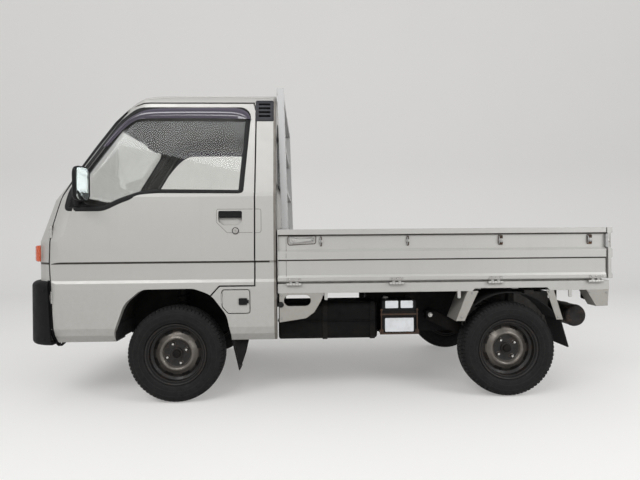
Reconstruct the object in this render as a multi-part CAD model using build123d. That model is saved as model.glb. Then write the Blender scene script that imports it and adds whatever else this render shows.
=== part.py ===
from build123d import *
import math
import os

# Kei truck: cab over the front axle, flat bed with three drop sides, engine behind the rear axle.
# Millimetres, +Z up. The front faces -X, the right-hand side is +Y, the tyres stand on z = 0.
# The origin is under the middle of the truck. Outlines are given as distance behind the
# front axle and height, so that they follow the axle.

os.makedirs("parts", exist_ok=True)

# Overall layout
FRONT_OVERHANG = 822.0
WHEELBASE = 1885.0
REAR_OVERHANG = 588.0
BODY_HALF_WIDTH = 697.5
TRACK = 1205.0
HALF_OUT = BODY_HALF_WIDTH + 30.0
TYRE_RADIUS = 270.0
TYRE_WIDTH = 145.0

LENGTH = FRONT_OVERHANG + WHEELBASE + REAR_OVERHANG
FRONT_AXLE_X = FRONT_OVERHANG - LENGTH / 2
REAR_AXLE_X = FRONT_AXLE_X + WHEELBASE
WHEEL_Y = TRACK / 2
SEAT_CLEARANCE = 0.3

# Cab
NOSE_SETBACK = 38.0
ROOF_HEIGHT = 1752.0
BELT_HEIGHT = 1150.0
SILL_BOTTOM = 345.0
BELOW_SILL = SILL_BOTTOM - 20.0
CAB_REAR = 566.0
ROOF_HALF_WIDTH = 604.0
CORNER_RADIUS = 180.0
WALL = 34.0
FLOOR_HEIGHT = 505.0
PLATFORM_HEIGHT = 690.0
FLOOR_THICKNESS = 34.0
WHEELHOUSE_FRONT = -338.0
REAR_OPENING = 600.0

# Doors
DOOR_THICKNESS = 42.0
DOOR_GAP = 8.0
DOOR_HINGE_X = -663.0
DOOR_HINGE_Y = 682.0
DOOR_HINGES = (600.0, 960.0)
DOOR_KNUCKLE = 22.0
DOOR_BARREL_RADIUS = 6.5
DOOR_PIN_RADIUS = 4.0
HINGE_RELIEF = 1.5
HINGE_LEAF_Y = (670.0, 679.0)
HINGE_LEAF_REACH = 17.0
GLASS_THICKNESS = 4.0
GLASS_INSET = 9.0
VISOR_STANDOFF = 12.0
VISOR_THICKNESS = 4.0
MIRROR_PLACE = (-462.0, BELT_HEIGHT + 64.0)
MIRROR_SIZE = (62.0, 106.0, 186.0)
MIRROR_INNER_Y = 716.0
MIRROR_CORNER = 42.0
MIRROR_ROUNDING = 24.0
MIRROR_ARM = (8.0, 44.0)

# Bed
BED_FLOOR_HEIGHT = 668.0
GATE_HEIGHT = 291.0
GATE_THICKNESS = 30.0
BED_FRONT = 574.0
HINGE_PIN_RADIUS = 5.0
EDGE_FRAME_HEIGHT = 58.0
RAIL_HEIGHT = 44.0
RAIL_HALF_SPACING = 325.0
RAIL_WIDTH = 50.0
CROSSMEMBER_HEIGHT = 46.0

# Wheels and steering
RIM_RADIUS = 171.0
BEAD_RADIUS = 152.0
RIM_WIDTH = 116.0
SPINDLE_RADIUS = 16.0
RUNNING_FIT = 0.05
KINGPIN_Y = 560.0
KINGPIN_RADIUS = 11.0
BACKING_PLATE_Y = (KINGPIN_Y + 14.0, KINGPIN_Y + 19.0)
BACKING_PLATE_RADIUS = 104.0
SPINDLE_END_Y = WHEEL_Y + 30.0


def axle_x(distance):
    """Place along the truck from a distance behind the front axle."""
    return FRONT_AXLE_X + distance


def box(x0, x1, y0, y1, z0, z1):
    """Box between two corners."""
    return Pos((x0 + x1) / 2, (y0 + y1) / 2, (z0 + z1) / 2) * Box(x1 - x0, y1 - y0, z1 - z0)


def side_prism(points, y0, y1, radius=0.0):
    """Side-view outline, as distances behind the front axle and heights, pushed from y0 to y1."""
    outline = Polyline([(axle_x(x), z) for x, z in points], close=True)
    face = make_face(Plane.XZ * outline)
    if radius:
        face = fillet(face.vertices(), radius)
    return extrude(Pos(0, y0, 0) * face, amount=y1 - y0, dir=(0, 1, 0))


def section_prism(points, x0, x1):
    """Cross-section, as places across and heights, pushed from x0 to x1."""
    face = make_face(Plane.YZ * Polyline(points, close=True))
    return extrude(Pos(x0, 0, 0) * face, amount=x1 - x0, dir=(1, 0, 0))


def cylinder_y(x, y0, y1, z, radius):
    """Round bar across the truck."""
    return Pos(x, (y0 + y1) / 2, z) * Rot(90, 0, 0) * Cylinder(radius, abs(y1 - y0))


def cylinder_x(x0, x1, y, z, radius):
    """Round bar along the truck."""
    return Pos((x0 + x1) / 2, y, z) * Rot(0, 90, 0) * Cylinder(radius, abs(x1 - x0))


def cylinder_z(x, y, z0, z1, radius):
    """Upright round bar."""
    return Pos(x, y, (z0 + z1) / 2) * Cylinder(radius, abs(z1 - z0))


def mirrored(shape):
    """The same shape on the other side of the truck."""
    return mirror(shape, about=Plane.XZ)


def on_side(shape, side):
    """A shape made on the right-hand side, kept there or moved to the left."""
    return shape if side > 0 else mirrored(shape)


def both_sides(shape):
    return Compound(children=solids_of(shape) + solids_of(mirrored(shape)))


def solids_of(shape):
    return [Solid(s.wrapped) for s in shape.solids()]


def join(shapes):
    """One shape from a list that touch each other."""
    total = shapes[0]
    for shape in shapes[1:]:
        total = total + shape
    return total


def group(shapes):
    """Several solids in one node."""
    found = []
    for shape in shapes:
        found += solids_of(shape)
    return Compound(children=found)


# Cab body. Height and distance behind the nose of the corners of its side view
NOSE = NOSE_SETBACK - FRONT_OVERHANG
SCREEN_FOOT = (NOSE + 82.0, BELT_HEIGHT - 10.0)
SCREEN_HEAD = (NOSE + 412.0, ROOF_HEIGHT - 152.0)
ROOF_FRONT_MID = (NOSE + 545.0, ROOF_HEIGHT - 60.0)
ROOF_FRONT = (NOSE + 744.0, ROOF_HEIGHT - 10.0)
BONNET_EDGE = (NOSE, BELT_HEIGHT - 245.0)

# Half width of the cab at each height, from the sill up; the last column marks small creases
BODY_SECTION = [
    (-57.5, SILL_BOTTOM, False),
    (-26.0, SILL_BOTTOM + 40.0, False),
    (-12.0, SILL_BOTTOM + 80.0, False),
    (-3.5, 640.0, True),
    (-3.5, 674.0, True),
    (-12.0, 690.0, False),
    (-12.0, 781.0, True),
    (0.0, 793.0, False),
    (-5.5, BELT_HEIGHT, False),
    (-17.5, BELT_HEIGHT + 22.0, False),
]
WAIST_IN, WAIST_Z, _ = BODY_SECTION[-1]
SHOULDER_Z = ROOF_HEIGHT - 72.0
SHOULDER_MID = (ROOF_HALF_WIDTH - 22.0, ROOF_HEIGHT - 30.0)
SHOULDER_TOP = (ROOF_HALF_WIDTH - 94.0, ROOF_HEIGHT - 8.0)
ROOF_CROWN = 4.0
CORNER_MARGIN = 0.5


def cab_side_face(inset):
    """Side view of the cab, its nose, sloping screen and roof."""
    bottom_front = (axle_x(NOSE), SILL_BOTTOM)
    bonnet = (axle_x(BONNET_EDGE[0]), BONNET_EDGE[1])
    foot = (axle_x(SCREEN_FOOT[0]), SCREEN_FOOT[1])
    head = (axle_x(SCREEN_HEAD[0]), SCREEN_HEAD[1])
    mid = (axle_x(ROOF_FRONT_MID[0]), ROOF_FRONT_MID[1])
    roof = (axle_x(ROOF_FRONT[0]), ROOF_FRONT[1])
    roof_mid = (axle_x((ROOF_FRONT[0] + CAB_REAR) / 2), ROOF_HEIGHT + ROOF_CROWN)
    rear_top = (axle_x(CAB_REAR), SHOULDER_TOP[1])
    rear_bottom = (axle_x(CAB_REAR), SILL_BOTTOM)
    edges = [
        Line(bottom_front, bonnet),
        Line(bonnet, foot),
        Line(foot, head),
        ThreePointArc(head, mid, roof),
        ThreePointArc(roof, roof_mid, rear_top),
        Line(rear_top, rear_bottom),
        Line(rear_bottom, bottom_front),
    ]
    face = make_face(Plane.XZ * Curve(children=edges))
    return offset(face, amount=-inset, kind=Kind.INTERSECTION) if inset else face


def cab_cross_section(inset):
    """Front view of the cab with its creases, waist line and leaning window zone."""
    rows = [row for row in BODY_SECTION if not inset or not row[2]]
    half = [(BODY_HALF_WIDTH + dy - inset, z) for dy, z, _ in rows]
    shoulder = (ROOF_HALF_WIDTH - inset, SHOULDER_Z)
    mid = (SHOULDER_MID[0] - inset, SHOULDER_MID[1] - inset)
    top = (SHOULDER_TOP[0] - inset, SHOULDER_TOP[1] - inset)
    crown = (0.0, ROOF_HEIGHT - inset)
    right = [Line(a, b) for a, b in zip(half[:-1], half[1:])]
    right += [Line(half[-1], shoulder), ThreePointArc(shoulder, mid, top)]
    left = [mirror(edge, about=Plane.YZ) for edge in right]
    roof = ThreePointArc(top, crown, (-top[0], top[1]))
    base = Line(half[0], (-half[0][0], half[0][1]))
    return make_face(Plane.YZ * Curve(children=right + left + [roof, base]))


def corner_cutter(lower, upper, inset):
    """What rounds one front corner between two heights: rows of nose place, half width, height."""
    x0, y0, z0 = lower
    x1, y1, z1 = upper
    lean = math.hypot(x1 - x0, z1 - z0) / (z1 - z0)
    radius = CORNER_RADIUS - inset
    nose = axle_x(x0) + inset * lean + CORNER_MARGIN
    side = y0 - inset - CORNER_MARGIN
    reach = CORNER_RADIUS / 2
    outline = Curve(children=[
        Line((nose - reach, side - radius), (nose, side - radius)),
        RadiusArc((nose, side - radius), (nose + radius, side), radius),
        Line((nose + radius, side), (nose + radius, side + reach)),
        Line((nose + radius, side + reach), (nose - reach, side + reach)),
        Line((nose - reach, side + reach), (nose - reach, side - radius)),
    ])
    face = Pos(0, 0, z0) * make_face(outline)
    way = Vector(x1 - x0, y1 - y0, z1 - z0)
    return extrude(face, amount=way.length, dir=way.normalized())


def cab_solid(inset):
    """The cab as one closed form, its skin set in by a distance."""
    side = extrude(Pos(0, -HALF_OUT, 0) * cab_side_face(inset), amount=2 * HALF_OUT, dir=(0, 1, 0))
    front = extrude(Pos(axle_x(NOSE) - WALL, 0, 0) * cab_cross_section(inset),
                    amount=CAB_REAR - NOSE + 2 * WALL, dir=(1, 0, 0))
    body = side & front
    waist_y = BODY_HALF_WIDTH + WAIST_IN
    lean = (waist_y - ROOF_HALF_WIDTH) / (SHOULDER_Z - WAIST_Z)
    foot_y = waist_y + lean * (WAIST_Z - SCREEN_FOOT[1])
    top_z = ROOF_HEIGHT + 2 * WALL
    rise = (top_z - SCREEN_FOOT[1]) / (SCREEN_HEAD[1] - SCREEN_FOOT[1])
    top_x = SCREEN_FOOT[0] + rise * (SCREEN_HEAD[0] - SCREEN_FOOT[0])
    top_y = foot_y - lean * (top_z - SCREEN_FOOT[1])
    rows = [
        ((NOSE, BODY_HALF_WIDTH, BELOW_SILL), (NOSE, BODY_HALF_WIDTH, BONNET_EDGE[1])),
        ((NOSE, BODY_HALF_WIDTH, BONNET_EDGE[1]), (SCREEN_FOOT[0], foot_y, SCREEN_FOOT[1])),
        ((SCREEN_FOOT[0], foot_y, SCREEN_FOOT[1]), (top_x, top_y, top_z)),
    ]
    for lower, upper in rows:
        cutter = corner_cutter(lower, upper, inset)
        body = body - cutter - mirrored(cutter)
    return body


# Door and window outlines: distance behind the front axle, height
ARCH_OUTLINE = [(-330, SILL_BOTTOM - 30), (-330, 400), (-270, 560), (-175, 639), (110, 641),
                (205, 606), (290, 490), (311, 382), (311, SILL_BOTTOM - 30)]
ARCH_DEPTH_Y = 200.0
ARCH_RADII = [0, 60, 130, 90, 110, 120, 120, 60, 0]


def pillar(share, behind):
    """Point at a share of the way up the screen's slope, and a distance behind it."""
    return (SCREEN_FOOT[0] + share * (SCREEN_HEAD[0] - SCREEN_FOOT[0]) + behind,
            SCREEN_FOOT[1] + share * (SCREEN_HEAD[1] - SCREEN_FOOT[1]))


DOOR_OUTLINE = [(-648, BELOW_SILL), (-664, 690), (-670, 786), (-661, 969), (-633, BELT_HEIGHT - 73),
                pillar(0.052, 78), pillar(0.413, 46), pillar(0.663, 33), pillar(0.974, 31),
                (-262, ROOF_HEIGHT - 90), (-180, ROOF_HEIGHT - 68), (440, ROOF_HEIGHT - 68),
                (452, ROOF_HEIGHT - 112), (446, BELT_HEIGHT), (443, 657), (250, 657), (196, 598),
                (150, BELOW_SILL)]
WINDOW_OUTLINE = [(-566, BELT_HEIGHT - 58), (-380, BELT_HEIGHT - 58), (-295, BELT_HEIGHT - 18),
                  (-187, BELT_HEIGHT + 23), (-79, BELT_HEIGHT + 35), (366, BELT_HEIGHT + 28),
                  (408, ROOF_HEIGHT - 112), (-205, ROOF_HEIGHT - 112), pillar(0.939, 92), pillar(0.398, 103),
                  pillar(0.087, 125)]
WINDOW_RADII = [6, 120, 100, 160, 200, 10, 40, 120, 150, 200, 60]
SCREEN_OUTLINE = [(540, BELT_HEIGHT + 22), (462, ROOF_HEIGHT - 168)]
SCREEN_RADII = (45.0, 60.0)
REAR_WINDOW_RADIUS = 40.0
REAR_WINDOW = (470.0, BELT_HEIGHT + 85.0, ROOF_HEIGHT - 162.0)
VENT = (456.0, 552.0, ROOF_HEIGHT - 168.0, ROOF_HEIGHT - 52.0)
VENT_DEPTH = 26.0
VENT_SLATS = 4
FILLER_OUTLINE = [(268, 630), (417, 630), (417, 503), (300, 503), (268, 540)]
FILLER_RADII = [12, 12, 12, 14, 14]
FILLER_THICKNESS = 6.0
FILLER_GAP = 5.0
FILLER_HINGE_Y = 691.0
FILLER_HINGE_Z = (556.0, 612.0)
FILLER_KNUCKLE = 10.0
FILLER_PIN_RADIUS = 2.0
FILLER_BARREL_RADIUS = 3.5
HANDLE_POCKET = [(250, 1068), (380, 1068), (380, 1010), (355, 988), (275, 988), (250, 1010)]
HANDLE_RADII = [8, 8, 16, 16, 16, 16]
HANDLE_DEPTH = 18.0
FLAP_HEIGHT = 37.0
FLAP_GAP = 3.0
LOCK = (344.0, 958.0, 11.0)
LOCK_DEPTH = 12.0
LOCK_OUT = 1.0
DOOR_FROM_Y = 512.0


def clear_outline(points, gap):
    """A closed side-view outline grown or shrunk by a gap."""
    face = make_face(Plane.XZ * Polyline([(axle_x(x), z) for x, z in points], close=True))
    return offset(face, amount=gap, kind=Kind.INTERSECTION)


def push(face, y0, y1):
    """A side-view face pushed across the truck."""
    return extrude(Pos(0, y0, 0) * face, amount=y1 - y0, dir=(0, 1, 0))


def rounded(points, radii):
    """Closed outline with its corners rounded: places across or along, and one radius a corner."""
    count = len(points)
    edges = []
    starts = []
    for i, (corner, radius) in enumerate(zip(points, radii)):
        before = Vector(*points[i - 1])
        here = Vector(*corner)
        after = Vector(*points[(i + 1) % count])
        into = (before - here).normalized()
        out = (after - here).normalized()
        half = math.radians(into.get_angle(out)) / 2
        cut = radius / math.tan(half)
        toward = (into + out).normalized()
        middle = here + toward * (radius / math.sin(half) - radius)
        starts.append((here + into * cut, middle, here + out * cut, radius))
    for i, (start, middle, end, radius) in enumerate(starts):
        if radius:
            edges.append(ThreePointArc(start, middle, end))
        edges.append(Line(end, starts[(i + 1) % count][0]))
    return Curve(children=edges)


SKIN = {inset: cab_solid(inset) for inset in
        (0.0, WALL, DOOR_THICKNESS, DOOR_THICKNESS + DOOR_GAP, GLASS_INSET, GLASS_INSET + GLASS_THICKNESS)}
GLASS_LAYER = SKIN[GLASS_INSET] - SKIN[GLASS_INSET + GLASS_THICKNESS]


def arch_cut():
    """Wheel arch, rounded, cut from the side as far as the chassis."""
    points = [(axle_x(x), z) for x, z in ARCH_OUTLINE]
    return push(make_face(Plane.XZ * rounded(points, ARCH_RADII)), ARCH_DEPTH_Y, HALF_OUT)


ARCH_CUT = arch_cut()


def window_prism():
    """Side window opening with rounded corners."""
    points = [(axle_x(x), z) for x, z in WINDOW_OUTLINE]
    return push(make_face(Plane.XZ * rounded(points, WINDOW_RADII)), ROOF_HALF_WIDTH / 2, HALF_OUT)


def screen_prism():
    """Screen opening seen from the front, pushed along the truck."""
    (low, z0), (high, z1) = SCREEN_OUTLINE
    points = [(low, z0), (high, z1), (-high, z1), (-low, z0)]
    low_radius, high_radius = SCREEN_RADII
    face = make_face(Plane.YZ * rounded(points, [low_radius, high_radius, high_radius, low_radius]))
    return extrude(Pos(axle_x(NOSE) - WALL, 0, 0) * face, amount=ROOF_FRONT[0] - NOSE - WALL, dir=(1, 0, 0))


def rear_window_prism():
    half, z0, z1 = REAR_WINDOW
    points = [(-half, z0), (half, z0), (half, z1), (-half, z1)]
    face = make_face(Plane.YZ * rounded(points, [REAR_WINDOW_RADIUS] * 4))
    return extrude(Pos(axle_x(CAB_REAR) - 2 * WALL, 0, 0) * face, amount=3 * WALL, dir=(1, 0, 0))


def vent_box(depth):
    x0, x1, z0, z1 = VENT
    return box(axle_x(x0), axle_x(x1), ROOF_HALF_WIDTH - depth, HALF_OUT, z0, z1)


def hinge_relief():
    """Room round each door hinge, cut from both the door and the cab."""
    x = axle_x(DOOR_HINGE_X)
    reach = 1.5 * DOOR_KNUCKLE + HINGE_RELIEF
    radius = DOOR_BARREL_RADIUS + HINGE_RELIEF
    return [cylinder_z(x, DOOR_HINGE_Y, z - reach, z + reach, radius) for z in DOOR_HINGES]


def hinge_on_cab():
    """Pin with an upper and a lower knuckle and their leaves, at each hinge."""
    x = axle_x(DOOR_HINGE_X)
    found = []
    for z in DOOR_HINGES:
        end = 1.5 * DOOR_KNUCKLE
        piece = cylinder_z(x, DOOR_HINGE_Y, z - end, z + end, DOOR_PIN_RADIUS)
        for z0 in (z - end, z + end - DOOR_KNUCKLE):
            piece = piece + cylinder_z(x, DOOR_HINGE_Y, z0, z0 + DOOR_KNUCKLE, DOOR_BARREL_RADIUS)
            piece = piece + box(x - HINGE_LEAF_REACH, x - HINGE_RELIEF, HINGE_LEAF_Y[0], HINGE_LEAF_Y[1],
                                z0, z0 + DOOR_KNUCKLE)
        found.append(piece)
    return found


def hinge_on_door():
    """Middle knuckle with its leaf, bored for the pin, at each hinge."""
    x = axle_x(DOOR_HINGE_X)
    found = []
    for z in DOOR_HINGES:
        half = DOOR_KNUCKLE / 2 - 0.5
        piece = cylinder_z(x, DOOR_HINGE_Y, z - half, z + half, DOOR_BARREL_RADIUS)
        piece = piece + box(x + HINGE_RELIEF, x + HINGE_LEAF_REACH, HINGE_LEAF_Y[0], HINGE_LEAF_Y[1],
                            z - half, z + half)
        bore = cylinder_z(x, DOOR_HINGE_Y, z - half, z + half, DOOR_PIN_RADIUS + RUNNING_FIT)
        found.append(piece - bore)
    return found


def between_sills():
    """Space between the two sills, half a wall's thickness in from the skin."""
    half = BODY_HALF_WIDTH + BODY_SECTION[0][0] - WALL / 2
    return box(axle_x(NOSE), axle_x(CAB_REAR), -half, half, 0, SILL_BOTTOM + 2 * WALL)


def cab_shell():
    """Cab body without doors: roof, nose, rear wall, floor, seat platform and wheel houses."""
    inner_rear = axle_x(CAB_REAR) - WALL
    riser_x = axle_x(WHEELHOUSE_FRONT)
    floor = box(axle_x(NOSE), riser_x, -HALF_OUT, HALF_OUT, FLOOR_HEIGHT - FLOOR_THICKNESS, FLOOR_HEIGHT)
    riser = box(riser_x - FLOOR_THICKNESS, riser_x, -HALF_OUT, HALF_OUT,
                FLOOR_HEIGHT - FLOOR_THICKNESS, PLATFORM_HEIGHT)
    platform = box(riser_x - FLOOR_THICKNESS, inner_rear, -HALF_OUT, HALF_OUT,
                   PLATFORM_HEIGHT - FLOOR_THICKNESS, PLATFORM_HEIGHT)
    inner_half = BODY_HALF_WIDTH - DOOR_THICKNESS - 2 * DOOR_GAP
    decks = (floor + riser + platform) & SKIN[WALL]
    hollow_bottom = box(axle_x(NOSE) + WALL + DOOR_GAP, inner_rear, -HALF_OUT, HALF_OUT,
                        BELOW_SILL, SILL_BOTTOM + WALL + 2) & between_sills()
    shell = SKIN[0.0] - SKIN[WALL] - hollow_bottom
    door_hole = push(clear_outline(DOOR_OUTLINE, DOOR_GAP), DOOR_FROM_Y - DOOR_GAP, HALF_OUT)
    shell = shell - door_hole - mirrored(door_hole)
    trimmed = box(axle_x(NOSE), inner_rear + 1, -inner_half, inner_half, 0, ROOF_HEIGHT)
    shut_line = axle_x(DOOR_OUTLINE[13][0] + DOOR_GAP)
    rear_zone = box(shut_line, inner_rear + 1, -HALF_OUT, HALF_OUT, 0, ROOF_HEIGHT)
    shell = shell + (decks & (trimmed + rear_zone))
    shell = shell - ARCH_CUT - mirrored(ARCH_CUT)
    shell = shell - screen_prism() - rear_window_prism()
    shell = shell - vent_box(VENT_DEPTH) - mirrored(vent_box(VENT_DEPTH))
    pocket = push(filler_face(FILLER_GAP), -HALF_OUT, -(BODY_HALF_WIDTH - 30))
    rear_opening = box(inner_rear - 1, axle_x(CAB_REAR) + 1, -REAR_OPENING, REAR_OPENING,
                       0, RAIL_TOP + DOOR_GAP)
    shell = shell - pocket - rear_opening
    for relief in hinge_relief():
        shell = shell - relief - mirrored(relief)
    for hinge in hinge_on_cab():
        shell = shell + hinge + mirrored(hinge)
    shell = shell - filler_hinge_relief()
    for ear in filler_hinge(True):
        shell = shell + ear
    return shell


WHEEL_HOUSE_Y = (380.0, 620.0)
WHEEL_HOUSE_SKIN = 5.0
WHEEL_HOUSE_OUT = 15.0
WHEEL_HOUSE_BOTTOM = 380.0


def arch_face(gap):
    """Side view of the wheel arch grown by a gap."""
    points = [(axle_x(x), z) for x, z in ARCH_OUTLINE]
    face = make_face(Plane.XZ * rounded(points, ARCH_RADII))
    return offset(face, amount=gap, kind=Kind.INTERSECTION) if gap else face


def wheel_houses():
    """Lining over each front wheel with the wall on its inner side, all under the seat platform."""
    y0, y1 = WHEEL_HOUSE_Y
    front = axle_x(WHEELHOUSE_FRONT) + SEAT_CLEARANCE
    rear = axle_x(ARCH_OUTLINE[-1][0]) + WHEEL_HOUSE_OUT + 1
    room = box(front, rear, y0, y1, WHEEL_HOUSE_BOTTOM, PLATFORM_HEIGHT)
    wall_room = box(front, rear, y0, y0 + WHEEL_HOUSE_SKIN, SILL_BOTTOM, PLATFORM_HEIGHT)
    outer = push(arch_face(WHEEL_HOUSE_OUT), y0, y1)
    lining = (outer - push(arch_face(WHEEL_HOUSE_OUT - WHEEL_HOUSE_SKIN), y0 - 1, y1 + 1)) & room
    leg_bottom = SILL_BOTTOM + DOOR_THICKNESS + DOOR_GAP
    leg = box(front, front + WHEEL_HOUSE_SKIN, y0, y1, leg_bottom, ARCH_OUTLINE[1][1] + 30)
    return both_sides(lining + leg + (outer & wall_room))


def door(side):
    """Door as thick as it really is, with window, handle pocket, lock hole and the arch in its lower edge."""
    layer = SKIN[0.0] - SKIN[DOOR_THICKNESS]
    slab = layer & side_prism(DOOR_OUTLINE, DOOR_FROM_Y, HALF_OUT)
    slab = slab - ARCH_CUT - window_prism()
    points = [(axle_x(x), z) for x, z in HANDLE_POCKET]
    face = make_face(Plane.XZ * rounded(points, HANDLE_RADII))
    slab = slab - push(face, BODY_HALF_WIDTH - HANDLE_DEPTH, HALF_OUT) - lock_barrel(SEAT_CLEARANCE)
    for relief in hinge_relief():
        slab = slab - relief
    for hinge in hinge_on_door():
        slab = slab + hinge
    return on_side(slab, side)


def door_glass(side):
    return on_side(GLASS_LAYER & window_prism(), side)


def door_visor(side):
    """Tinted rain visor that stands out from the top of the door window."""
    top = ROOF_HEIGHT - 68
    lower = ROOF_HEIGHT - 140
    outline = [pillar(0.626, 65), pillar(1.026, 63), (-205, top - 12), (-80, top), (395, top),
               (432, top - 29), (424, lower - 8), (400, lower - 8), (395, lower + 2), (-150, lower),
               (-215, lower - 22), pillar(0.848, 122), pillar(0.576, 122)]
    slab = side_prism(outline, DOOR_FROM_Y, HALF_OUT)
    outer = Pos(0, VISOR_STANDOFF + VISOR_THICKNESS, 0) * SKIN[0.0]
    shelf = outer - (Pos(0, VISOR_STANDOFF, 0) * SKIN[0.0])
    edge = [pillar(0.626, 65), pillar(1.026, 63), (-205, top - 12), (-80, top), (395, top), (395, top - 6),
            (-78, top - 6), (-202, top - 18), pillar(1.014, 71), pillar(0.62, 73)]
    flange = side_prism(edge, DOOR_FROM_Y, HALF_OUT) & (outer - (Pos(0, SEAT_CLEARANCE, 0) * SKIN[0.0]))
    return on_side((slab & shelf) + flange, side)


def lock_barrel(gap):
    """Round lock below the handle, or the hole it sits in."""
    x, z, radius = LOCK
    floor_y = BODY_HALF_WIDTH - LOCK_DEPTH - gap
    return cylinder_y(axle_x(x), floor_y, BODY_HALF_WIDTH + LOCK_OUT, z, radius + gap)


def door_handle(side):
    """Pull flap in its pocket, with the lock below it."""
    (x0, z1), (x1, _) = HANDLE_POCKET[0], HANDLE_POCKET[1]
    floor_y = BODY_HALF_WIDTH - HANDLE_DEPTH
    top = z1 - FLAP_GAP
    flap = box(axle_x(x0 + FLAP_GAP), axle_x(x1 - FLAP_GAP), floor_y, BODY_HALF_WIDTH - 4,
               top - FLAP_HEIGHT, top)
    flap = fillet(flap.edges().filter_by(Axis.Y), 5)
    return on_side(group([flap, lock_barrel(0.0)]), side)


def door_mirror(side):
    """Mirror housing on its arm and the triangular foot in the window's front corner."""
    low = BELT_HEIGHT - 58
    foot = side_prism([(-566, low), (-455, low), (-480, low + 28), (-538, low + 104), (-548, low + 88)],
                      560.0, HALF_OUT)
    foot = foot & window_prism() & (Pos(0, 8, 0) * SKIN[0.0])
    foot = foot - (Pos(0, SEAT_CLEARANCE, 0) * SKIN[GLASS_INSET])
    x, z = axle_x(MIRROR_PLACE[0]), MIRROR_PLACE[1]
    depth, width, height = MIRROR_SIZE
    housing = Pos(x, MIRROR_INNER_Y + width / 2, z) * Box(depth, width, height)
    housing = fillet(housing.edges().filter_by(Axis.X), MIRROR_CORNER)
    housing = fillet(housing.faces().sort_by(Axis.X)[0].edges(), MIRROR_ROUNDING)
    z0, z1 = (z - height / 2 + v for v in MIRROR_ARM)
    arm = box(x - 26, x + 10, BODY_HALF_WIDTH - 14, MIRROR_INNER_Y + 34, z0, z1)
    link = box(axle_x(-530), x + 10, BODY_HALF_WIDTH - 6, BODY_HALF_WIDTH + 12, z0, z1)
    return on_side(foot + link + arm + housing, side)


def filler_face(gap):
    """Side view of the filler lid grown by a gap."""
    points = [(axle_x(x), z) for x, z in FILLER_OUTLINE]
    face = make_face(Plane.XZ * rounded(points, FILLER_RADII))
    return offset(face, amount=gap, kind=Kind.INTERSECTION) if gap else face


def filler_lid():
    """Fuel filler lid in the left side behind the wheel arch."""
    slab = push(filler_face(0.0), BODY_HALF_WIDTH - 40, HALF_OUT)
    layer = SKIN[0.0] - (Pos(0, -FILLER_THICKNESS, 0) * SKIN[0.0])
    lid = mirrored(slab & layer) - filler_hinge_relief()
    for knuckle_part in filler_hinge(False):
        lid = lid + knuckle_part
    return lid


def filler_hinge_relief():
    """Room for the lid's hinge, cut from the cab."""
    z0, z1 = FILLER_HINGE_Z
    return cylinder_z(axle_x(FILLER_OUTLINE[0][0] - FILLER_GAP / 2), -FILLER_HINGE_Y, z0 - 1, z1 + 1,
                      FILLER_BARREL_RADIUS + HINGE_RELIEF)


def filler_hinge(on_cab):
    """Small hinge at the lid's front edge: pin and end knuckles on the cab, long knuckle on the lid."""
    x = axle_x(FILLER_OUTLINE[0][0] - FILLER_GAP / 2)
    y = -FILLER_HINGE_Y
    z0, z1 = FILLER_HINGE_Z
    if on_cab:
        piece = cylinder_z(x, y, z0, z1, FILLER_PIN_RADIUS)
        for low in (z0, z1 - FILLER_KNUCKLE):
            piece = piece + cylinder_z(x, y, low, low + FILLER_KNUCKLE, FILLER_BARREL_RADIUS)
            piece = piece + box(x - 8, x, y, y + FILLER_BARREL_RADIUS, low, low + FILLER_KNUCKLE)
        return [piece]
    low, high = z0 + FILLER_KNUCKLE + 0.5, z1 - FILLER_KNUCKLE - 0.5
    piece = cylinder_z(x, y, low, high, FILLER_BARREL_RADIUS)
    piece = piece + box(x, x + 8, y, y + FILLER_BARREL_RADIUS, low, high)
    return [piece - cylinder_z(x, y, low, high, FILLER_PIN_RADIUS + RUNNING_FIT)]


def cab_glass():
    """Screen and rear window, both in rounded openings."""
    screen = GLASS_LAYER & screen_prism()
    rear = GLASS_LAYER & rear_window_prism()
    return group([screen, rear])


def cab_vents():
    """Louvred air vents high behind the doors."""
    x0, x1, z0, z1 = VENT
    slab = vent_box(VENT_DEPTH) & SKIN[0.0]
    pitch = (z1 - z0 - 24) / VENT_SLATS
    for i in range(VENT_SLATS):
        low = z0 + 14 + i * pitch
        slab = slab - box(axle_x(x0 + 14), axle_x(x1 - 16), ROOF_HALF_WIDTH - VENT_DEPTH + 8, HALF_OUT,
                          low + pitch * 0.35, low + pitch * 0.85)
    return both_sides(slab)


# Bumper: height range, how far its shell stands out from the body side, its corner and thickness
BUMPER_TOP = 690.0
BUMPER_BOTTOM = 338.0
BUMPER_SIDE_OUT = 4.0
BUMPER_CORNER = 160.0
BUMPER_SKIN = 14.0
BUMPER_SETBACK = 6.0
BUMPER_LIP = 70.0
BUMPER_TOP_ROUNDING = 30.0
BUMPER_BOTTOM_ROUNDING = 24.0
AIR_SLOTS = 3
AIR_SLOT = (62.0, 38.0, 22.0, 300.0)
BUMPER_STAY = (300.0, 340.0, 520.0, 600.0)


def bumper_form(inset):
    half = BODY_HALF_WIDTH + BUMPER_SIDE_OUT - inset
    x0 = -LENGTH / 2 + inset
    x1 = axle_x(DOOR_OUTLINE[0][0])
    points = [(x0, -half), (x1, -half), (x1, half), (x0, half)]
    radius = BUMPER_CORNER - inset
    face = make_face(rounded(points, [radius, 0, 0, radius]))
    form = extrude(Pos(0, 0, BUMPER_BOTTOM + inset) * face, amount=BUMPER_TOP - BUMPER_BOTTOM - 2 * inset)
    return form


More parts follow.
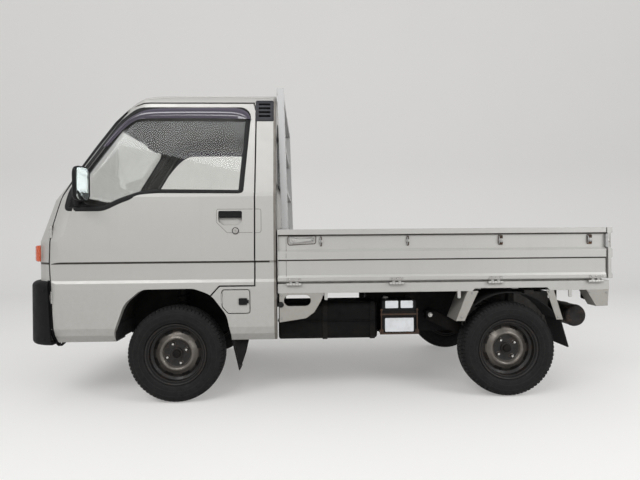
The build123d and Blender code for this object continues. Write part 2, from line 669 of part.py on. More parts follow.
def front_bumper():
    """Wrap-round bumper shell that seats on the cab's corners, with air slots low down."""
    form = bumper_form(0.0)
    rear_end = axle_x(DOOR_OUTLINE[0][0]) - 1
    for level, radius in ((-1, BUMPER_TOP_ROUNDING), (0, BUMPER_BOTTOM_ROUNDING)):
        edges = form.edges().group_by(Axis.Z)[level]
        form = fillet(edges.filter_by(lambda e: e.center().X < rear_end), radius)
    door_clear = push(clear_outline(DOOR_OUTLINE, DOOR_GAP + BUMPER_SETBACK), -HALF_OUT, HALF_OUT)
    shell = form - bumper_form(BUMPER_SKIN) - SKIN[0.0] - door_clear
    lip = BODY_HALF_WIDTH - BUMPER_LIP
    shell = shell - box(axle_x(NOSE) + BUMPER_SKIN, 0, -lip, lip, BUMPER_BOTTOM - 1, SILL_BOTTOM + 1)
    first, pitch, height, half = AIR_SLOT
    for row in range(AIR_SLOTS):
        low = BUMPER_BOTTOM + first + row * pitch
        shell = shell - box(-LENGTH / 2 - 1, axle_x(NOSE), -half, half, low, low + height)
    y0, y1, z0, z1 = BUMPER_STAY
    stay = box(-LENGTH / 2 + BUMPER_SKIN / 2, axle_x(NOSE), y0, y1, z0, z1)
    return shell + stay + mirrored(stay)


HEADLAMP = (330.0, 530.0, 784.0, 902.0)
HEADLAMP_OUT = 20.0
INDICATOR_HEIGHT = (796.0, 886.0)
INDICATOR_OUT = 25.0
INDICATOR_ANGLES = (7.0, 60.0)


def headlamps():
    y0, y1, z0, z1 = HEADLAMP
    lamp = box(axle_x(NOSE) - HEADLAMP_OUT, axle_x(NOSE), y0, y1, z0, z1)
    lamp = fillet(lamp.edges().filter_by(Axis.X), 14)
    lamp = fillet(lamp.faces().sort_by(Axis.X)[0].edges(), 6)
    return both_sides(lamp)


def indicators():
    """Orange corner lamps that follow the rounded corner of the nose."""
    centre = Vector(axle_x(NOSE) + CORNER_RADIUS, BODY_HALF_WIDTH - CORNER_RADIUS, INDICATOR_HEIGHT[0])
    first, last = (math.radians(a) for a in INDICATOR_ANGLES)
    inner = CORNER_RADIUS
    outer = CORNER_RADIUS + INDICATOR_OUT
    middle = (first + last) / 2

    def at(radius, angle):
        return centre + Vector(-radius * math.cos(angle), radius * math.sin(angle), 0)

    outline = Curve(children=[
        ThreePointArc(at(inner, first), at(inner, middle), at(inner, last)),
        Line(at(inner, last), at(outer, last)),
        ThreePointArc(at(outer, last), at(outer, middle), at(outer, first)),
        Line(at(outer, first), at(inner, first)),
    ])
    lamp = extrude(make_face(outline), amount=INDICATOR_HEIGHT[1] - INDICATOR_HEIGHT[0], dir=(0, 0, 1))
    return both_sides(lamp - SKIN[0.0])


def wipers():
    """Two parked wiper arms at the foot of the screen."""
    foot = (axle_x(SCREEN_FOOT[0]), 0, SCREEN_FOOT[1])
    along = Vector(SCREEN_HEAD[0] - SCREEN_FOOT[0], 0, SCREEN_HEAD[1] - SCREEN_FOOT[1]).normalized()
    plane = Plane(origin=foot, x_dir=(0, -1, 0), z_dir=along.cross(Vector(0, 1, 0)))
    found = []
    for pivot in (-60.0, 420.0):
        hub = Pos(pivot, 12, 6) * Cylinder(13, 12)
        arm = Pos(pivot - 210, 20, 15) * Box(430, 10, 8)
        blade = Pos(pivot - 250, 44, 12) * Box(400, 8, 24)
        tie = Pos(pivot - 250, 32, 15) * Box(20, 30, 8)
        found.append(plane * (hub + arm + blade + tie))
    return group(found)


# Inside of the cab
DASH_HALF_WIDTH = 630.0
STEERING_Y = 335.0
STEERING_HUB = (-330.0, 1085.0)
STEERING_TILT = 50.0
STEERING_WHEEL_RADIUS = 185.0
COLUMN_LENGTH = 300.0


def steering_plane():
    """Frame at the hub whose Z runs up the steering column."""
    tilt = math.radians(STEERING_TILT)
    axis = Vector(math.cos(tilt), 0, math.sin(tilt))
    return Plane(origin=(axle_x(STEERING_HUB[0]), STEERING_Y, STEERING_HUB[1]), x_dir=(0, 1, 0), z_dir=axis)


def dashboard():
    """Dashboard across the cab with the steering column."""
    profile = [(-790, 890), (-600, 872), (-470, 900), (-446, 1030), (-468, 1092), (-560, 1112), (-790, 1118)]
    form = side_prism(profile, -DASH_HALF_WIDTH, DASH_HALF_WIDTH)
    middle = box(axle_x(NOSE), axle_x(0), -DOOR_FROM_Y + DOOR_GAP, DOOR_FROM_Y - DOOR_GAP, 0, ROOF_HEIGHT)
    dash = (form & SKIN[WALL] & middle) + (form & SKIN[DOOR_THICKNESS + DOOR_GAP])
    column = steering_plane() * (Pos(0, 0, -30 - COLUMN_LENGTH / 2) * Cylinder(24, COLUMN_LENGTH))
    shaft = steering_plane() * (Pos(0, 0, -14) * Cylinder(9, 48))
    return dash + column + shaft


def steering_wheel():
    plane = steering_plane()
    rim = Torus(STEERING_WHEEL_RADIUS, 12)
    hub = Pos(0, 0, -10) * Cylinder(34, 34)
    spoke_form = Pos(STEERING_WHEEL_RADIUS / 2 + 8, 0, -6) * Box(STEERING_WHEEL_RADIUS - 20, 34, 10)
    spokes = [Rot(0, 0, angle) * spoke_form for angle in (0, 180, 270)]
    wheel = rim + hub
    for spoke in spokes:
        wheel = wheel + spoke
    wheel = wheel - Pos(0, 0, -14) * Cylinder(9 + RUNNING_FIT, 49)
    return plane * wheel


SEAT_Y = (95.0, 565.0)
SEAT_CUSHION = (-70.0, 400.0, 140.0)
SEAT_BACK_HEIGHT = 1190.0


def seats():
    """Two low seats: cushion and leaning back rest each."""
    x0, x1, height = SEAT_CUSHION
    y0, y1 = SEAT_Y
    z0 = PLATFORM_HEIGHT + SEAT_CLEARANCE
    cushion = box(axle_x(x0), axle_x(x1), y0, y1, z0, z0 + height)
    cushion = fillet(cushion.edges().filter_by(Axis.Z), 40)
    cushion = fillet(cushion.faces().sort_by(Axis.Z)[-1].edges(), 24)
    lean = 70.0
    back = side_prism([(x1 + 2, z0), (x1 + 62, z0), (x1 + 60 + lean, SEAT_BACK_HEIGHT - 40),
                       (x1 + 50 + lean, SEAT_BACK_HEIGHT), (x1 - 10 + lean, SEAT_BACK_HEIGHT),
                       (x1 - 28 + lean, SEAT_BACK_HEIGHT - 40), (x1 - 40, z0 + height + 2), (x1 + 2, z0 + height + 2)],
                      y0 + 6, y1 - 6)
    return both_sides(group([cushion, back]))


def interior_mirror():
    glass_z = ROOF_HEIGHT - 197
    top = ROOF_HEIGHT + 8
    glass = Pos(axle_x(-318), 0, glass_z) * Box(14, 190, 54)
    glass = fillet(glass.edges().filter_by(Axis.X), 12)
    stalk = side_prism([(-322, glass_z + 5), (-312, glass_z + 5), (-270, top), (-280, top)], -5, 5)
    return glass + (stalk & SKIN[WALL])


# Bed: heights and places that the gates, floor and frame share
BED_REAR = LENGTH / 2 - FRONT_AXLE_X
GATE_FACE_SETBACK = 5.0
HINGE_Z = BED_FLOOR_HEIGHT - 11.0
HINGE_IN = 3.0
GATE_BOTTOM = HINGE_Z + 16.5
GATE_TOP = GATE_BOTTOM + GATE_HEIGHT - 1.5
EDGE_HALF_WIDTH = BODY_HALF_WIDTH - 13.5
EDGE_TOP = BED_FLOOR_HEIGHT - 8.0
EDGE_BOTTOM = EDGE_TOP - EDGE_FRAME_HEIGHT + 6.0
DECK_HALF_WIDTH = BODY_HALF_WIDTH - 39.5
DECK_THICKNESS = 6.0
RAIL_TOP = BED_FLOOR_HEIGHT - DECK_THICKNESS - CROSSMEMBER_HEIGHT
TAILGATE_FACE = BED_REAR - GATE_FACE_SETBACK
GATE_REAR = TAILGATE_FACE - GATE_THICKNESS - 6.0
DECK_REAR = TAILGATE_FACE - 39.5
FRONT_PANEL_THICKNESS = 26.0
BARREL_RADIUS = 8.0
STRAP_THICKNESS = 4.0

# Gate section: how far inside the outer face, height above the gate's bottom edge
GATE_SECTION = [(3, 0), (0, 4), (0, 22), (7, 34), (7, 114), (0, 122), (0, 164), (16, 178), (16, 252), (2, 258),
                (0, 261), (0, 287.5), (2, 289.5), (28, 289.5), (30, 287.5), (30, 258), (25, 252), (25, 0)]
SIDE_HINGES = (664.0, 1238.0, 1797.0, 2372.0)
TAIL_HINGES = (-520.0, 0.0, 520.0)
HINGE_LENGTH = 84.0


GATE_LATCH = (644.0, 777.0, 887.0, 921.0)
GATE_TABS = (816.0, 1304.0, 1831.0, 2343.0)


def gate_knuckles(count_from, count):
    """Which of the five knuckles of a hinge belong to one side: start and length along the pin."""
    pitch = HINGE_LENGTH / 5
    return [(-HINGE_LENGTH / 2 + i * pitch + 0.5, pitch - 1.0) for i in range(count_from, count, 2)]


def side_gate(side):
    """Drop side: pressed section, straps and hinge knuckles, front latch lever in its recess."""
    points = [(BODY_HALF_WIDTH - inset, GATE_BOTTOM + z) for inset, z in GATE_SECTION]
    gate = section_prism(points, axle_x(BED_FRONT), axle_x(GATE_REAR))
    pin_y = BODY_HALF_WIDTH - HINGE_IN
    for place in SIDE_HINGES:
        for start, length in gate_knuckles(1, 5):
            x0 = axle_x(place) + start
            strap = box(x0, x0 + length, pin_y - STRAP_THICKNESS, pin_y, HINGE_Z, GATE_BOTTOM + 1)
            knuckle = cylinder_x(x0, x0 + length, pin_y, HINGE_Z, BARREL_RADIUS)
            knuckle = knuckle - cylinder_x(x0, x0 + length, pin_y, HINGE_Z, HINGE_PIN_RADIUS + RUNNING_FIT)
            strap = strap - cylinder_x(x0, x0 + length, pin_y, HINGE_Z, HINGE_PIN_RADIUS + 1)
            gate = gate + strap + knuckle
    recess_y = BODY_HALF_WIDTH - GATE_SECTION[7][0]
    x0, x1, z0, z1 = GATE_LATCH
    lever = side_prism([(x0, z1), (x0, z0 + 8), (x0 + 8, z0), (x1 - 10, z0 + 10), (x1, z0 + 16), (x1 - 6, z1 - 4)],
                       recess_y + 4, recess_y + 11)
    gate = gate + lever + cylinder_y(axle_x(x0 + 20), recess_y - 2, recess_y + 14, (z0 + z1) / 2, 9)
    for place in GATE_TABS:
        gate = gate + box(axle_x(place - 12), axle_x(place + 12), recess_y - 1, recess_y + 6, z0 + 2, z0 + 16)
    return on_side(gate, side)


def tailgate():
    """Rear gate with the same pressed section across the bed."""
    points = [(FRONT_AXLE_X + TAILGATE_FACE - inset, GATE_BOTTOM + z) for inset, z in GATE_SECTION]
    face = make_face(Plane.XZ * Polyline(points, close=True))
    half = BODY_HALF_WIDTH
    gate = extrude(Pos(0, -half, 0) * face, amount=2 * half, dir=(0, 1, 0))
    pin_x = FRONT_AXLE_X + TAILGATE_FACE - HINGE_IN
    for place in TAIL_HINGES:
        for start, length in gate_knuckles(1, 5):
            y0 = place + start
            strap = box(pin_x - STRAP_THICKNESS, pin_x, y0, y0 + length, HINGE_Z, GATE_BOTTOM + 1)
            knuckle = cylinder_y(pin_x, y0, y0 + length, HINGE_Z, BARREL_RADIUS)
            knuckle = knuckle - cylinder_y(pin_x, y0, y0 + length, HINGE_Z, HINGE_PIN_RADIUS + RUNNING_FIT)
            strap = strap - cylinder_y(pin_x, y0, y0 + length, HINGE_Z, HINGE_PIN_RADIUS + 1)
            gate = gate + strap + knuckle
    return gate


ROPE_PEGS = (842.0, 1593.0, 2231.0)
ROPE_PEG = (18.0, 40.0, 7.0)
ARCH_RELIEF = (1684.0, 2098.0, 16.0)
BED_RIBS = 9


def bed():
    """Bed floor on its ribs, edge frame with hinge halves and rope pegs, front panel."""
    x0 = axle_x(BED_FRONT)
    x1 = axle_x(DECK_REAR)
    deck_low = BED_FLOOR_HEIGHT - DECK_THICKNESS
    floor = box(x0, x1, -DECK_HALF_WIDTH, DECK_HALF_WIDTH, deck_low, BED_FLOOR_HEIGHT)
    web = 5.0
    side = box(x0, x1, DECK_HALF_WIDTH - 20, EDGE_HALF_WIDTH, EDGE_BOTTOM, deck_low)
    side = side - box(x0 - 1, x1 + 1, DECK_HALF_WIDTH - 21, EDGE_HALF_WIDTH - web, EDGE_BOTTOM + web,
                      deck_low - web)
    side = side - box(x0 - 1, x1 + 1, DECK_HALF_WIDTH, EDGE_HALF_WIDTH + 1, EDGE_TOP, deck_low + 1)
    start, end, rise = ARCH_RELIEF
    relief = side_prism([(start - rise, EDGE_BOTTOM - 1), (start, EDGE_BOTTOM + rise), (end, EDGE_BOTTOM + rise),
                         (end + rise, EDGE_BOTTOM - 1)], DECK_HALF_WIDTH - 21, EDGE_HALF_WIDTH + 1)
    side = side - relief
    body = floor + side + mirrored(side)
    rear = box(x1 - 40, x1, -EDGE_HALF_WIDTH, EDGE_HALF_WIDTH, EDGE_BOTTOM, EDGE_TOP)
    rear = rear - box(x1 - 41, x1 - web, -EDGE_HALF_WIDTH + web, EDGE_HALF_WIDTH - web, EDGE_BOTTOM + web,
                      EDGE_TOP - web)
    rear_web = box(x1 - web, axle_x(TAILGATE_FACE) - 13.5, -EDGE_HALF_WIDTH, EDGE_HALF_WIDTH,
                   EDGE_BOTTOM, EDGE_TOP)
    body = body + rear + rear_web + box(x1 - 40, x1, -DECK_HALF_WIDTH, DECK_HALF_WIDTH, EDGE_TOP, deck_low)
    pitch = (x1 - x0 - 120) / (BED_RIBS - 1)
    for i in range(BED_RIBS):
        x = x0 + 50 + i * pitch
        body = body + box(x - 18, x + 18, -DECK_HALF_WIDTH, DECK_HALF_WIDTH, RAIL_TOP, deck_low)
    panel = box(x0, x0 + FRONT_PANEL_THICKNESS, -DECK_HALF_WIDTH, DECK_HALF_WIDTH, BED_FLOOR_HEIGHT, GATE_TOP)
    body = body + panel
    pin_y = BODY_HALF_WIDTH - HINGE_IN
    pins = []
    for place in SIDE_HINGES:
        middle = axle_x(place)
        half = HINGE_LENGTH / 2
        piece = cylinder_x(middle - half, middle + half, pin_y, HINGE_Z, HINGE_PIN_RADIUS)
        for start, length in gate_knuckles(0, 5):
            begin = middle + start
            piece = piece + cylinder_x(begin, begin + length, pin_y, HINGE_Z, BARREL_RADIUS)
            piece = piece + box(begin, begin + length, EDGE_HALF_WIDTH - 1, pin_y, HINGE_Z - 8, HINGE_Z - 3)
        pins.append(piece)
    for place in ROPE_PEGS:
        x = axle_x(place)
        width, depth, thickness = ROPE_PEG
        peg = box(x - width / 2, x + width / 2, EDGE_HALF_WIDTH - thickness, EDGE_HALF_WIDTH,
                  EDGE_BOTTOM - depth, EDGE_BOTTOM + 1)
        pins.append(fillet(peg.edges().filter_by(Axis.Y).group_by(Axis.Z)[0], width / 3))
    for piece in pins:
        body = body + piece + mirrored(piece)
    pin_x = FRONT_AXLE_X + TAILGATE_FACE - HINGE_IN
    for place in TAIL_HINGES:
        half = HINGE_LENGTH / 2
        piece = cylinder_y(pin_x, place - half, place + half, HINGE_Z, HINGE_PIN_RADIUS)
        for start, length in gate_knuckles(0, 5):
            begin = place + start
            piece = piece + cylinder_y(pin_x, begin, begin + length, HINGE_Z, BARREL_RADIUS)
            piece = piece + box(axle_x(TAILGATE_FACE) - 14.5, pin_x, begin, begin + length,
                                HINGE_Z - 8, HINGE_Z - 3)
        body = body + piece
    return body


GUARD_TOP = ROOF_HEIGHT + 24.0
GUARD_TUBE = 38.0
GUARD_LEAN = 20.0
GUARD_HALF_WIDTH = 600.0
GUARD_RAILS = (1212.0, 1490.0)


def guard_frame():
    """Head guard behind the cab: two posts, top rail and two cross rails of square tube."""
    foot = BED_FRONT + 20.0

    def lean_at(z):
        return foot - GUARD_LEAN * (z - GATE_TOP) / (GUARD_TOP - GATE_TOP)

    z0 = GATE_TOP
    post = side_prism([(foot, z0), (foot + GUARD_TUBE, z0), (foot + GUARD_TUBE - GUARD_LEAN, GUARD_TOP),
                       (foot - GUARD_LEAN, GUARD_TOP)], GUARD_HALF_WIDTH - GUARD_TUBE, GUARD_HALF_WIDTH)
    base = box(axle_x(BED_FRONT), axle_x(foot + GUARD_TUBE + 6), GUARD_HALF_WIDTH - GUARD_TUBE - 20,
               GUARD_HALF_WIDTH + 8, z0, z0 + 6)
    frame = post + base
    frame = frame + mirrored(frame)
    inner = GUARD_HALF_WIDTH - GUARD_TUBE / 2
    for z, size in [(GUARD_TOP - GUARD_TUBE, GUARD_TUBE)] + [(z, 28.0) for z in GUARD_RAILS]:
        x = lean_at(z + size)
        frame = frame + box(axle_x(x + 2), axle_x(x + size - 2), -inner, inner, z, z + size)
    return frame


# Stays over the rear wheel: place at the top and the bottom, width at both, depth of the plate behind
WHEEL_STAYS = ((1672.0, 1598.0, 62.0, 50.0, 170.0), (2115.0, 2169.0, 42.0, 36.0, 0.0))
STAY_BOTTOM = 440.0


def bed_brackets():
    """Brackets below the bed edge: slotted front panels, rear wheel guard stays and lamp corners."""
    outer = EDGE_HALF_WIDTH
    z1 = EDGE_BOTTOM
    front = side_prism([(BED_FRONT + 8, z1), (832, z1), (812, 560), (775, 500), (730, 468), (BED_FRONT + 8, 446)],
                       outer - 6, outer)
    slot = Pos(axle_x(682), outer, 567) * Rot(90, 0, 0) * extrude(SlotOverall(150, 62), amount=20, both=True)
    front = front - slot
    found = [front]
    for top, low, width_top, width_low, depth in WHEEL_STAYS:
        stay = side_prism([(top - width_top / 2, z1), (top + width_top / 2, z1), (low + width_low / 2, STAY_BOTTOM),
                           (low - width_low / 2, STAY_BOTTOM)], outer - 5, outer)
        if depth:
            high_edge = top - width_top / 2
            low_edge = low - width_low / 2
            stay = stay + side_prism([(high_edge, z1), (high_edge + 5, z1), (low_edge + 5, STAY_BOTTOM),
                                      (low_edge, STAY_BOTTOM)], outer - depth, outer)
        found.append(stay)
    corner = side_prism([(2324, z1), (2453, z1), (2446, 516), (2380, 514)], outer - 84, outer)
    corner = corner - side_prism([(2350, z1 - 6), (2447, z1 - 6), (2440, 522), (2388, 520)], outer - 90, outer - 5)
    found.append(corner)
    return both_sides(group(found))


# Chassis
FRAME_FRONT = -690.0
FRAME_REAR = 2330.0
LOW_RAIL_TOP = FLOOR_HEIGHT - FLOOR_THICKNESS - 14.0
RAIL_KICK = (-326.0, -196.0)
FRAME_CROSSMEMBERS = (620.0, 1240.0, 1700.0, 2290.0)
CROSSMEMBER_HALF = 20.0
CROSSMEMBER_DROP = 4.0
CAB_MOUNTS = ((-600.0, LOW_RAIL_TOP, FLOOR_HEIGHT), (-150.0, RAIL_TOP, PLATFORM_HEIGHT),
              (440.0, RAIL_TOP, PLATFORM_HEIGHT))
CAB_MOUNT_RADIUS = 24.0
TOW_EYE = (-700.0, 322.0)
TOW_EYE_Y = 527.0
TOW_EYE_THICKNESS = 14.0
TOW_EYE_RADIUS = 12.0


def chassis_frame():
    """Two kicked-up rails with crossmembers, cab mounts and the battery tray."""
    low = LOW_RAIL_TOP - RAIL_HEIGHT
    high = RAIL_TOP - RAIL_HEIGHT
    k0, k1 = RAIL_KICK
    y0 = RAIL_HALF_SPACING - RAIL_WIDTH / 2
    y1 = RAIL_HALF_SPACING + RAIL_WIDTH / 2
    outline = [(FRAME_FRONT, low), (k0, low), (k1, high), (FRAME_REAR, high), (FRAME_REAR, RAIL_TOP),
               (k1 - 12, RAIL_TOP), (k0 - 12, LOW_RAIL_TOP), (FRAME_FRONT, LOW_RAIL_TOP)]
    rail = side_prism(outline, y0, y1)
    for place, z, top in CAB_MOUNTS:
        rail = rail + cylinder_z(axle_x(place), RAIL_HALF_SPACING, z, top - FLOOR_THICKNESS, CAB_MOUNT_RADIUS)
    frame = rail + mirrored(rail)
    for place in FRAME_CROSSMEMBERS:
        frame = frame + box(axle_x(place - CROSSMEMBER_HALF), axle_x(place + CROSSMEMBER_HALF), -y1, y1,
                            high + CROSSMEMBER_DROP, RAIL_TOP - CROSSMEMBER_DROP)
    frame = frame + box(axle_x(FRAME_FRONT), axle_x(FRAME_FRONT + 50), -TOW_EYE_Y, TOW_EYE_Y, low, LOW_RAIL_TOP)
    eye_x, eye_z = TOW_EYE
    lug = side_prism([(eye_x - 26, eye_z - 6), (eye_x - 10, eye_z - 22), (eye_x + 10, eye_z - 22),
                      (eye_x + 28, eye_z - 6), (eye_x + 52, LOW_RAIL_TOP), (eye_x - 6, LOW_RAIL_TOP)],
                     TOW_EYE_Y - TOW_EYE_THICKNESS, TOW_EYE_Y)
    lug = lug - cylinder_y(axle_x(eye_x), TOW_EYE_Y - 30, TOW_EYE_Y + 30, eye_z, TOW_EYE_RADIUS)
    return frame + lug + mirrored(lug) + battery_tray()


BATTERY_X = (1165.0, 1352.0)
BATTERY_Y = (518.0, 645.0)
BATTERY_Z = (370.0, 572.0)
HOLD_DOWN = (462.0, 494.0)


def battery_tray():
    """Tray, posts and hold-down bar that hang from the left rail."""
    x0, x1 = (axle_x(v) for v in BATTERY_X)
    y0, y1 = BATTERY_Y
    z0, z1 = BATTERY_Z
    t = 4.0
    tray = box(x0 - 12, x1 + 12, y0 - 8, y1 + 8, z0 - t, z0)
    back = box(x0 - 12, axle_x(SIDE_GUARD[0]) - 2, y0 - 12, y0 - 8, z0 - t, RAIL_TOP - 6)
    back = back + box(axle_x(TANK_X[1] - 50), x0, y0 - 12, y0 - 8, TANK_Z[1] + 14, RAIL_TOP - 6)
    arm = box(x0 + 20, x0 + 60, RAIL_HALF_SPACING, y0 - 8, RAIL_TOP - 46, RAIL_TOP - 16)
    posts = [box(x - 3, x + 3, y1 + 2, y1 + 8, z0 - t, HOLD_DOWN[1]) for x in (x0 - 9, x1 + 9)]
    bar = box(x0 - 12, x1 + 12, y1 + 2, y1 + 8, HOLD_DOWN[0], HOLD_DOWN[1])
    arm2 = box(x1 - 60, x1 - 20, RAIL_HALF_SPACING, y0 - 8, RAIL_TOP - 46, RAIL_TOP - 16)
    return mirrored(join([tray, back, arm, arm2, bar] + posts))


def battery():
    x0, x1 = (axle_x(v) for v in BATTERY_X)
    y0, y1 = BATTERY_Y
    z0, z1 = BATTERY_Z
    case = box(x0, x1, y0, y1, z0, z1 - 18)
    lid = box(x0 - 2, x1 + 2, y0 - 2, y1 + 1.5, z1 - 66, z1 - 20)
    posts = [cylinder_z(x, y0 + 26, z1 - 20, z1, 9) for x in (x0 + 26, x1 - 26)]
    return mirrored(join([case, lid] + posts))


TANK_X = (572.0, 1140.0)
TANK_Y = (360.0, 610.0)
TANK_Z = (333.0, 543.0)
TANK_HANGERS = (838.0, 1112.0)
TANK_HANGER_HALF = 16.0
TANK_ROUNDING = 34.0
TANK_END_ROUNDING = 14.0


def fuel_tank():
    """Fuel tank low on the left side with its hangers."""
    x0, x1 = (axle_x(v) for v in TANK_X)
    tank = box(x0, x1, TANK_Y[0], TANK_Y[1], TANK_Z[0], TANK_Z[1])
    tank = fillet(tank.edges().filter_by(Axis.X), TANK_ROUNDING)
    ends = tank.faces().sort_by(Axis.X)
    tank = fillet(ends[0].edges() + ends[-1].edges(), TANK_END_ROUNDING)
    for place in TANK_HANGERS:
        tank = tank + box(axle_x(place - TANK_HANGER_HALF), axle_x(place + TANK_HANGER_HALF),
                          RAIL_HALF_SPACING + RAIL_WIDTH / 2, TANK_Y[0] + 60, TANK_Z[1] - 20, RAIL_TOP - 8)
    return mirrored(tank)


ENGINE = (2075.0, 2300.0, 300.0, 270.0, 556.0)
MUFFLER = (2385.0, 425.0, 66.0, -470.0, 180.0)
FINAL_DRIVE = (210.0, 42.0)
DRIVE_SHAFT_RADIUS = 17.0


def engine():
    """Engine and gearbox as one plain mass between the rails behind and over the rear axle."""
    x0, x1, half, z0, z1 = ENGINE
    block = box(axle_x(x0), axle_x(x1), -half, half, z0, z1)
    gearbox = box(axle_x(WHEELBASE - 90), axle_x(x0), -130, 130, z0 - 40, z1 - 110)
    mount = box(axle_x(x0 + 60), axle_x(x0 + 120), half - 4, RAIL_HALF_SPACING, z1 - 16, RAIL_TOP - RAIL_HEIGHT)
    mounts = mount + mirrored(mount)
    half_width, radius = FINAL_DRIVE
    final_drive = cylinder_y(REAR_AXLE_X, -half_width, half_width, TYRE_RADIUS, radius)
    return block + gearbox + mounts + final_drive


def muffler():
    """Round silencer across the rear with its hangers and tail pipe."""
    x, z, radius, y0, y1 = MUFFLER
    body = cylinder_y(axle_x(x), y0, y1, z, radius)
    body = fillet(body.edges(), 12)
    for y in (-RAIL_HALF_SPACING, 0.0):
        body = body + box(axle_x(FRAME_REAR), axle_x(x), y - 12, y + 12, z, z + 40) \
            + box(axle_x(FRAME_REAR), axle_x(FRAME_REAR + 8), y - 12, y + 12, z, RAIL_TOP - 8)
    pipe = cylinder_x(axle_x(x), axle_x(x + 66), y1 - 60, z - 20, 19)
    return body + pipe


STRUT_TOP = 649.8


def front_suspension():
    """Front crossmember, struts, lower arms with their ball pins and upper clevises."""
    low_z = TYRE_RADIUS - 88
    top_z = TYRE_RADIUS + 74
    x = FRONT_AXLE_X
    cross = box(x - 45, x + 45, -(RAIL_HALF_SPACING - RAIL_WIDTH / 2), RAIL_HALF_SPACING - RAIL_WIDTH / 2,
                RAIL_TOP - RAIL_HEIGHT - 60, RAIL_TOP - RAIL_HEIGHT + 30)
    drop = box(x - 40, x + 40, 180, 230, low_z - 16, RAIL_TOP - RAIL_HEIGHT - 40)
    arm = box(x - 26, x + 26, 200, KINGPIN_Y - 8, low_z - 12, low_z + 12)
    boss = cylinder_z(x, KINGPIN_Y, low_z - 12, low_z + 12, 24)
    pin = cylinder_z(x, KINGPIN_Y, low_z + 11, low_z + 34, KINGPIN_RADIUS)
    strut_y = 468.0
    strut = cylinder_z(x, strut_y, top_z - 16, STRUT_TOP, 24)
    clevis = box(x - 22, x + 22, strut_y, KINGPIN_Y, top_z - 8, top_z + 12)
    top_boss = cylinder_z(x, KINGPIN_Y, top_z - 8, top_z + 12, 22)
    top_pin = cylinder_z(x, KINGPIN_Y, top_z - 34, top_z - 7, KINGPIN_RADIUS)
    side = join([drop, arm, boss, pin, strut, clevis, top_boss, top_pin])
    return cross + side + mirrored(side)


def knuckle(side):
    """Steering knuckle: upright on its two pins, backing plate and wheel spindle."""
    low_z = TYRE_RADIUS - 88 + 13
    top_z = TYRE_RADIUS + 74 - 10
    x = FRONT_AXLE_X
    upright = cylinder_z(x, KINGPIN_Y, low_z, top_z, 20)
    for z0, z1 in ((low_z - 1, low_z + 24), (top_z - 28, top_z + 1)):
        upright = upright - cylinder_z(x, KINGPIN_Y, z0, z1, KINGPIN_RADIUS + RUNNING_FIT)
    plate = cylinder_y(x, BACKING_PLATE_Y[0], BACKING_PLATE_Y[1], TYRE_RADIUS, BACKING_PLATE_RADIUS)
    plate = plate - cylinder_z(x, KINGPIN_Y, 0, low_z + 10, 30) - cylinder_z(x, KINGPIN_Y, top_z - 8, top_z + 60, 30)
    spindle = cylinder_y(x, KINGPIN_Y, SPINDLE_END_Y, TYRE_RADIUS, SPINDLE_RADIUS)
    arm = box(x, x + 92, KINGPIN_Y - 16, KINGPIN_Y + 4, TYRE_RADIUS - 26, TYRE_RADIUS - 8)
    return on_side(join([upright, plate, spindle, arm]), side)


ARM_PIVOT = (405.0, 445.0)
ARM_PIVOT_RADIUS = 22.0
ARM_Y = (440.0, 486.0)


def rear_suspension():
    """Trailing arms from the rails to the hubs, spindles and drive shafts."""
    arm = side_prism([(WHEELBASE - 430, 470), (WHEELBASE - 380, 470), (WHEELBASE - 60, 300), (WHEELBASE + 40, 300),
                      (WHEELBASE + 40, 240), (WHEELBASE - 70, 240), (WHEELBASE - 430, 420)], ARM_Y[0], ARM_Y[1])
    pivot = cylinder_y(axle_x(WHEELBASE - ARM_PIVOT[0]), RAIL_HALF_SPACING - 10, ARM_Y[1], ARM_PIVOT[1],
                       ARM_PIVOT_RADIUS)
    hanger = box(axle_x(WHEELBASE - 430), axle_x(WHEELBASE - 380), RAIL_HALF_SPACING - 20,
                 RAIL_HALF_SPACING + 20, 440, RAIL_TOP - RAIL_HEIGHT)
    carrier = cylinder_y(REAR_AXLE_X, ARM_Y[0], KINGPIN_Y, TYRE_RADIUS, 40)
    plate = cylinder_y(REAR_AXLE_X, BACKING_PLATE_Y[0], BACKING_PLATE_Y[1], TYRE_RADIUS, BACKING_PLATE_RADIUS)
    spindle = cylinder_y(REAR_AXLE_X, KINGPIN_Y - 10, SPINDLE_END_Y, TYRE_RADIUS, SPINDLE_RADIUS)
    shaft = cylinder_y(REAR_AXLE_X, FINAL_DRIVE[0], ARM_Y[0] + 10, TYRE_RADIUS, DRIVE_SHAFT_RADIUS)
    side = join([arm, pivot, hanger, carrier, plate, spindle, shaft])
    return both_sides(side)


SIDE_GUARD = (1384.0, 1700.0, 333.0)
SIDE_GUARD_FRONT = 1150.0
SIDE_GUARD_SKIN = 4.0


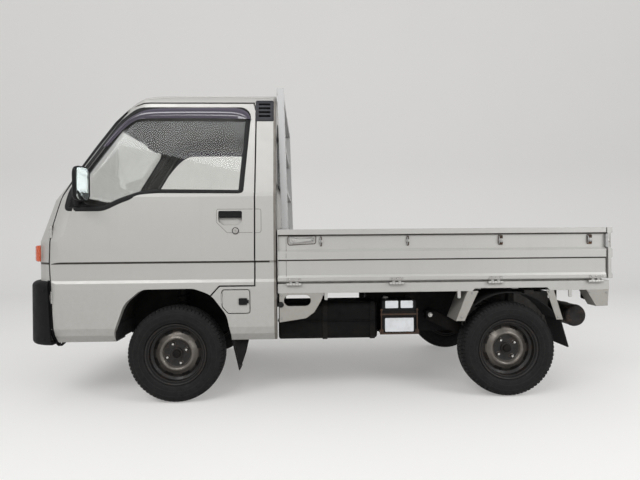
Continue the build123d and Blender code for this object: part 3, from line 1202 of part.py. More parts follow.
def mud_guards():
    """Front mud flaps and the arched rear wheel guards with their flaps."""
    low = WHEEL_HOUSE_BOTTOM - SEAT_CLEARANCE
    end = ARCH_OUTLINE[-1][0] + WHEEL_HOUSE_OUT
    flap = side_prism([(end - 20, low), (end, low), (end - 18, 352), (350, 163), (344, 158), (299, 352)], 490, 598)
    radius = EDGE_BOTTOM - TYRE_RADIUS - 8
    ring = cylinder_y(REAR_AXLE_X, 500, EDGE_HALF_WIDTH - 5, TYRE_RADIUS, radius)
    ring = ring - cylinder_y(REAR_AXLE_X, 499, EDGE_HALF_WIDTH, TYRE_RADIUS, radius - 5)
    ring = ring & box(REAR_AXLE_X - 400, REAR_AXLE_X + 400, 0, 700, 440, 700)
    back = side_prism([(2172, 445), (2177, 445), (2222, 285), (2216, 281)], 500, EDGE_HALF_WIDTH - 5)
    x0, x1, z0 = SIDE_GUARD
    inner = RAIL_HALF_SPACING + RAIL_WIDTH / 2 + SEAT_CLEARANCE
    outer = inner + RAIL_WIDTH
    top = RAIL_TOP - 10
    guard = box(axle_x(x0), axle_x(x1), outer - SIDE_GUARD_SKIN, outer, z0, top)
    guard = guard + box(axle_x(SIDE_GUARD_FRONT), axle_x(x0), outer - SIDE_GUARD_SKIN, outer, z0, RAIL_TOP - 60)
    guard = guard + box(axle_x(x0), axle_x(x1), inner, outer, top - SIDE_GUARD_SKIN, top)
    guard = guard + box(axle_x(x0), axle_x(x0) + SIDE_GUARD_SKIN, inner, outer, z0 + 120, top)
    guard = guard - cylinder_y(axle_x(WHEELBASE - ARM_PIVOT[0]), inner, outer + 1, ARM_PIVOT[1],
                               ARM_PIVOT_RADIUS + 1)
    return both_sides(group([flap, ring + back, guard]))


REAR_LAMP = (440.0, 640.0, 528.0, 598.0)


def rear_lamps():
    """Tail lamps under the rear corners of the bed, each on its bracket."""
    y0, y1, z0, z1 = REAR_LAMP
    x1 = axle_x(2455)
    lamp = box(x1 - 24, x1, y0, y1 - 40, z0, z1)
    lamp = fillet(lamp.faces().sort_by(Axis.X)[-1].edges(), 5)
    stay = box(x1 - 30, x1 - 24, y0, y1 - 40, z0, EDGE_BOTTOM)
    return both_sides(lamp + stay)


# Wheels
HUB_RADIUS = 34.0
NOTCHES = 8
TREAD_GROOVES = (-24.0, 0.0, 24.0)
LUG_CIRCLE = 57.0
LUGS = 4


def tyre():
    """Tyre section turned about the wheel's axis, with three round grooves."""
    half = TYRE_WIDTH / 2
    rim_half = RIM_WIDTH / 2 - 8
    top = TYRE_RADIUS
    right = [
        Line((0, BEAD_RADIUS), (rim_half, BEAD_RADIUS)),
        Line((rim_half, BEAD_RADIUS), (rim_half, RIM_RADIUS + 0.5)),
        Line((rim_half, RIM_RADIUS + 0.5), (half - 4, RIM_RADIUS + 22)),
        Line((half - 4, RIM_RADIUS + 22), (half, (RIM_RADIUS + top) / 2 + 6)),
        Line((half, (RIM_RADIUS + top) / 2 + 6), (half - 5, top - 24)),
        Line((half - 5, top - 24), (half - 15, top - 9)),
        Line((half - 15, top - 9), (half - 27, top - 3)),
    ]
    left = [mirror(edge, about=Plane.YZ) for edge in right]
    crown = [Line((half - 27, top - 3), (14, top)), Line((14, top), (-14, top)),
             Line((-14, top), (27 - half, top - 3))]
    face = make_face(Curve(children=right + left + crown))
    solid = revolve(face, axis=Axis.X)
    for across in TREAD_GROOVES:
        groove = Pos(across, 0, 0) * Rot(0, 90, 0) * (Cylinder(top + 5, 5) - Cylinder(top - 7, 5))
        solid = solid - groove
    return solid


def rim():
    """Steel wheel: rolled rim, dished disc with notches, four lugs and a hub."""
    half = RIM_WIDTH / 2
    profile = [(half, RIM_RADIUS), (half - 6, RIM_RADIUS), (half - 8, BEAD_RADIUS), (half - 34, BEAD_RADIUS - 1),
               (half - 44, BEAD_RADIUS - 18), (-half + 40, BEAD_RADIUS - 18), (-half + 30, BEAD_RADIUS - 1),
               (-half + 8, BEAD_RADIUS), (-half + 6, RIM_RADIUS), (-half, RIM_RADIUS), (-half, RIM_RADIUS - 4),
               (-half + 4, BEAD_RADIUS - 5), (-half + 32, BEAD_RADIUS - 5), (-half + 42, BEAD_RADIUS - 22),
               (half - 46, BEAD_RADIUS - 22), (half - 36, BEAD_RADIUS - 5), (half - 4, BEAD_RADIUS - 5),
               (half, RIM_RADIUS - 4)]
    barrel = revolve(make_face(Polyline(profile, close=True)), axis=Axis.X)
    disc = [(6, BEAD_RADIUS - 20), (12, BEAD_RADIUS - 20), (20, 112), (34, 100), (34, 84), (22, 74), (20, 30),
            (44, 30), (44, 0), (-20, 0), (-20, HUB_RADIUS), (13, HUB_RADIUS), (15, 74), (26, 86), (26, 98), (14, 106)]
    plate = revolve(make_face(Polyline(disc, close=True)), axis=Axis.X)
    for i in range(NOTCHES):
        slot = Rot(360 / NOTCHES * i, 0, 0) * (Pos(20, 0, 116) * Rot(0, 90, 0) * Cylinder(13, 40))
        plate = plate - slot
    for i in range(LUGS):
        lug = Rot(360 / LUGS * i + 45, 0, 0) * (Pos(26, 0, LUG_CIRCLE) * Rot(0, 90, 0) * Cylinder(9, 20))
        plate = plate + lug
    bore = Pos(0, 0, 0) * Rot(0, 90, 0) * Cylinder(SPINDLE_RADIUS + RUNNING_FIT, 120)
    wheel = barrel + (plate - (Pos(-30, 0, 0) * bore))
    return wheel


def wheel_at(shape, x, side):
    """A wheel piece whose axis is X and outer face +X, set on a hub."""
    turned = Pos(x, WHEEL_Y, TYRE_RADIUS) * Rot(0, 0, 90) * shape
    return on_side(turned, side)


def build():
    nodes = {
        "cab_shell": cab_shell(),
        "cab_glass": cab_glass(),
        "cab_vents": cab_vents(),
        "wheel_houses": wheel_houses(),
        "front_bumper": front_bumper(),
        "headlamps": headlamps(),
        "indicators": indicators(),
        "wipers": wipers(),
        "dashboard": dashboard(),
        "steering_wheel": steering_wheel(),
        "seats": seats(),
        "interior_mirror": interior_mirror(),
        "filler_lid": filler_lid(),
        "bed": bed(),
        "guard_frame": guard_frame(),
        "bed_brackets": bed_brackets(),
        "tailgate": tailgate(),
        "chassis_frame": chassis_frame(),
        "battery": battery(),
        "fuel_tank": fuel_tank(),
        "engine": engine(),
        "muffler": muffler(),
        "front_suspension": front_suspension(),
        "rear_suspension": rear_suspension(),
        "mud_guards": mud_guards(),
        "rear_lamps": rear_lamps(),
    }
    tyre_form = tyre()
    rim_form = rim()
    for name, side in (("left", -1), ("right", 1)):
        nodes["door_" + name] = door(side)
        nodes["door_glass_" + name] = door_glass(side)
        nodes["door_visor_" + name] = door_visor(side)
        nodes["door_handle_" + name] = door_handle(side)
        nodes["door_mirror_" + name] = door_mirror(side)
        nodes["gate_" + name] = side_gate(side)
        nodes["knuckle_" + name] = knuckle(side)
        for end, x in (("front", FRONT_AXLE_X), ("rear", REAR_AXLE_X)):
            nodes["tyre_" + end + "_" + name] = wheel_at(tyre_form, x, side)
            nodes["rim_" + end + "_" + name] = wheel_at(rim_form, x, side)
    return nodes


for node, shape in build().items():
    export_step(shape, "parts/" + node + ".step")
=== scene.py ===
import math

import bmesh
import bpy
from mathutils import Matrix, Vector
from mathutils.bvhtree import BVHTree


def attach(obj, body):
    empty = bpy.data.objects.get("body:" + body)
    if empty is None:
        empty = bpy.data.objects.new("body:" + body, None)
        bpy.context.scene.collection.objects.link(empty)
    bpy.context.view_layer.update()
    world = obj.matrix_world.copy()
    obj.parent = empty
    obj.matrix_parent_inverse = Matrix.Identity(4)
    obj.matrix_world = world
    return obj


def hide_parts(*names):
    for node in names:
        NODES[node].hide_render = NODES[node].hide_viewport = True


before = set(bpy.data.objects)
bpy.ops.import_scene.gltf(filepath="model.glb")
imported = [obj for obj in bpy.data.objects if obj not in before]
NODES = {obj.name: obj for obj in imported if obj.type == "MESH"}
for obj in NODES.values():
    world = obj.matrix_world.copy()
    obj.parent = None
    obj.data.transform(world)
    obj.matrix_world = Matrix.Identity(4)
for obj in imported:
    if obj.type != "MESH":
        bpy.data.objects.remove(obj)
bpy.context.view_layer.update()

# Place of the front axle along the truck, in metres. The three measures after it are in millimetres
FRONT_AXLE = -0.8255
WHEELBASE = 1885.0
TYRE_RADIUS = 270.0
WHEEL_MIDDLE = 602.5


def behind(distance_mm):
    """Place along the truck from a distance behind the front axle in millimetres."""
    return FRONT_AXLE + distance_mm / 1000.0


# Materials


class Shader:
    """A material's node tree with short calls to add and join its nodes."""

    def __init__(self, name):
        self.material = bpy.data.materials.new(name)
        self.material.use_nodes = True
        self.tree = self.material.node_tree
        self.bsdf = self.tree.nodes["Principled BSDF"]
        places = self.tree.nodes.new("ShaderNodeTexCoord")
        self.coords = places.outputs["Object"]
        self.facing = places.outputs["Normal"]

    def node(self, kind, **settings):
        made = self.tree.nodes.new(kind)
        for key, value in settings.items():
            setattr(made, key, value)
        return made

    def link(self, source, target):
        self.tree.links.new(source, target)

    def put(self, socket, value):
        self.bsdf.inputs[socket].default_value = value

    def noise(self, scale, detail=4.0, roughness=0.55, stretch=None, distortion=0.0):
        texture = self.node("ShaderNodeTexNoise")
        settings = {"Scale": scale, "Detail": detail, "Roughness": roughness, "Distortion": distortion}
        for socket, value in settings.items():
            texture.inputs[socket].default_value = value
        vector = self.coords
        if stretch:
            mapping = self.node("ShaderNodeMapping")
            mapping.inputs["Scale"].default_value = stretch
            self.link(self.coords, mapping.inputs["Vector"])
            vector = mapping.outputs["Vector"]
        self.link(vector, texture.inputs["Vector"])
        return texture.outputs["Fac"]

    def cells(self, scale, output):
        """Value of a pattern of small cells."""
        texture = self.node("ShaderNodeTexVoronoi")
        texture.inputs["Scale"].default_value = scale
        self.link(self.coords, texture.inputs["Vector"])
        return texture.outputs[output]

    def wave(self, scale, direction):
        texture = self.node("ShaderNodeTexWave", bands_direction=direction)
        texture.inputs["Scale"].default_value = scale
        self.link(self.coords, texture.inputs["Vector"])
        return texture.outputs["Fac"]

    def grey(self, source, low, high, v0=0.0, v1=1.0):
        """Map a span of a value onto another span, held at both ends."""
        span = self.node("ShaderNodeMapRange", clamp=True)
        for socket, value in zip(("From Min", "From Max", "To Min", "To Max"), (low, high, v0, v1)):
            span.inputs[socket].default_value = value
        self.link(source, span.inputs["Value"])
        return span.outputs["Result"]

    def math(self, operation, a, b=None, clamp=False):
        made = self.node("ShaderNodeMath", operation=operation, use_clamp=clamp)
        for socket, value in zip(made.inputs, (a, b)):
            if value is None:
                continue
            if isinstance(value, (int, float)):
                socket.default_value = value
            else:
                self.link(value, socket)
        return made.outputs["Value"]

    def mix(self, factor, a, b, blend="MIX"):
        made = self.node("ShaderNodeMix", data_type="RGBA", blend_type=blend)
        for socket, value in ((made.inputs["Factor"], factor), (made.inputs[6], a), (made.inputs[7], b)):
            if isinstance(value, (int, float)):
                socket.default_value = value
            elif isinstance(value, tuple):
                socket.default_value = value if len(value) == 4 else (*value, 1.0)
            else:
                self.link(value, socket)
        return made.outputs[2]

    def axis(self, name, source=None):
        """One number of a place, or of another vector."""
        split = self.node("ShaderNodeSeparateXYZ")
        self.link(source or self.coords, split.inputs["Vector"])
        return split.outputs[name]

    def spots(self, base, colour, noise, low, high, amount=1.0):
        """Lay a colour over another one in cloudy spots."""
        return self.mix(self.grey(self.noise(*noise), low, high, 0.0, amount), base, colour)

    def cloudy(self, v0, v1, *noise):
        """Value that drifts between two others."""
        return self.grey(self.noise(*noise), 0.3, 0.7, v0, v1)

    def looks_at(self, place):
        """Mask of the faces whose front is turned towards a place."""
        way = self.node("ShaderNodeVectorMath", operation="SUBTRACT")
        self.link(self.coords, way.inputs[0])
        way.inputs[1].default_value = place
        dot = self.node("ShaderNodeVectorMath", operation="DOT_PRODUCT")
        self.link(way.outputs["Vector"], dot.inputs[0])
        self.link(self.facing, dot.inputs[1])
        return self.math("LESS_THAN", dot.outputs["Value"], 0.0)

    def edge(self, radius=0.004):
        """Mask of the sharp outer edges, from how far a rounded normal leaves the real one."""
        bevel = self.node("ShaderNodeBevel", samples=4)
        bevel.inputs["Radius"].default_value = radius
        geometry = self.node("ShaderNodeNewGeometry")
        dot = self.node("ShaderNodeVectorMath", operation="DOT_PRODUCT")
        self.link(bevel.outputs["Normal"], dot.inputs[0])
        self.link(geometry.outputs["Normal"], dot.inputs[1])
        return self.grey(dot.outputs["Value"], 0.985, 0.8, 0.0, 1.0)

    def hollow(self, distance=0.03):
        """Mask of corners and gaps from ambient occlusion, where shade falls and surfaces get dirty. Colour
        laid on it is partly painted shade.
        """
        shade = self.node("ShaderNodeAmbientOcclusion", samples=6)
        shade.inputs["Distance"].default_value = distance
        return self.math("SUBTRACT", 1.0, shade.outputs["AO"])

    def bump(self, height, strength=0.2, distance=0.001, rounded=0.0):
        made = self.node("ShaderNodeBump")
        made.inputs["Strength"].default_value = strength
        made.inputs["Distance"].default_value = distance
        self.link(height, made.inputs["Height"])
        if rounded:
            bevel = self.node("ShaderNodeBevel", samples=4)
            bevel.inputs["Radius"].default_value = rounded
            self.link(bevel.outputs["Normal"], made.inputs["Normal"])
        self.link(made.outputs["Normal"], self.bsdf.inputs["Normal"])

    def finish(self, colour=None, roughness=None):
        if colour is not None:
            self.link(colour, self.bsdf.inputs["Base Color"])
        if roughness is not None:
            self.link(roughness, self.bsdf.inputs["Roughness"])
        return self.material


# Painted shade along crease lines: lowest and highest place in metres, and how far back it runs
CAB_CREASE_SHADOWS = ((0.7815, 0.7925, behind(530)),)
GATE_CREASE_SHADOWS = ((0.7855, 0.7975, 9.0), (0.9235, 0.9335, 9.0))
# Ahead of this place, on the cab's nose, the painted crease shade covers faces whichever way they look
CREASE_SHADOW_FRONT = behind(-675)
# The lining: the place it looks at, its half width, and where the cab's rear edge lies, dirty and painted
# brown as shadow
CAB_MIDDLE = (behind(-60), 0.0, 1.12)
INSIDE_HALF = 0.652
CAB_BACK_EDGE = behind(553)
BACK_EDGE_HALF = 0.60
# Heights in metres between which the lining turns dark, and between which dust sets in
DARK_LINING = (1.17, 1.13)
DUST_HEIGHTS = (0.72, 0.34)
# Scales of the fine patterns
FLAKE_SCALE = 2600.0
GRAIN_SCALE = 900.0
WEAVE_SCALE = 900.0


def inside_trim(s, base):
    """Grey lining on the faces that look into the cab, darker low down, and a brown rear edge that is dirty
    and painted with shadow.
    """
    width = s.math("LESS_THAN", s.math("ABSOLUTE", s.axis("Y")), INSIDE_HALF)
    mask = s.math("MULTIPLY", s.looks_at(CAB_MIDDLE), width)
    mask = s.math("MULTIPLY", mask, s.math("LESS_THAN", s.axis("X"), CAB_BACK_EDGE))
    lining = s.spots((0.040, 0.0385, 0.036, 1.0), (0.055, 0.053, 0.05), (220.0, 3.0), 0.3, 0.7)
    low = s.spots((0.014, 0.0135, 0.0135, 1.0), (0.026, 0.024, 0.022), (40.0, 5.0), 0.4, 0.7)
    inner = s.mix(s.grey(s.axis("Z"), *DARK_LINING), lining, low)
    base = s.mix(mask, base, inner)
    # Painted shadow: the cab's dirty rear edge turns brown
    back = s.grey(s.axis("X"), CAB_BACK_EDGE - 0.001, CAB_BACK_EDGE + 0.001, 0.0, 1.0)
    dirt_and_shadow = s.spots((0.10, 0.082, 0.064, 1.0), (0.19, 0.17, 0.145), (22.0, 6.0, 0.7), 0.35, 0.65)
    edge = s.grey(s.math("ABSOLUTE", s.axis("Y")), BACK_EDGE_HALF - 0.02, BACK_EDGE_HALF, 0.12, 0.85)
    return s.mix(s.math("MULTIPLY", back, edge), base, dirt_and_shadow)


def car_paint(name, colour, metallic=0.45, rough=(0.44, 0.56), rust=0.0, dust=0.5, crease_shadows=(), coat=0.12,
              cab=False):
    """Metallic paint: flakes, faint smears, dust low down, corners dirty and darkened with painted shade,
    painted shade along crease lines, and rust at chipped edges.
    """
    s = Shader(name)
    s.put("Metallic", metallic)
    s.put("Coat Weight", coat)
    s.put("Coat Roughness", 0.25)
    flake = s.cells(FLAKE_SCALE, "Color")
    flake_grey = s.grey(flake, 0.0, 1.0, 0.93, 1.06)
    base = s.mix(1.0, (*colour, 1.0), flake_grey, "MULTIPLY")
    smear = s.noise(3.2, 5.0, 0.6, stretch=(1.0, 1.0, 0.35))
    base = s.mix(s.grey(smear, 0.35, 0.75, 0.0, 0.16), base, tuple(c * 0.82 for c in colour))
    streak = s.noise(28.0, 3.0, 0.5, stretch=(1.0, 1.0, 0.06))
    base = s.mix(s.grey(streak, 0.55, 0.8, 0.0, 0.10), base, tuple(c * 0.75 for c in colour))
    low = s.grey(s.axis("Z"), *DUST_HEIGHTS)
    spots = s.grey(s.noise(45.0, 5.0, 0.65), 0.42, 0.68, 0.0, 1.0)
    dusty = s.math("MULTIPLY", s.math("MULTIPLY", low, spots), dust * 0.35)
    base = s.mix(dusty, base, (0.33, 0.29, 0.23))
    # Painted shade: corners and gaps turn dark brown where occlusion is high, which also makes them look
    # dirty
    grime_and_shade = s.math("MULTIPLY", s.grey(s.hollow(), 0.25, 0.8, 0.0, 1.0),
                   s.grey(s.noise(18.0), 0.3, 0.6, 0.35, 1.0))
    base = s.mix(s.math("MULTIPLY", grime_and_shade, 0.75), base, (0.055, 0.045, 0.036))
    # Painted shade: along each crease line the faces that look down are darkened, as their shadow
    for low_z, high_z, end_x in crease_shadows:
        inside = s.math("MULTIPLY", s.math("GREATER_THAN", s.axis("Z"), low_z),
                        s.math("LESS_THAN", s.axis("Z"), high_z))
        inside = s.math("MULTIPLY", inside, s.math("LESS_THAN", s.axis("X"), end_x))
        faces_down = s.grey(s.axis("Z", s.facing), -0.2, -0.5, 0.0, 1.0)
        if cab:
            faces_down = s.math("MAXIMUM", faces_down, s.math("LESS_THAN", s.axis("X"), CREASE_SHADOW_FRONT))
        base = s.mix(s.math("MULTIPLY", inside, faces_down), base, (0.05, 0.044, 0.038))
    if rust:
        chips = s.grey(s.noise(60.0, 6.0, 0.7), 0.5, 0.6, 0.0, 1.0)
        worn = s.math("MULTIPLY", s.math("MULTIPLY", s.edge(0.006), chips), rust, clamp=True)
        base = s.mix(worn, base, (0.16, 0.07, 0.03))
        stains = s.grey(s.noise(9.0, 6.0, 0.7, stretch=(1.0, 1.0, 0.25)), 0.6, 0.75, 0.0, rust * 0.5)
        base = s.mix(s.math("MULTIPLY", stains, s.grey(s.hollow(0.05), 0.1, 0.5)), base, (0.22, 0.12, 0.06))
    if cab:
        base = inside_trim(s, base)
    rough_value = s.cloudy(rough[0], rough[1], 14.0, 4.0)
    s.bump(s.noise(7.0, 2.0), 0.04, 0.002, rounded=0.0025)
    return s.finish(base, rough_value)


def plastic(name, colour, rough=0.55, fade=0.3, dust=0.3, shine=0.35):
    """Moulded plastic with a fine grain, sun-bleached patches, some dust and painted shade in its corners.
    """
    s = Shader(name)
    s.put("Specular IOR Level", shine)
    fade_mask = s.grey(s.noise(4.0, 4.0, 0.6), 0.4, 0.75, 0.0, fade)
    bleached = tuple(min(1.0, c * 1.7 + 0.008) for c in colour)
    base = s.mix(fade_mask, (*colour, 1.0), bleached)
    speck = s.grey(s.noise(70.0, 5.0, 0.7), 0.5, 0.72, 0.0, dust * 0.35)
    base = s.mix(speck, base, tuple(0.5 * c + 0.06 for c in colour))
    # Painted shade: a darker copy of the colour in corners and gaps, from occlusion
    base = s.mix(s.math("MULTIPLY", s.grey(s.hollow(0.02), 0.3, 0.9), 0.5), base,
                 tuple(c * 0.35 for c in colour))
    rough_value = s.cloudy(rough - 0.06, rough + 0.1, 22.0)
    s.bump(s.cells(GRAIN_SCALE, "Distance"), 0.25, 0.0004, rounded=0.0015)
    return s.finish(base, rough_value)


def rubber(name, colour, rough, dust=0.5):
    """Plain rubber, dusty in spots."""
    s = Shader(name)
    s.put("Specular IOR Level", 0.3)
    base = s.spots((*colour, 1.0), tuple(c * 1.5 + 0.02 for c in colour), (30.0, 5.0, 0.65), 0.42, 0.75,
                   dust * 0.5)
    rough_value = s.cloudy(rough - 0.1, rough + 0.08, 60.0)
    s.bump(s.noise(450.0, 3.0), 0.25, 0.0005)
    return s.finish(base, rough_value)


def tyre_rubber(name):
    """Tyre rubber: dark walls, brownish dust in the tread and on the shoulders."""
    s = Shader(name)
    s.put("Specular IOR Level", 0.22)
    dusty = s.grey(s.noise(16.0, 6.0, 0.7), 0.35, 0.7, 0.0, 0.5)
    base = s.mix(dusty, (0.0085, 0.0085, 0.0088, 1.0), (0.019, 0.018, 0.0175))
    fine = s.grey(s.noise(140.0, 4.0, 0.7), 0.5, 0.75, 0.0, 0.3)
    base = s.mix(fine, base, (0.034, 0.032, 0.03))
    worn = s.math("MULTIPLY", s.edge(0.0012), 0.5)
    base = s.mix(worn, base, (0.075, 0.072, 0.068))
    s.bump(s.noise(520.0, 3.0), 0.3, 0.0005)
    return s.finish(base, s.cloudy(0.62, 0.85, 40.0))


def steel(name, colour, metallic=0.9, rough=(0.35, 0.6), rust=0.0, grime_and_shade=0.5):
    """Bare or painted steel with stains, rust blooms, and corners dirty and darkened with painted shade."""
    s = Shader(name)
    s.put("Metallic", metallic)
    base = s.spots((*colour, 1.0), tuple(c * 0.62 for c in colour), (11.0, 6.0, 0.65), 0.35, 0.7, 0.45)
    if rust:
        bloom = s.grey(s.noise(24.0, 7.0, 0.75), 0.52, 0.64, 0.0, rust)
        base = s.mix(bloom, base, (0.13, 0.055, 0.022))
        worn = s.math("MULTIPLY", s.edge(0.004), rust)
        base = s.mix(worn, base, (0.085, 0.05, 0.032))
    # Painted shade in corners and gaps, from occlusion, which also makes them look dirty
    dirt_and_shade = s.math("MULTIPLY", s.grey(s.hollow(0.02), 0.2, 0.8), grime_and_shade)
    base = s.mix(dirt_and_shade, base, (0.03, 0.026, 0.022))
    s.bump(s.noise(160.0, 4.0), 0.15, 0.0005, rounded=0.001)
    return s.finish(base, s.cloudy(rough[0], rough[1], 35.0, 4.0))


def chassis_black(name, rust=0.2, base_colour=(0.0075, 0.0072, 0.0072), dust=(0.026, 0.022, 0.018)):
    """Satin black underbody paint with road dust and rust at its edges."""
    s = Shader(name)
    s.put("Specular IOR Level", 0.12)
    base = s.spots((*base_colour, 1.0), dust, (9.0, 6.0, 0.7), 0.4, 0.72, 0.6)
    rusty = s.math("MULTIPLY", s.edge(0.006), s.grey(s.noise(40.0, 6.0, 0.7), 0.45, 0.6, 0.0, rust),
                   clamp=True)
    base = s.mix(rusty, base, (0.07, 0.033, 0.017))
    s.bump(s.noise(120.0, 4.0), 0.3, 0.0008, rounded=0.0015)
    return s.finish(base, s.cloudy(0.5, 0.8, 25.0))


def window_glass(name):
    """Thin glass: clear from the front, brighter towards the rim, with faint dust."""
    s = Shader(name)
    s.tree.nodes.remove(s.bsdf)
    clear = s.node("ShaderNodeBsdfTransparent")
    clear.inputs["Color"].default_value = (0.972, 0.975, 0.966, 1.0)
    facing = s.node("ShaderNodeFresnel")
    facing.inputs["IOR"].default_value = 1.4
    gloss = s.node("ShaderNodeBsdfGlossy")
    gloss.inputs["Color"].default_value = (0.9, 0.93, 0.95, 1.0)
    gloss.inputs["Roughness"].default_value = 0.03
    body = s.node("ShaderNodeMixShader")
    s.link(s.math("MULTIPLY", facing.outputs["Fac"], 0.32), body.inputs["Fac"])
    s.link(clear.outputs["BSDF"], body.inputs[1])
    s.link(gloss.outputs["BSDF"], body.inputs[2])
    dust = s.node("ShaderNodeBsdfDiffuse")
    dust.inputs["Color"].default_value = (0.6, 0.58, 0.54, 1.0)
    film = s.node("ShaderNodeMixShader")
    s.link(s.grey(s.noise(5.0, 6.0, 0.7), 0.45, 0.8, 0.01, 0.04), film.inputs["Fac"])
    s.link(body.outputs["Shader"], film.inputs[1])
    s.link(dust.outputs["BSDF"], film.inputs[2])
    out = s.tree.nodes["Material Output"]
    s.link(film.outputs["Shader"], out.inputs["Surface"])
    return s.material


def tinted_sheet(name, colour, clear):
    """Smoked plastic sheet that lets part of the light through."""
    s = Shader(name)
    s.put("Coat Weight", 0.8)
    s.put("Coat Roughness", 0.08)
    shade = s.cloudy(0.94, 1.07, 3.0, 3.0)
    rough_value = s.cloudy(0.12, 0.2, 30.0, 4.0)
    s.finish(s.mix(1.0, (*colour, 1.0), shade, "MULTIPLY"), rough_value)
    through = s.node("ShaderNodeBsdfTransparent")
    through.inputs["Color"].default_value = tuple(0.35 + 0.5 * c for c in colour) + (1.0,)
    body = s.node("ShaderNodeMixShader")
    body.inputs["Fac"].default_value = clear
    out = s.tree.nodes["Material Output"]
    s.link(s.bsdf.outputs["BSDF"], body.inputs[1])
    s.link(through.outputs["BSDF"], body.inputs[2])
    s.link(body.outputs["Shader"], out.inputs["Surface"])
    return s.material


def lens(name, colour, ribs, transmission=0.35, coat=0.8):
    """Lamp lens with fine prisms moulded inside, and a faint painted glow."""
    s = Shader(name)
    s.put("Transmission Weight", transmission)
    s.put("IOR", 1.49)
    s.put("Coat Weight", coat)
    s.put("Coat Roughness", 0.05)
    # Painted light: the lens glows faintly in its own colour, though the lamp is not lit
    s.put("Emission Strength", 0.04)
    s.put("Emission Color", (*colour, 1.0))
    deep = tuple(c * 0.55 for c in colour)
    cells = s.grey(s.wave(ribs, "Z"), 0.0, 1.0, 0.0, 0.6)
    base = s.mix(cells, (*colour, 1.0), deep)
    base = s.spots(base, (0.3, 0.26, 0.2), (40.0, 5.0), 0.5, 0.75, 0.12)
    s.bump(s.wave(ribs, "Z"), 0.4, 0.0015, rounded=0.002)
    return s.finish(base, s.cloudy(0.12, 0.22, 50.0))


def cloth(name, colour):
    """Woven seat cloth: crossed threads, fuzz and slight wear."""
    s = Shader(name)
    s.put("Sheen Weight", 0.35)
    s.put("Sheen Roughness", 0.5)
    across = s.wave(WEAVE_SCALE, "X")
    along = s.wave(WEAVE_SCALE, "Y")
    threads = s.math("MULTIPLY", across, along)
    base = s.mix(s.grey(threads, 0.0, 0.8), tuple(c * 0.6 for c in colour) + (1.0,), colour)
    base = s.spots(base, tuple(c * 1.35 for c in colour), (7.0, 5.0), 0.4, 0.75, 0.25)
    s.bump(threads, 0.5, 0.0006)
    return s.finish(base, s.cloudy(0.8, 0.95, 90.0))


def bed_paint(name):
    """Bed floor paint: scratched, scuffed down to primer, and between the ribs dirty and darkened with
    painted shade.
    """
    s = Shader(name)
    s.put("Metallic", 0.35)
    base_colour = (0.42, 0.415, 0.40)
    scratch = s.noise(70.0, 6.0, 0.8, stretch=(0.04, 1.0, 1.0), distortion=0.6)
    base = s.mix(s.grey(scratch, 0.56, 0.66, 0.0, 0.5), (*base_colour, 1.0), (0.6, 0.6, 0.58))
    scuff = s.noise(5.0, 7.0, 0.75)
    base = s.mix(s.grey(scuff, 0.52, 0.7, 0.0, 0.55), base, (0.19, 0.16, 0.13))
    rust_spots = s.grey(s.noise(26.0, 7.0, 0.8), 0.62, 0.7, 0.0, 0.6)
    base = s.mix(rust_spots, base, (0.16, 0.07, 0.03))
    # Painted shade in corners and between the ribs, from occlusion, which also makes them look dirty
    base = s.mix(s.math("MULTIPLY", s.grey(s.hollow(0.03), 0.2, 0.8), 0.7), base, (0.06, 0.05, 0.04))
    s.bump(s.noise(50.0, 5.0), 0.2, 0.001, rounded=0.002)
    return s.finish(base, s.cloudy(0.42, 0.7, 12.0, 5.0))


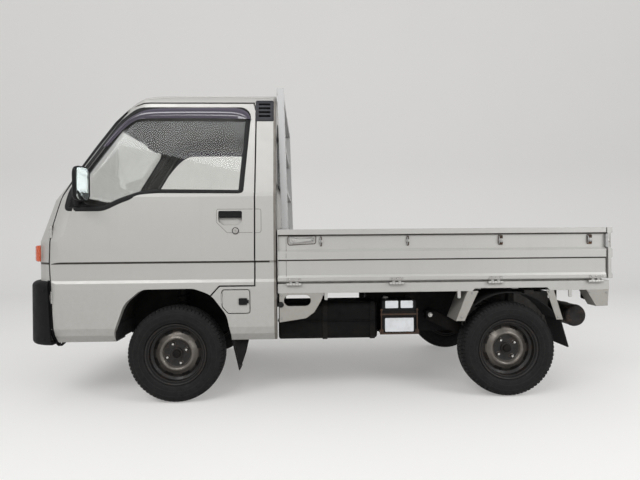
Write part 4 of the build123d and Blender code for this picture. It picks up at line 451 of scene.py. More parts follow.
SILVER = (0.545, 0.537, 0.512)
MATS = {
    "cab_paint": car_paint("cab_silver_paint", SILVER, crease_shadows=CAB_CREASE_SHADOWS, cab=True),
    "paint": car_paint("silver_paint", SILVER),
    "groove": car_paint("shaded_groove_paint", (0.17, 0.155, 0.14), metallic=0.2, coat=0.0),
    "gate": car_paint("gate_paint", (0.555, 0.548, 0.525), rust=0.25, dust=0.8, crease_shadows=GATE_CREASE_SHADOWS),
    "bracket": car_paint("bracket_paint", (0.42, 0.405, 0.375), rust=0.9, dust=1.0),
    "guard": car_paint("guard_paint", (0.60, 0.605, 0.60), metallic=0.15, rough=(0.4, 0.55), rust=0.8,
                       coat=0.1),
    "bed": bed_paint("bed_floor_paint"),
    "bumper": plastic("bumper_plastic", (0.0075, 0.0075, 0.0082), rough=0.55, fade=0.3, dust=0.12,
                      shine=0.14),
    "black": plastic("black_plastic", (0.0065, 0.0065, 0.007), rough=0.42, fade=0.2, dust=0.12, shine=0.2),
    "slate": plastic("vent_plastic", (0.035, 0.036, 0.042), rough=0.5, fade=0.2, dust=0.2),
    "interior": plastic("interior_plastic", (0.075, 0.075, 0.078), rough=0.6, fade=0.15, dust=0.15),
    "trim": plastic("door_trim_board", (0.085, 0.084, 0.084), rough=0.65, fade=0.1, dust=0.1),
    "mat": rubber("floor_mat_rubber", (0.016, 0.016, 0.017), 0.8),
    "seal": rubber("seal_rubber", (0.0085, 0.0085, 0.009), 0.6, dust=0.15),
    "flap": rubber("mud_flap_rubber", (0.0075, 0.007, 0.007), 0.85, dust=0.35),
    "tyre": tyre_rubber("tyre_rubber"),
    "wheel": steel("wheel_black_steel", (0.016, 0.0155, 0.015), metallic=0.3, rough=(0.35, 0.6), rust=0.15),
    # Crest of the wheel disc and the nut seats: worn steel, also painted lighter as a highlight
    "wheel_crest_worn_highlit": steel("wheel_worn_steel", (0.17, 0.155, 0.138), metallic=0.7, rough=(0.3, 0.5), rust=0.15,
                        grime_and_shade=0.4),
    "wheel_edge": steel("wheel_grey_steel", (0.065, 0.06, 0.055), metallic=0.5, rough=(0.35, 0.55),
                        rust=0.15, grime_and_shade=0.4),
    "nut": steel("nut_chrome", (0.6, 0.59, 0.57), metallic=1.0, rough=(0.12, 0.3), grime_and_shade=0.5),
    "chassis": chassis_black("chassis_black"),
    "tank": chassis_black("tank_black", 0.08, (0.0045, 0.0043, 0.0043), (0.012, 0.0105, 0.009)),
    "engine": steel("engine_cast", (0.10, 0.097, 0.093), metallic=0.6, rough=(0.5, 0.75), rust=0.2,
                    grime_and_shade=0.8),
    "exhaust": steel("exhaust_steel", (0.011, 0.0095, 0.009), metallic=0.2, rough=(0.55, 0.8), rust=0.35,
                     grime_and_shade=0.6),
    "bright": steel("plated_steel", (0.55, 0.54, 0.52), metallic=0.9, rough=(0.25, 0.45), rust=0.2,
                    grime_and_shade=0.4),
    "galvanised": steel("galvanised_steel", (0.46, 0.465, 0.46), metallic=0.5, rough=(0.4, 0.6), rust=0.25,
                        grime_and_shade=0.4),
    "rusty": steel("rusty_bracket", (0.06, 0.036, 0.024), metallic=0.2, rough=(0.65, 0.85), rust=0.7),
    "glass": window_glass("window_glass"),
    "visor": tinted_sheet("smoked_visor", (0.072, 0.060, 0.090), clear=0.14),
    "orange": lens("indicator_lens", (0.72, 0.085, 0.002), ribs=55.0, transmission=0.0, coat=0.12),
    "red": lens("tail_lens", (0.42, 0.006, 0.006), ribs=50.0),
    "clear_lens": lens("clear_lens", (0.75, 0.77, 0.76), ribs=40.0, transmission=0.9),
    "cloth": cloth("seat_cloth", (0.085, 0.083, 0.088)),
}


def mirror_glass():
    """Silvered glass with a little dust."""
    s = Shader("mirror_glass")
    s.put("Metallic", 1.0)
    base = s.spots((0.52, 0.56, 0.55, 1.0), (0.36, 0.37, 0.34), (20.0, 5.0), 0.5, 0.8, 0.25)
    return s.finish(base, s.grey(s.noise(30.0), 0.3, 0.8, 0.02, 0.08))


def paper_label():
    """Blank white label, yellowed and dusty."""
    s = Shader("blank_label")
    base = s.spots((0.86, 0.88, 0.90, 1.0), (0.6, 0.6, 0.6), (35.0, 6.0), 0.45, 0.7, 0.35)
    base = s.spots(base, (0.42, 0.38, 0.33), (8.0, 5.0), 0.5, 0.75, 0.25)
    return s.finish(base, s.cloudy(0.5, 0.7, 50.0))


MATS["mirror"] = mirror_glass()
MATS["label"] = paper_label()

NODE_MATERIALS = {
    "cab_shell": "cab_paint", "cab_glass": "glass", "cab_vents": "slate", "wheel_houses": "chassis",
    "front_bumper": "bumper", "headlamps": "clear_lens", "indicators": "orange", "wipers": "black",
    "dashboard": "interior",
    "steering_wheel": "black", "seats": "cloth", "interior_mirror": "interior", "filler_lid": "paint",
    "bed": "gate", "guard_frame": "guard", "bed_brackets": "bracket", "tailgate": "gate",
    "chassis_frame": "chassis", "battery": "black", "fuel_tank": "tank", "engine": "engine",
    "muffler": "exhaust", "front_suspension": "chassis", "rear_suspension": "chassis",
    "mud_guards": "flap", "rear_lamps": "red",
}
for side in ("left", "right"):
    NODE_MATERIALS.update({
        "door_" + side: "cab_paint", "door_glass_" + side: "glass", "door_visor_" + side: "visor",
        "door_handle_" + side: "black", "door_mirror_" + side: "black", "gate_" + side: "gate",
        "knuckle_" + side: "chassis",
    })
    for end in ("front", "rear"):
        NODE_MATERIALS["tyre_" + end + "_" + side] = "tyre"
        NODE_MATERIALS["rim_" + end + "_" + side] = "wheel"


def dress(node, key):
    """Give a CAD node a material in all its slots."""
    slots = NODES[node].data.materials
    if not len(slots):
        slots.append(MATS[key])
    for i in range(len(slots)):
        slots[i] = MATS[key]


for node_name in NODES:
    dress(node_name, NODE_MATERIALS[node_name])


# Helpers for the added pieces. Their points are in millimetres as (distance behind the front axle,
# distance to the right, height), the way the truck was measured

SIDES = (("left", -1), ("right", 1))
# In metres: how close two points are before they become one, and for a look at the skin from the side
# and from the front, where it starts and how far it reaches
MERGE_DISTANCE = 0.00002
SIDE_LOOK = (1.2, 0.75)
FRONT_LOOK = (-2.2, 1.9)
# Angle in degrees from which an edge is rounded
ROUNDED_FROM = 35


def to_row(point):
    """A point from truck millimetres into the row frame in metres."""
    return (behind(point[0]), point[1] / 1000.0, point[2] / 1000.0)


class Draft:
    """A piece under way: vertices and faces with a material number each."""

    def __init__(self):
        self.vertices = []
        self.faces = []
        self.slots = []

    def add(self, points, faces, slot=0):
        start = len(self.vertices)
        self.vertices += [tuple(p) for p in points]
        for face in faces:
            self.faces.append([start + i for i in face])
            self.slots.append(slot)

    def bridge(self, rings, slot=0, closed=True, capped=True):
        """Skin between rings of equally many points."""
        count = len(rings[0])
        points = [p for ring in rings for p in ring]
        faces = []
        for r in range(len(rings) - 1):
            for i in range(count if closed else count - 1):
                j = (i + 1) % count
                a, b = r * count, (r + 1) * count
                faces.append((a + i, a + j, b + j, b + i))
        if capped:
            last = (len(rings) - 1) * count
            faces.append(tuple(reversed(range(count))))
            faces.append(tuple(last + i for i in range(count)))
        self.add(points, faces, slot)

    def box(self, x0, x1, y0, y1, z0, z1, slot=0):
        ring = [(y0, z0), (y1, z0), (y1, z1), (y0, z1)]
        self.bridge([[(x, y, z) for y, z in ring] for x in (x0, x1)], slot)

    def side_plate(self, outline, y0, y1, slot=0):
        """Outline in side view, as (behind, height), with a thickness across the truck."""
        self.bridge([[(x, y, z) for x, z in outline] for y in (y0, y1)], slot)

    def front_plate(self, outline, x0, x1, slot=0):
        """Outline in front view, as (right, height), with a thickness along the truck."""
        self.bridge([[(x, y, z) for y, z in outline] for x in (x0, x1)], slot)

    def flat_plate(self, outline, z0, z1, slot=0):
        """Outline seen from above, as (behind, right), with a thickness in height."""
        self.bridge([[(x, y, z) for x, y in outline] for z in (z0, z1)], slot)

    def turned(self, centre, axis, profile, count=48, slot=0):
        """Profile of (radius, along) turned round an axis through a point."""
        a = Vector(axis).normalized()
        u = a.orthogonal().normalized()
        v = a.cross(u)
        c = Vector(centre)
        rings = []
        for radius, along in profile:
            ring = []
            for i in range(count):
                angle = 2 * math.pi * i / count
                ring.append(c + a * along + u * (radius * math.cos(angle)) + v * (radius * math.sin(angle)))
            rings.append(ring)
        self.bridge(rings, slot, True, False)

    def tube(self, path, radius, count=10, slot=0):
        """Round bar along an open path."""
        points = [Vector(p) for p in path]
        rings = []
        side = None
        for i, point in enumerate(points):
            before = points[max(0, i - 1)]
            after = points[min(len(points) - 1, i + 1)]
            way = (after - before).normalized()
            if side is None:
                side = way.orthogonal().normalized()
            side = (side - way * side.dot(way)).normalized()
            up = way.cross(side)
            rings.append([point + side * (radius * math.cos(2 * math.pi * k / count))
                          + up * (radius * math.sin(2 * math.pi * k / count)) for k in range(count)])
        self.bridge(rings, slot)

    def strip(self, path, section, place, slot=0):
        """Strip along a closed path. Its section has rows of (gap outwards from the path, lift),
        and place(i, point, lift) puts the point of a row beside the path's number i in space."""
        rows = [grown(path, gap) for gap, _ in section]
        rings = [[place(i, row[i], lift) for row, (_, lift) in zip(rows, section)]
                 for i in range(len(path))]
        self.bridge(rings + rings[:1], slot, False, False)

    def bolt(self, centre, axis, size=6.0, slot=0):
        """Hexagon head on a washer, standing along an axis."""
        self.turned(centre, axis,
                    [(0.1, 0.0), (size * 1.25, 0.0), (size * 1.25, 1.2), (size * 1.15, 1.5), (0.1, 1.5)],
                    20, slot)
        self.turned(centre, axis,
                    [(0.1, 1.4), (size, 1.4), (size, size * 0.8), (size * 0.86, size), (0.1, size)], 6,
                    slot)

    def piece(self, name, materials, body, slot_name=None, bevel=0.0, smooth=40.0, segments=2):
        """The finished object on its body."""
        mesh = bpy.data.meshes.new(name)
        mesh.from_pydata([to_row(p) for p in self.vertices], [], self.faces)
        keys = [materials] if isinstance(materials, str) else materials
        for key in keys:
            mesh.materials.append(MATS[key])
        for polygon, number in zip(mesh.polygons, self.slots):
            polygon.material_index = number
            polygon.use_smooth = True
        work = bmesh.new()
        work.from_mesh(mesh)
        bmesh.ops.remove_doubles(work, verts=work.verts, dist=MERGE_DISTANCE)
        bmesh.ops.recalc_face_normals(work, faces=work.faces)
        work.to_mesh(mesh)
        work.free()
        mesh.set_sharp_from_angle(angle=math.radians(smooth))
        made = bpy.data.objects.new(name, mesh)
        bpy.context.scene.collection.objects.link(made)
        if bevel:
            rounding = made.modifiers.new("rounding", "BEVEL")
            rounding.width = bevel / 1000.0
            rounding.segments = segments
            rounding.limit_method = "ANGLE"
            rounding.angle_limit = math.radians(ROUNDED_FROM)
            rounding.harden_normals = False
        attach(made, body)
        return made


def rounded_outline(points, radii, count=6):
    """Closed outline with an arc in each corner."""
    found = []
    total = len(points)
    for i, (corner, radius) in enumerate(zip(points, radii)):
        here = Vector((*corner, 0))
        into = (Vector((*points[i - 1], 0)) - here)
        out = (Vector((*points[(i + 1) % total], 0)) - here)
        room = 0.49 * min(into.length, out.length)
        into.normalize()
        out.normalize()
        half = into.angle(out) / 2
        cut = radius / math.tan(half)
        if cut > room:
            cut = room
            radius = cut * math.tan(half)
        if radius < 0.01:
            found.append(corner)
            continue
        start = here + into * cut
        end = here + out * cut
        centre = here + (into + out).normalized() * (radius / math.sin(half))
        a = start - centre
        b = end - centre
        turn = a.angle(b)
        for k in range(count + 1):
            share = k / count
            mixed = (a * math.sin((1 - share) * turn) + b * math.sin(share * turn)) / math.sin(turn)
            spot = centre + mixed
            found.append((spot.x, spot.y))
    return found


def rounded_rect(x0, x1, z0, z1, radius, count=6, up_first=False):
    """Rectangle with an arc in each corner. It starts at the first corner and runs across or up first."""
    points = [(x0, z0), (x1, z0), (x1, z1), (x0, z1)]
    if up_first:
        points = [points[0], points[3], points[2], points[1]]
    return rounded_outline(points, radius if isinstance(radius, list) else [radius] * 4, count)


def divided(a, b, steps):
    """Points from one place on the way to another, without the last one."""
    return [(a[0] + (b[0] - a[0]) * k / steps, a[1] + (b[1] - a[1]) * k / steps) for k in range(steps)]


def spread(points, step):
    """A closed outline with its long runs divided into pieces of about this length."""
    found = []
    for i, a in enumerate(points):
        b = points[(i + 1) % len(points)]
        found += divided(a, b, max(1, int(math.dist(a, b) / step)))
    return found


def spread_line(points, steps):
    """Points along an open line, with a number of steps between its corners."""
    found = []
    for a, b in zip(points[:-1], points[1:]):
        found += divided(a, b, steps)
    return found + [points[-1]]


def grown(points, gap):
    """A closed outline moved outwards by a gap, whichever way round it runs."""
    total = len(points)
    area = sum(points[i - 1][0] * points[i][1] - points[i][0] * points[i - 1][1] for i in range(total))
    turn = 1.0 if area > 0 else -1.0
    found = []
    for i in range(total):
        ax, az = points[i - 1]
        bx, bz = points[(i + 1) % total]
        length = math.hypot(bx - ax, bz - az) or 1.0
        nx, nz = (bz - az) / length * turn, -(bx - ax) / length * turn
        found.append((points[i][0] + nx * gap, points[i][1] + nz * gap))
    return found


def node_tree(*names):
    """Tree of the faces of one or several CAD nodes, for finding where their skin lies."""
    vertices = []
    faces = []
    for name in names:
        mesh = NODES[name].data
        start = len(vertices)
        vertices += [v.co.copy() for v in mesh.vertices]
        faces += [[start + i for i in p.vertices] for p in mesh.polygons]
    return BVHTree.FromPolygons(vertices, faces)


class Skin:
    """The outer skin of CAD nodes, found by looking at it from outside."""

    def __init__(self, *names):
        self.tree = node_tree(*names)

    def side(self, x, z, sign, fallback=None):
        """Distance to the right of the skin at a place in side view, in millimetres."""
        start, reach = SIDE_LOOK
        hit = self.tree.ray_cast(Vector((behind(x), sign * start, z / 1000.0)), Vector((0, -sign, 0)), reach)
        if hit[0] is None:
            return fallback
        return hit[0].y * 1000.0

    def half_widths(self, places, sign, last):
        """Half widths at places in side view. Where the skin is missing, the one before counts."""
        found = []
        for x, z in places:
            last = abs(self.side(x, z, sign, last))
            found.append(last)
        return found

    def front(self, y, z, fallback=None):
        """Distance behind the front axle of the skin at a place in front view."""
        start, reach = FRONT_LOOK
        hit = self.tree.ray_cast(Vector((start, y / 1000.0, z / 1000.0)), Vector((1, 0, 0)), reach)
        if hit[0] is None:
            return fallback
        return (hit[0].x - FRONT_AXLE) * 1000.0


# Road wheels

# Half of the tyre's section: (distance from the middle, radius)
TYRE_SECTION = [(48.0, 153.0), (52.0, 158.0), (50.5, 171.0), (56.0, 174.5), (62.5, 182.0), (67.0, 191.0),
                (69.5, 200.0), (71.6, 212.0), (72.3, 226.0), (71.6, 236.0), (69.8, 243.0), (67.0, 249.0),
                (62.5, 254.0), (57.0, 257.5), (46.0, 260.5), (28.0, 262.6), (0.0, 263.4)]
# Rows of tread blocks: from, to, how many, shift, how much of the pitch is filled, lean
TREAD_ROWS = [(-57.8, -31.5, 72, 0.0, 0.80, 0.006), (-27.5, -2.2, 72, 0.5, 0.90, 0.010),
              (2.2, 27.5, 72, 0.0, 0.90, -0.010), (31.5, 57.8, 72, 0.5, 0.80, -0.006)]
SHOULDER_NOTCHES = 72


def crown_radius(across):
    """Radius of the worn tread's surface at a distance from the tyre's middle."""
    a = abs(across)
    if a <= 14.0:
        return 269.6
    if a <= 45.5:
        return 269.6 - 3.0 * ((a - 14.0) / 31.5) ** 2
    return 266.6 - 6.4 * ((a - 45.5) / 12.5) ** 1.6


def tyre_piece(name, x, side, body):
    """Light-truck tyre: smooth walls with raised rings, rows of tread blocks and shoulder lugs."""
    draft = Draft()
    centre = Vector((x, side * WHEEL_MIDDLE, TYRE_RADIUS))
    section = [(r, a) for a, r in TYRE_SECTION]
    half = section + [(r, -a) for r, a in reversed(section[:-1])]
    draft.turned(centre, (0, 1, 0), half, 128)

    def spot(radius, across, angle):
        return centre + Vector((radius * math.cos(angle), across, radius * math.sin(angle)))

    for y0, y1, count, shift, fill, skew in TREAD_ROWS:
        pitch = 2 * math.pi / count
        columns = [y0, y0 + 1.0, y0 + (y1 - y0) / 3, y0 + 2 * (y1 - y0) / 3, y1 - 1.0, y1]
        for i in range(count):
            length = pitch * fill * (0.96 + 0.08 * ((i * 7) % 5) / 4)
            start = pitch * (i + shift)
            angles = [start, start + 0.004, start + length * 0.48, start + length * 0.52,
                      start + length - 0.004, start + length]
            grid = []
            for m, angle in enumerate(angles):
                row = []
                for k, across in enumerate(columns):
                    lean = skew * (across - y0) / (y1 - y0) * 2
                    rim_drop = 1.0 if m in (0, 5) or k in (0, 5) else 0.0
                    row.append(spot(crown_radius(across) - rim_drop, across, angle + lean))
                grid.append(row)
            base = [[spot(258.5, across, angle + skew * (across - y0) / (y1 - y0) * 2)
                     for across in (y0, y1)] for angle in (angles[0], angles[-1])]
            points = [p for row in grid for p in row]
            wide = len(columns)
            faces = [(r * wide + c, r * wide + c + 1, (r + 1) * wide + c + 1, (r + 1) * wide + c)
                     for r in range(5) for c in range(wide - 1)]
            low = len(points)
            points += [base[0][0], base[0][1], base[1][1], base[1][0]]
            last = 5 * wide
            faces += [tuple(list(range(wide)) + [low + 1, low]),
                      tuple(list(range(last, last + wide)) + [low + 2, low + 3]),
                      tuple([r * wide for r in range(6)] + [low + 3, low]),
                      tuple([r * wide + wide - 1 for r in range(6)] + [low + 2, low + 1])]
            draft.add(points, faces)
    for sign in (-1, 1):
        for i in range(SHOULDER_NOTCHES):
            middle = 2 * math.pi * (i + (0.4 if sign < 0 else 0.9)) / SHOULDER_NOTCHES
            rings = []
            for lift, half_width in ((-3.0, 0.030), (0.9, 0.026)):
                edge = [(a + lift * 0.5, r + lift * 0.7)
                        for a, r in ((57.2, 262.0), (61.8, 257.6), (65.4, 252.6))]
                ring = [spot(r, sign * a, middle - half_width) for a, r in edge]
                ring += [spot(r, sign * a, middle + half_width) for a, r in reversed(edge)]
                rings.append(ring)
            draft.bridge(rings)
        for radius, along, size in ((181.5, 61.5, 1.6), (203.0, 69.4, 1.2), (231.0, 71.6, 1.0)):
            profile = [(radius + size * math.cos(t), sign * along + size * math.sin(t))
                       for t in (2 * math.pi * k / 8 for k in range(9))]
            draft.turned(centre, (0, 1, 0), profile, 96)
    return draft.piece(name, "tyre", body, "tyre_rubber", smooth=32.0)


def wheel_piece(name, x, side, body, ahead):
    """Steel wheel: rolled rim, dished disc with a scalloped crest, nuts, hub and valve."""
    draft = Draft()
    centre = Vector((x, side * WHEEL_MIDDLE, TYRE_RADIUS))
    out = Vector((0, side, 0))
    rim = [(170.8, 57.8), (170.0, 58.0), (165.5, 57.0), (163.0, 54.5), (161.5, 50.5), (152.0, 49.0),
           (150.6, 44.0), (150.2, 30.0), (148.4, 24.0), (135.0, 14.5), (133.4, 8.0), (133.4, -12.0),
           (135.0, -16.0), (149.0, -28.0), (150.5, -34.0), (151.0, -49.5), (161.0, -51.5), (163.5, -55.0),
           (166.0, -57.4), (170.0, -58.0), (170.8, -57.0), (168.0, -50.0), (153.8, -47.0), (153.0, -31.0),
           (137.5, -17.5), (136.0, -12.0), (136.0, 8.0), (137.5, 12.5), (150.8, 21.5), (153.0, 29.0),
           (153.2, 45.0), (155.0, 47.0), (164.5, 48.5), (167.0, 52.0), (170.8, 57.8)]
    draft.turned(centre, out, rim, 96, 0)
    u = Vector((1, 0, 0))
    v = Vector((0, 0, 1))

    def spot(radius, along, angle):
        return centre + out * along + u * (radius * math.cos(angle)) + v * (radius * math.sin(angle))

    count = 192

    def scallop(angle):
        """How far the disc's edge is cut back at an angle: eight windows between the weld tabs."""
        share = (angle * 8 / (2 * math.pi)) % 1.0
        edge = min(share, 1.0 - share)
        return min(1.0, max(0.0, (edge - 0.24) / 0.05))

    # Slot 1, the crest, is worn steel that is also painted lighter as a highlight
    # Radius, place along the axle, and the slot of the band that ends there
    disc = [(17.0, 20.0, 0), (17.0, 26.5, 0), (22.0, 29.0, 0), (31.0, 28.0, 0), (33.0, 17.0, 0),
            (44.0, 15.5, 0), (66.0, 16.5, 0), (72.5, 18.5, 0), (77.5, 26.0, 1), (82.0, 33.0, 1),
            (87.5, 35.6, 1), (93.0, 34.6, 1), (98.0, 30.5, 1), (106.0, 24.5, 1), (112.0, 20.5, 1)]
    rings = [[spot(radius, along, 2 * math.pi * i / count) for i in range(count)]
             for radius, along, _ in disc]
    outer = []
    for radius, along in ((121.0, 15.5), (126.0, 11.0), (133.2, 8.0)):
        ring = []
        for i in range(count):
            angle = 2 * math.pi * i / count
            cut = scallop(angle)
            ring.append(spot(radius * (1 - cut) + 115.5 * cut, along * (1 - cut) + 18.6 * cut, angle))
        outer.append(ring)
    for i, (_, _, slot) in enumerate(disc[1:]):
        draft.bridge(rings[i:i + 2], slot, True, False)
    draft.bridge([rings[-1], outer[0]], 1, True, False)
    draft.bridge(outer, 5, True, False)
    back = [(133.2, 4.0), (112.0, 15.5), (93.0, 29.0), (87.5, 31.5), (80.0, 27.0), (72.0, 13.0),
            (44.0, 11.0), (30.0, 12.0)]
    draft.turned(centre, out, back, 96, 0)
    draft.turned(centre, out,
                 [(150.0, -20.0), (104.0, -22.0), (100.0, -30.0), (60.0, -32.0), (20.0, -32.0)], 64, 4)
    draft.turned(centre, out,
                 [(104.0, -22.0), (106.0, -8.0), (100.0, 0.0), (62.0, 2.0), (58.0, 10.0), (34.0, 11.0)], 64,
                 4)
    for i in range(4):
        angle = math.pi / 2 * i + (0.385 if ahead else 0.62)
        seat = spot(57.0, 16.0, angle)
        draft.turned(seat, out, [(14.0, -1.0), (12.8, 1.5), (10.6, 0.4), (9.0, -1.0)], 20, 1)
        draft.turned(seat, out,
                     [(9.6, -1.0), (9.6, 2.0), (8.4, 8.0), (8.0, 12.5), (6.6, 14.6), (3.0, 15.6),
                      (0.1, 15.8)], 6, 2)
        hole = spot(57.0, 16.0, angle + math.pi / 4)
        draft.turned(hole, out, [(8.0, 0.2), (6.8, 1.2), (6.2, -2.0), (0.1, -2.2)], 18, 4)
    draft.turned(centre, out, [(24.0, 27.6), (23.0, 37.0), (20.0, 41.5), (12.0, 43.4), (0.1, 43.8)], 32, 4)
    valve = spot(143.0, 22.0, 1.1 if ahead else 2.4)
    draft.tube([valve, valve + out * 12 - (valve - centre).normalized() * 2,
                valve + out * 26 - (valve - centre).normalized() * 7], 3.0, 8, 3)
    return draft.piece(name, ["wheel", "wheel_crest_worn_highlit", "nut", "seal", "chassis", "wheel_edge"], body,
                       "wheel_paint", smooth=35.0)


def build_wheels():
    for end, x in (("front", 0.0), ("rear", WHEELBASE)):
        for side_name, side in SIDES:
            body = "wheel_%s_%s" % (end, side_name)
            made = tyre_piece("road_tyre_%s_%s" % (end, side_name), x, side, body)
            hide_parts("tyre_%s_%s" % (end, side_name))
            wheel = wheel_piece("road_wheel_%s_%s" % (end, side_name), x, side, body, end == "front")
            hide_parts("rim_%s_%s" % (end, side_name))


build_wheels()


# Rubber seals round the glass

DOOR_WINDOW = rounded_outline([(-566, 1092), (-380, 1092), (-295, 1132), (-187, 1173), (-79, 1185),
                               (366, 1178), (408, 1640), (-205, 1640), (-300, 1572), (-468, 1323),
                               (-548, 1180)], [6, 120, 100, 160, 200, 10, 40, 120, 150, 200, 60], 8)
SEAL_WIDTH = 23.0
SEAL_PROUD = 4.0
SCREEN_SEAL_WIDTH = 17.0
SCREEN_SEAL_PROUD = 4.5
SCREEN_SLOPE = 0.717
# Rows of the seals: gap outwards from the edge of the opening, and how far the row is lifted
SEAL_SECTION = ((-5.0, -11.0), (-5.0, 1.0), (-2.0, SEAL_PROUD), (SEAL_WIDTH * 0.25, SEAL_PROUD + 0.8),
                (SEAL_WIDTH * 0.7, SEAL_PROUD * 0.6), (SEAL_WIDTH, -0.5))
SCREEN_SEAL_SECTION = ((-6.0, 12.0), (-6.0, -1.0), (-3.0, -SCREEN_SEAL_PROUD),
                       (SCREEN_SEAL_WIDTH * 0.3, -SCREEN_SEAL_PROUD - 0.6),
                       (SCREEN_SEAL_WIDTH * 0.75, -SCREEN_SEAL_PROUD * 0.5), (SCREEN_SEAL_WIDTH, 0.6))
REAR_SEAL_SECTION = ((-6.0, -9.0), (-6.0, 0.5), (2.0, 3.8), (12.0, 3.2), (15.0, -0.3))
REAR_INNER_SECTION = ((-6.0, 8.0), (-6.0, -2.0), (4.0, -4.0), (14.0, -0.3))
SCREEN = rounded_outline([(540, 1172), (462, 1584), (-462, 1584), (-540, 1172)], [45, 60, 60, 45], 8)
REAR_GLASS = rounded_rect(-470, 470, 1235, 1590, 40, 8)


def beside(side, bases):
    """Places the points of a strip beside a skin, from its half widths along the path."""
    return lambda i, spot, lift: (spot[0], side * (bases[i] + lift), spot[1])


def seal_frame(name, path, section, place, body="root"):
    """Rubber seal along a closed path."""
    draft = Draft()
    draft.strip(path, section, place)
    draft.piece(name, "seal", body, "black_plastic", smooth=50.0)


def build_seals():
    """Rubber seal round each door window, and the channel that its glass runs in."""
    for side_name, side in SIDES:
        body = "door_" + side_name
        path = spread(DOOR_WINDOW, 16.0)
        bases = Skin("door_" + side_name).half_widths(grown(path, 7.0), side, 690.0)
        seal_frame("window_seal_" + side_name, path, SEAL_SECTION, beside(side, bases), body)
        path = spread(grown(DOOR_WINDOW, 1.0), 25.0)
        on_glass = grown(path, -9.0)
        bases = Skin("door_glass_" + side_name).half_widths(on_glass, side, 640.0)
        rings = [[(x, side * (base + 2.5), z), (gx, side * (base + 1.5), gz), (gx, side * (base - 6.0), gz),
                  (x, side * (base - 7.0), z)] for (x, z), (gx, gz), base in zip(path, on_glass, bases)]
        channel = Draft()
        channel.bridge(rings + rings[:1], 0, True, False)
        channel.piece("window_channel_" + side_name, "seal", body, "black_plastic")


def build_screen_seals():
    """Rubber frames round the screen, and round the rear window outside and inside."""
    skin = Skin("cab_shell")
    path = spread(SCREEN, 18.0)
    edge = grown(path, 8.0)
    fronts = []
    last = -500.0
    for y, z in edge:
        last = skin.front(y, z, last)
        fronts.append(last)

    def on_screen(i, spot, lift):
        return (fronts[i] + lift + (spot[1] - edge[i][1]) * SCREEN_SLOPE, spot[0], spot[1])

    seal_frame("screen_seal", path, SCREEN_SEAL_SECTION, on_screen)
    path = spread(REAR_GLASS, 25.0)
    for name, x, section in (("rear_glass_seal", 566.0, REAR_SEAL_SECTION),
                             ("rear_glass_inner_seal", 532.0, REAR_INNER_SECTION)):
        seal_frame(name, path, section, lambda i, spot, lift: (x + lift, spot[0], spot[1]))


build_seals()
build_screen_seals()


# Doors: gap seals, corner trim, inner trim, winder, armrest, handle, lock and mirrors

DOOR_EDGE = [(-648, 330), (-664, 690), (-670, 786), (-661, 969), (-633, 1077), (-607, 1164), (-520, 1330),
             (-450, 1445), (-350, 1588), (-262, 1662), (-180, 1684), (440, 1684), (452, 1640), (446, 1150),
             (443, 657), (250, 657), (196, 598)]
DOOR_TOP_EDGE = 1640


def build_door_gap_seals():
    """Dark strip behind the shut line, so that no light shows through it. Over the door it is painted."""
    outer = grown(DOOR_EDGE, 9.0)
    inner = grown(DOOR_EDGE, -26.0)
    line = list(zip(spread_line(outer, 4), spread_line(inner, 4)))
    top = [i for i, ((_, z), _) in enumerate(line) if z > DOOR_TOP_EDGE]
    for side_name, side in SIDES:
        bases = Skin("door_" + side_name).half_widths([place for _, place in line], side, 660.0)
        rings = [[(ix, side * (base - 26.0), iz), (x, side * (base - 24.0), z),
                  (x, side * (base - 33.0), z), (ix, side * (base - 34.0), iz)]
                 for ((x, z), (ix, iz)), base in zip(line, bases)]
        draft = Draft()
        draft.bridge(rings[:top[0] + 1], 0)
        draft.bridge(rings[top[0]:top[-1] + 1], 1)
        draft.bridge(rings[top[-1]:], 0)
        draft.piece("door_gap_seal_" + side_name, ["seal", "paint"], "root", "black_plastic")


MIRROR_FOOT_CORNER = [(-549, 1077), (-512, 1076), (-508, 1100), (-528, 1116), (-550, 1110)]
BUMPER_REAR_EDGE = [(-655, 345), (-659, 420), (-664, 540), (-668, 640), (-670, 694)]
SHUT_LINE_BEND = [[(-661, 916), (-660, 945), (-657, 975), (-652, 1000)]]


def build_front_corner_trim():
    """Rubber corner under the mirror foot, and the black edge between the bumper and the door."""
    for side_name, side in SIDES:
        skin = Skin("door_" + side_name, "door_glass_" + side_name)
        outline = rounded_outline(MIRROR_FOOT_CORNER, [5] * len(MIRROR_FOOT_CORNER), 3)
        bases = [abs(skin.side(x, z, side, side * 640.0)) for x, z in outline]
        draft = Draft()
        draft.bridge([[(x, side * (base + lift), z) for (x, z), base in zip(grown(outline, shrink), bases)]
                      for lift, shrink in ((-4.0, 0.0), (3.0, 0.0), (4.2, -1.5))], 0)
        draft.piece("mirror_foot_corner_" + side_name, "black", "door_" + side_name, "black_plastic")
        shell = Skin("cab_shell")
        rings = []
        for x, z in spread_line(BUMPER_REAR_EDGE, 6):
            base = abs(shell.side(x - 4, z, side, side * 640.0))
            rings.append([(x - 16, side * (base - 6), z), (x - 14, side * (base + 1.0), z),
                          (x, side * (base + 1.0), z), (x + 1, side * (base - 5), z)])
        edge = Draft()
        edge.bridge(rings, 0)
        edge.piece("bumper_rear_edge_" + side_name, "bumper", "root", "black_plastic")
        groove_line("shut_line_bend_" + side_name, SHUT_LINE_BEND, skin, side, "door_" + side_name)


DOOR_INNER_Y = 651.0
WINDER_PLACE = (-20.0, 905.0)
# First and last place behind the front axle, and height
ARMREST = (60.0, 330.0, 985.0)


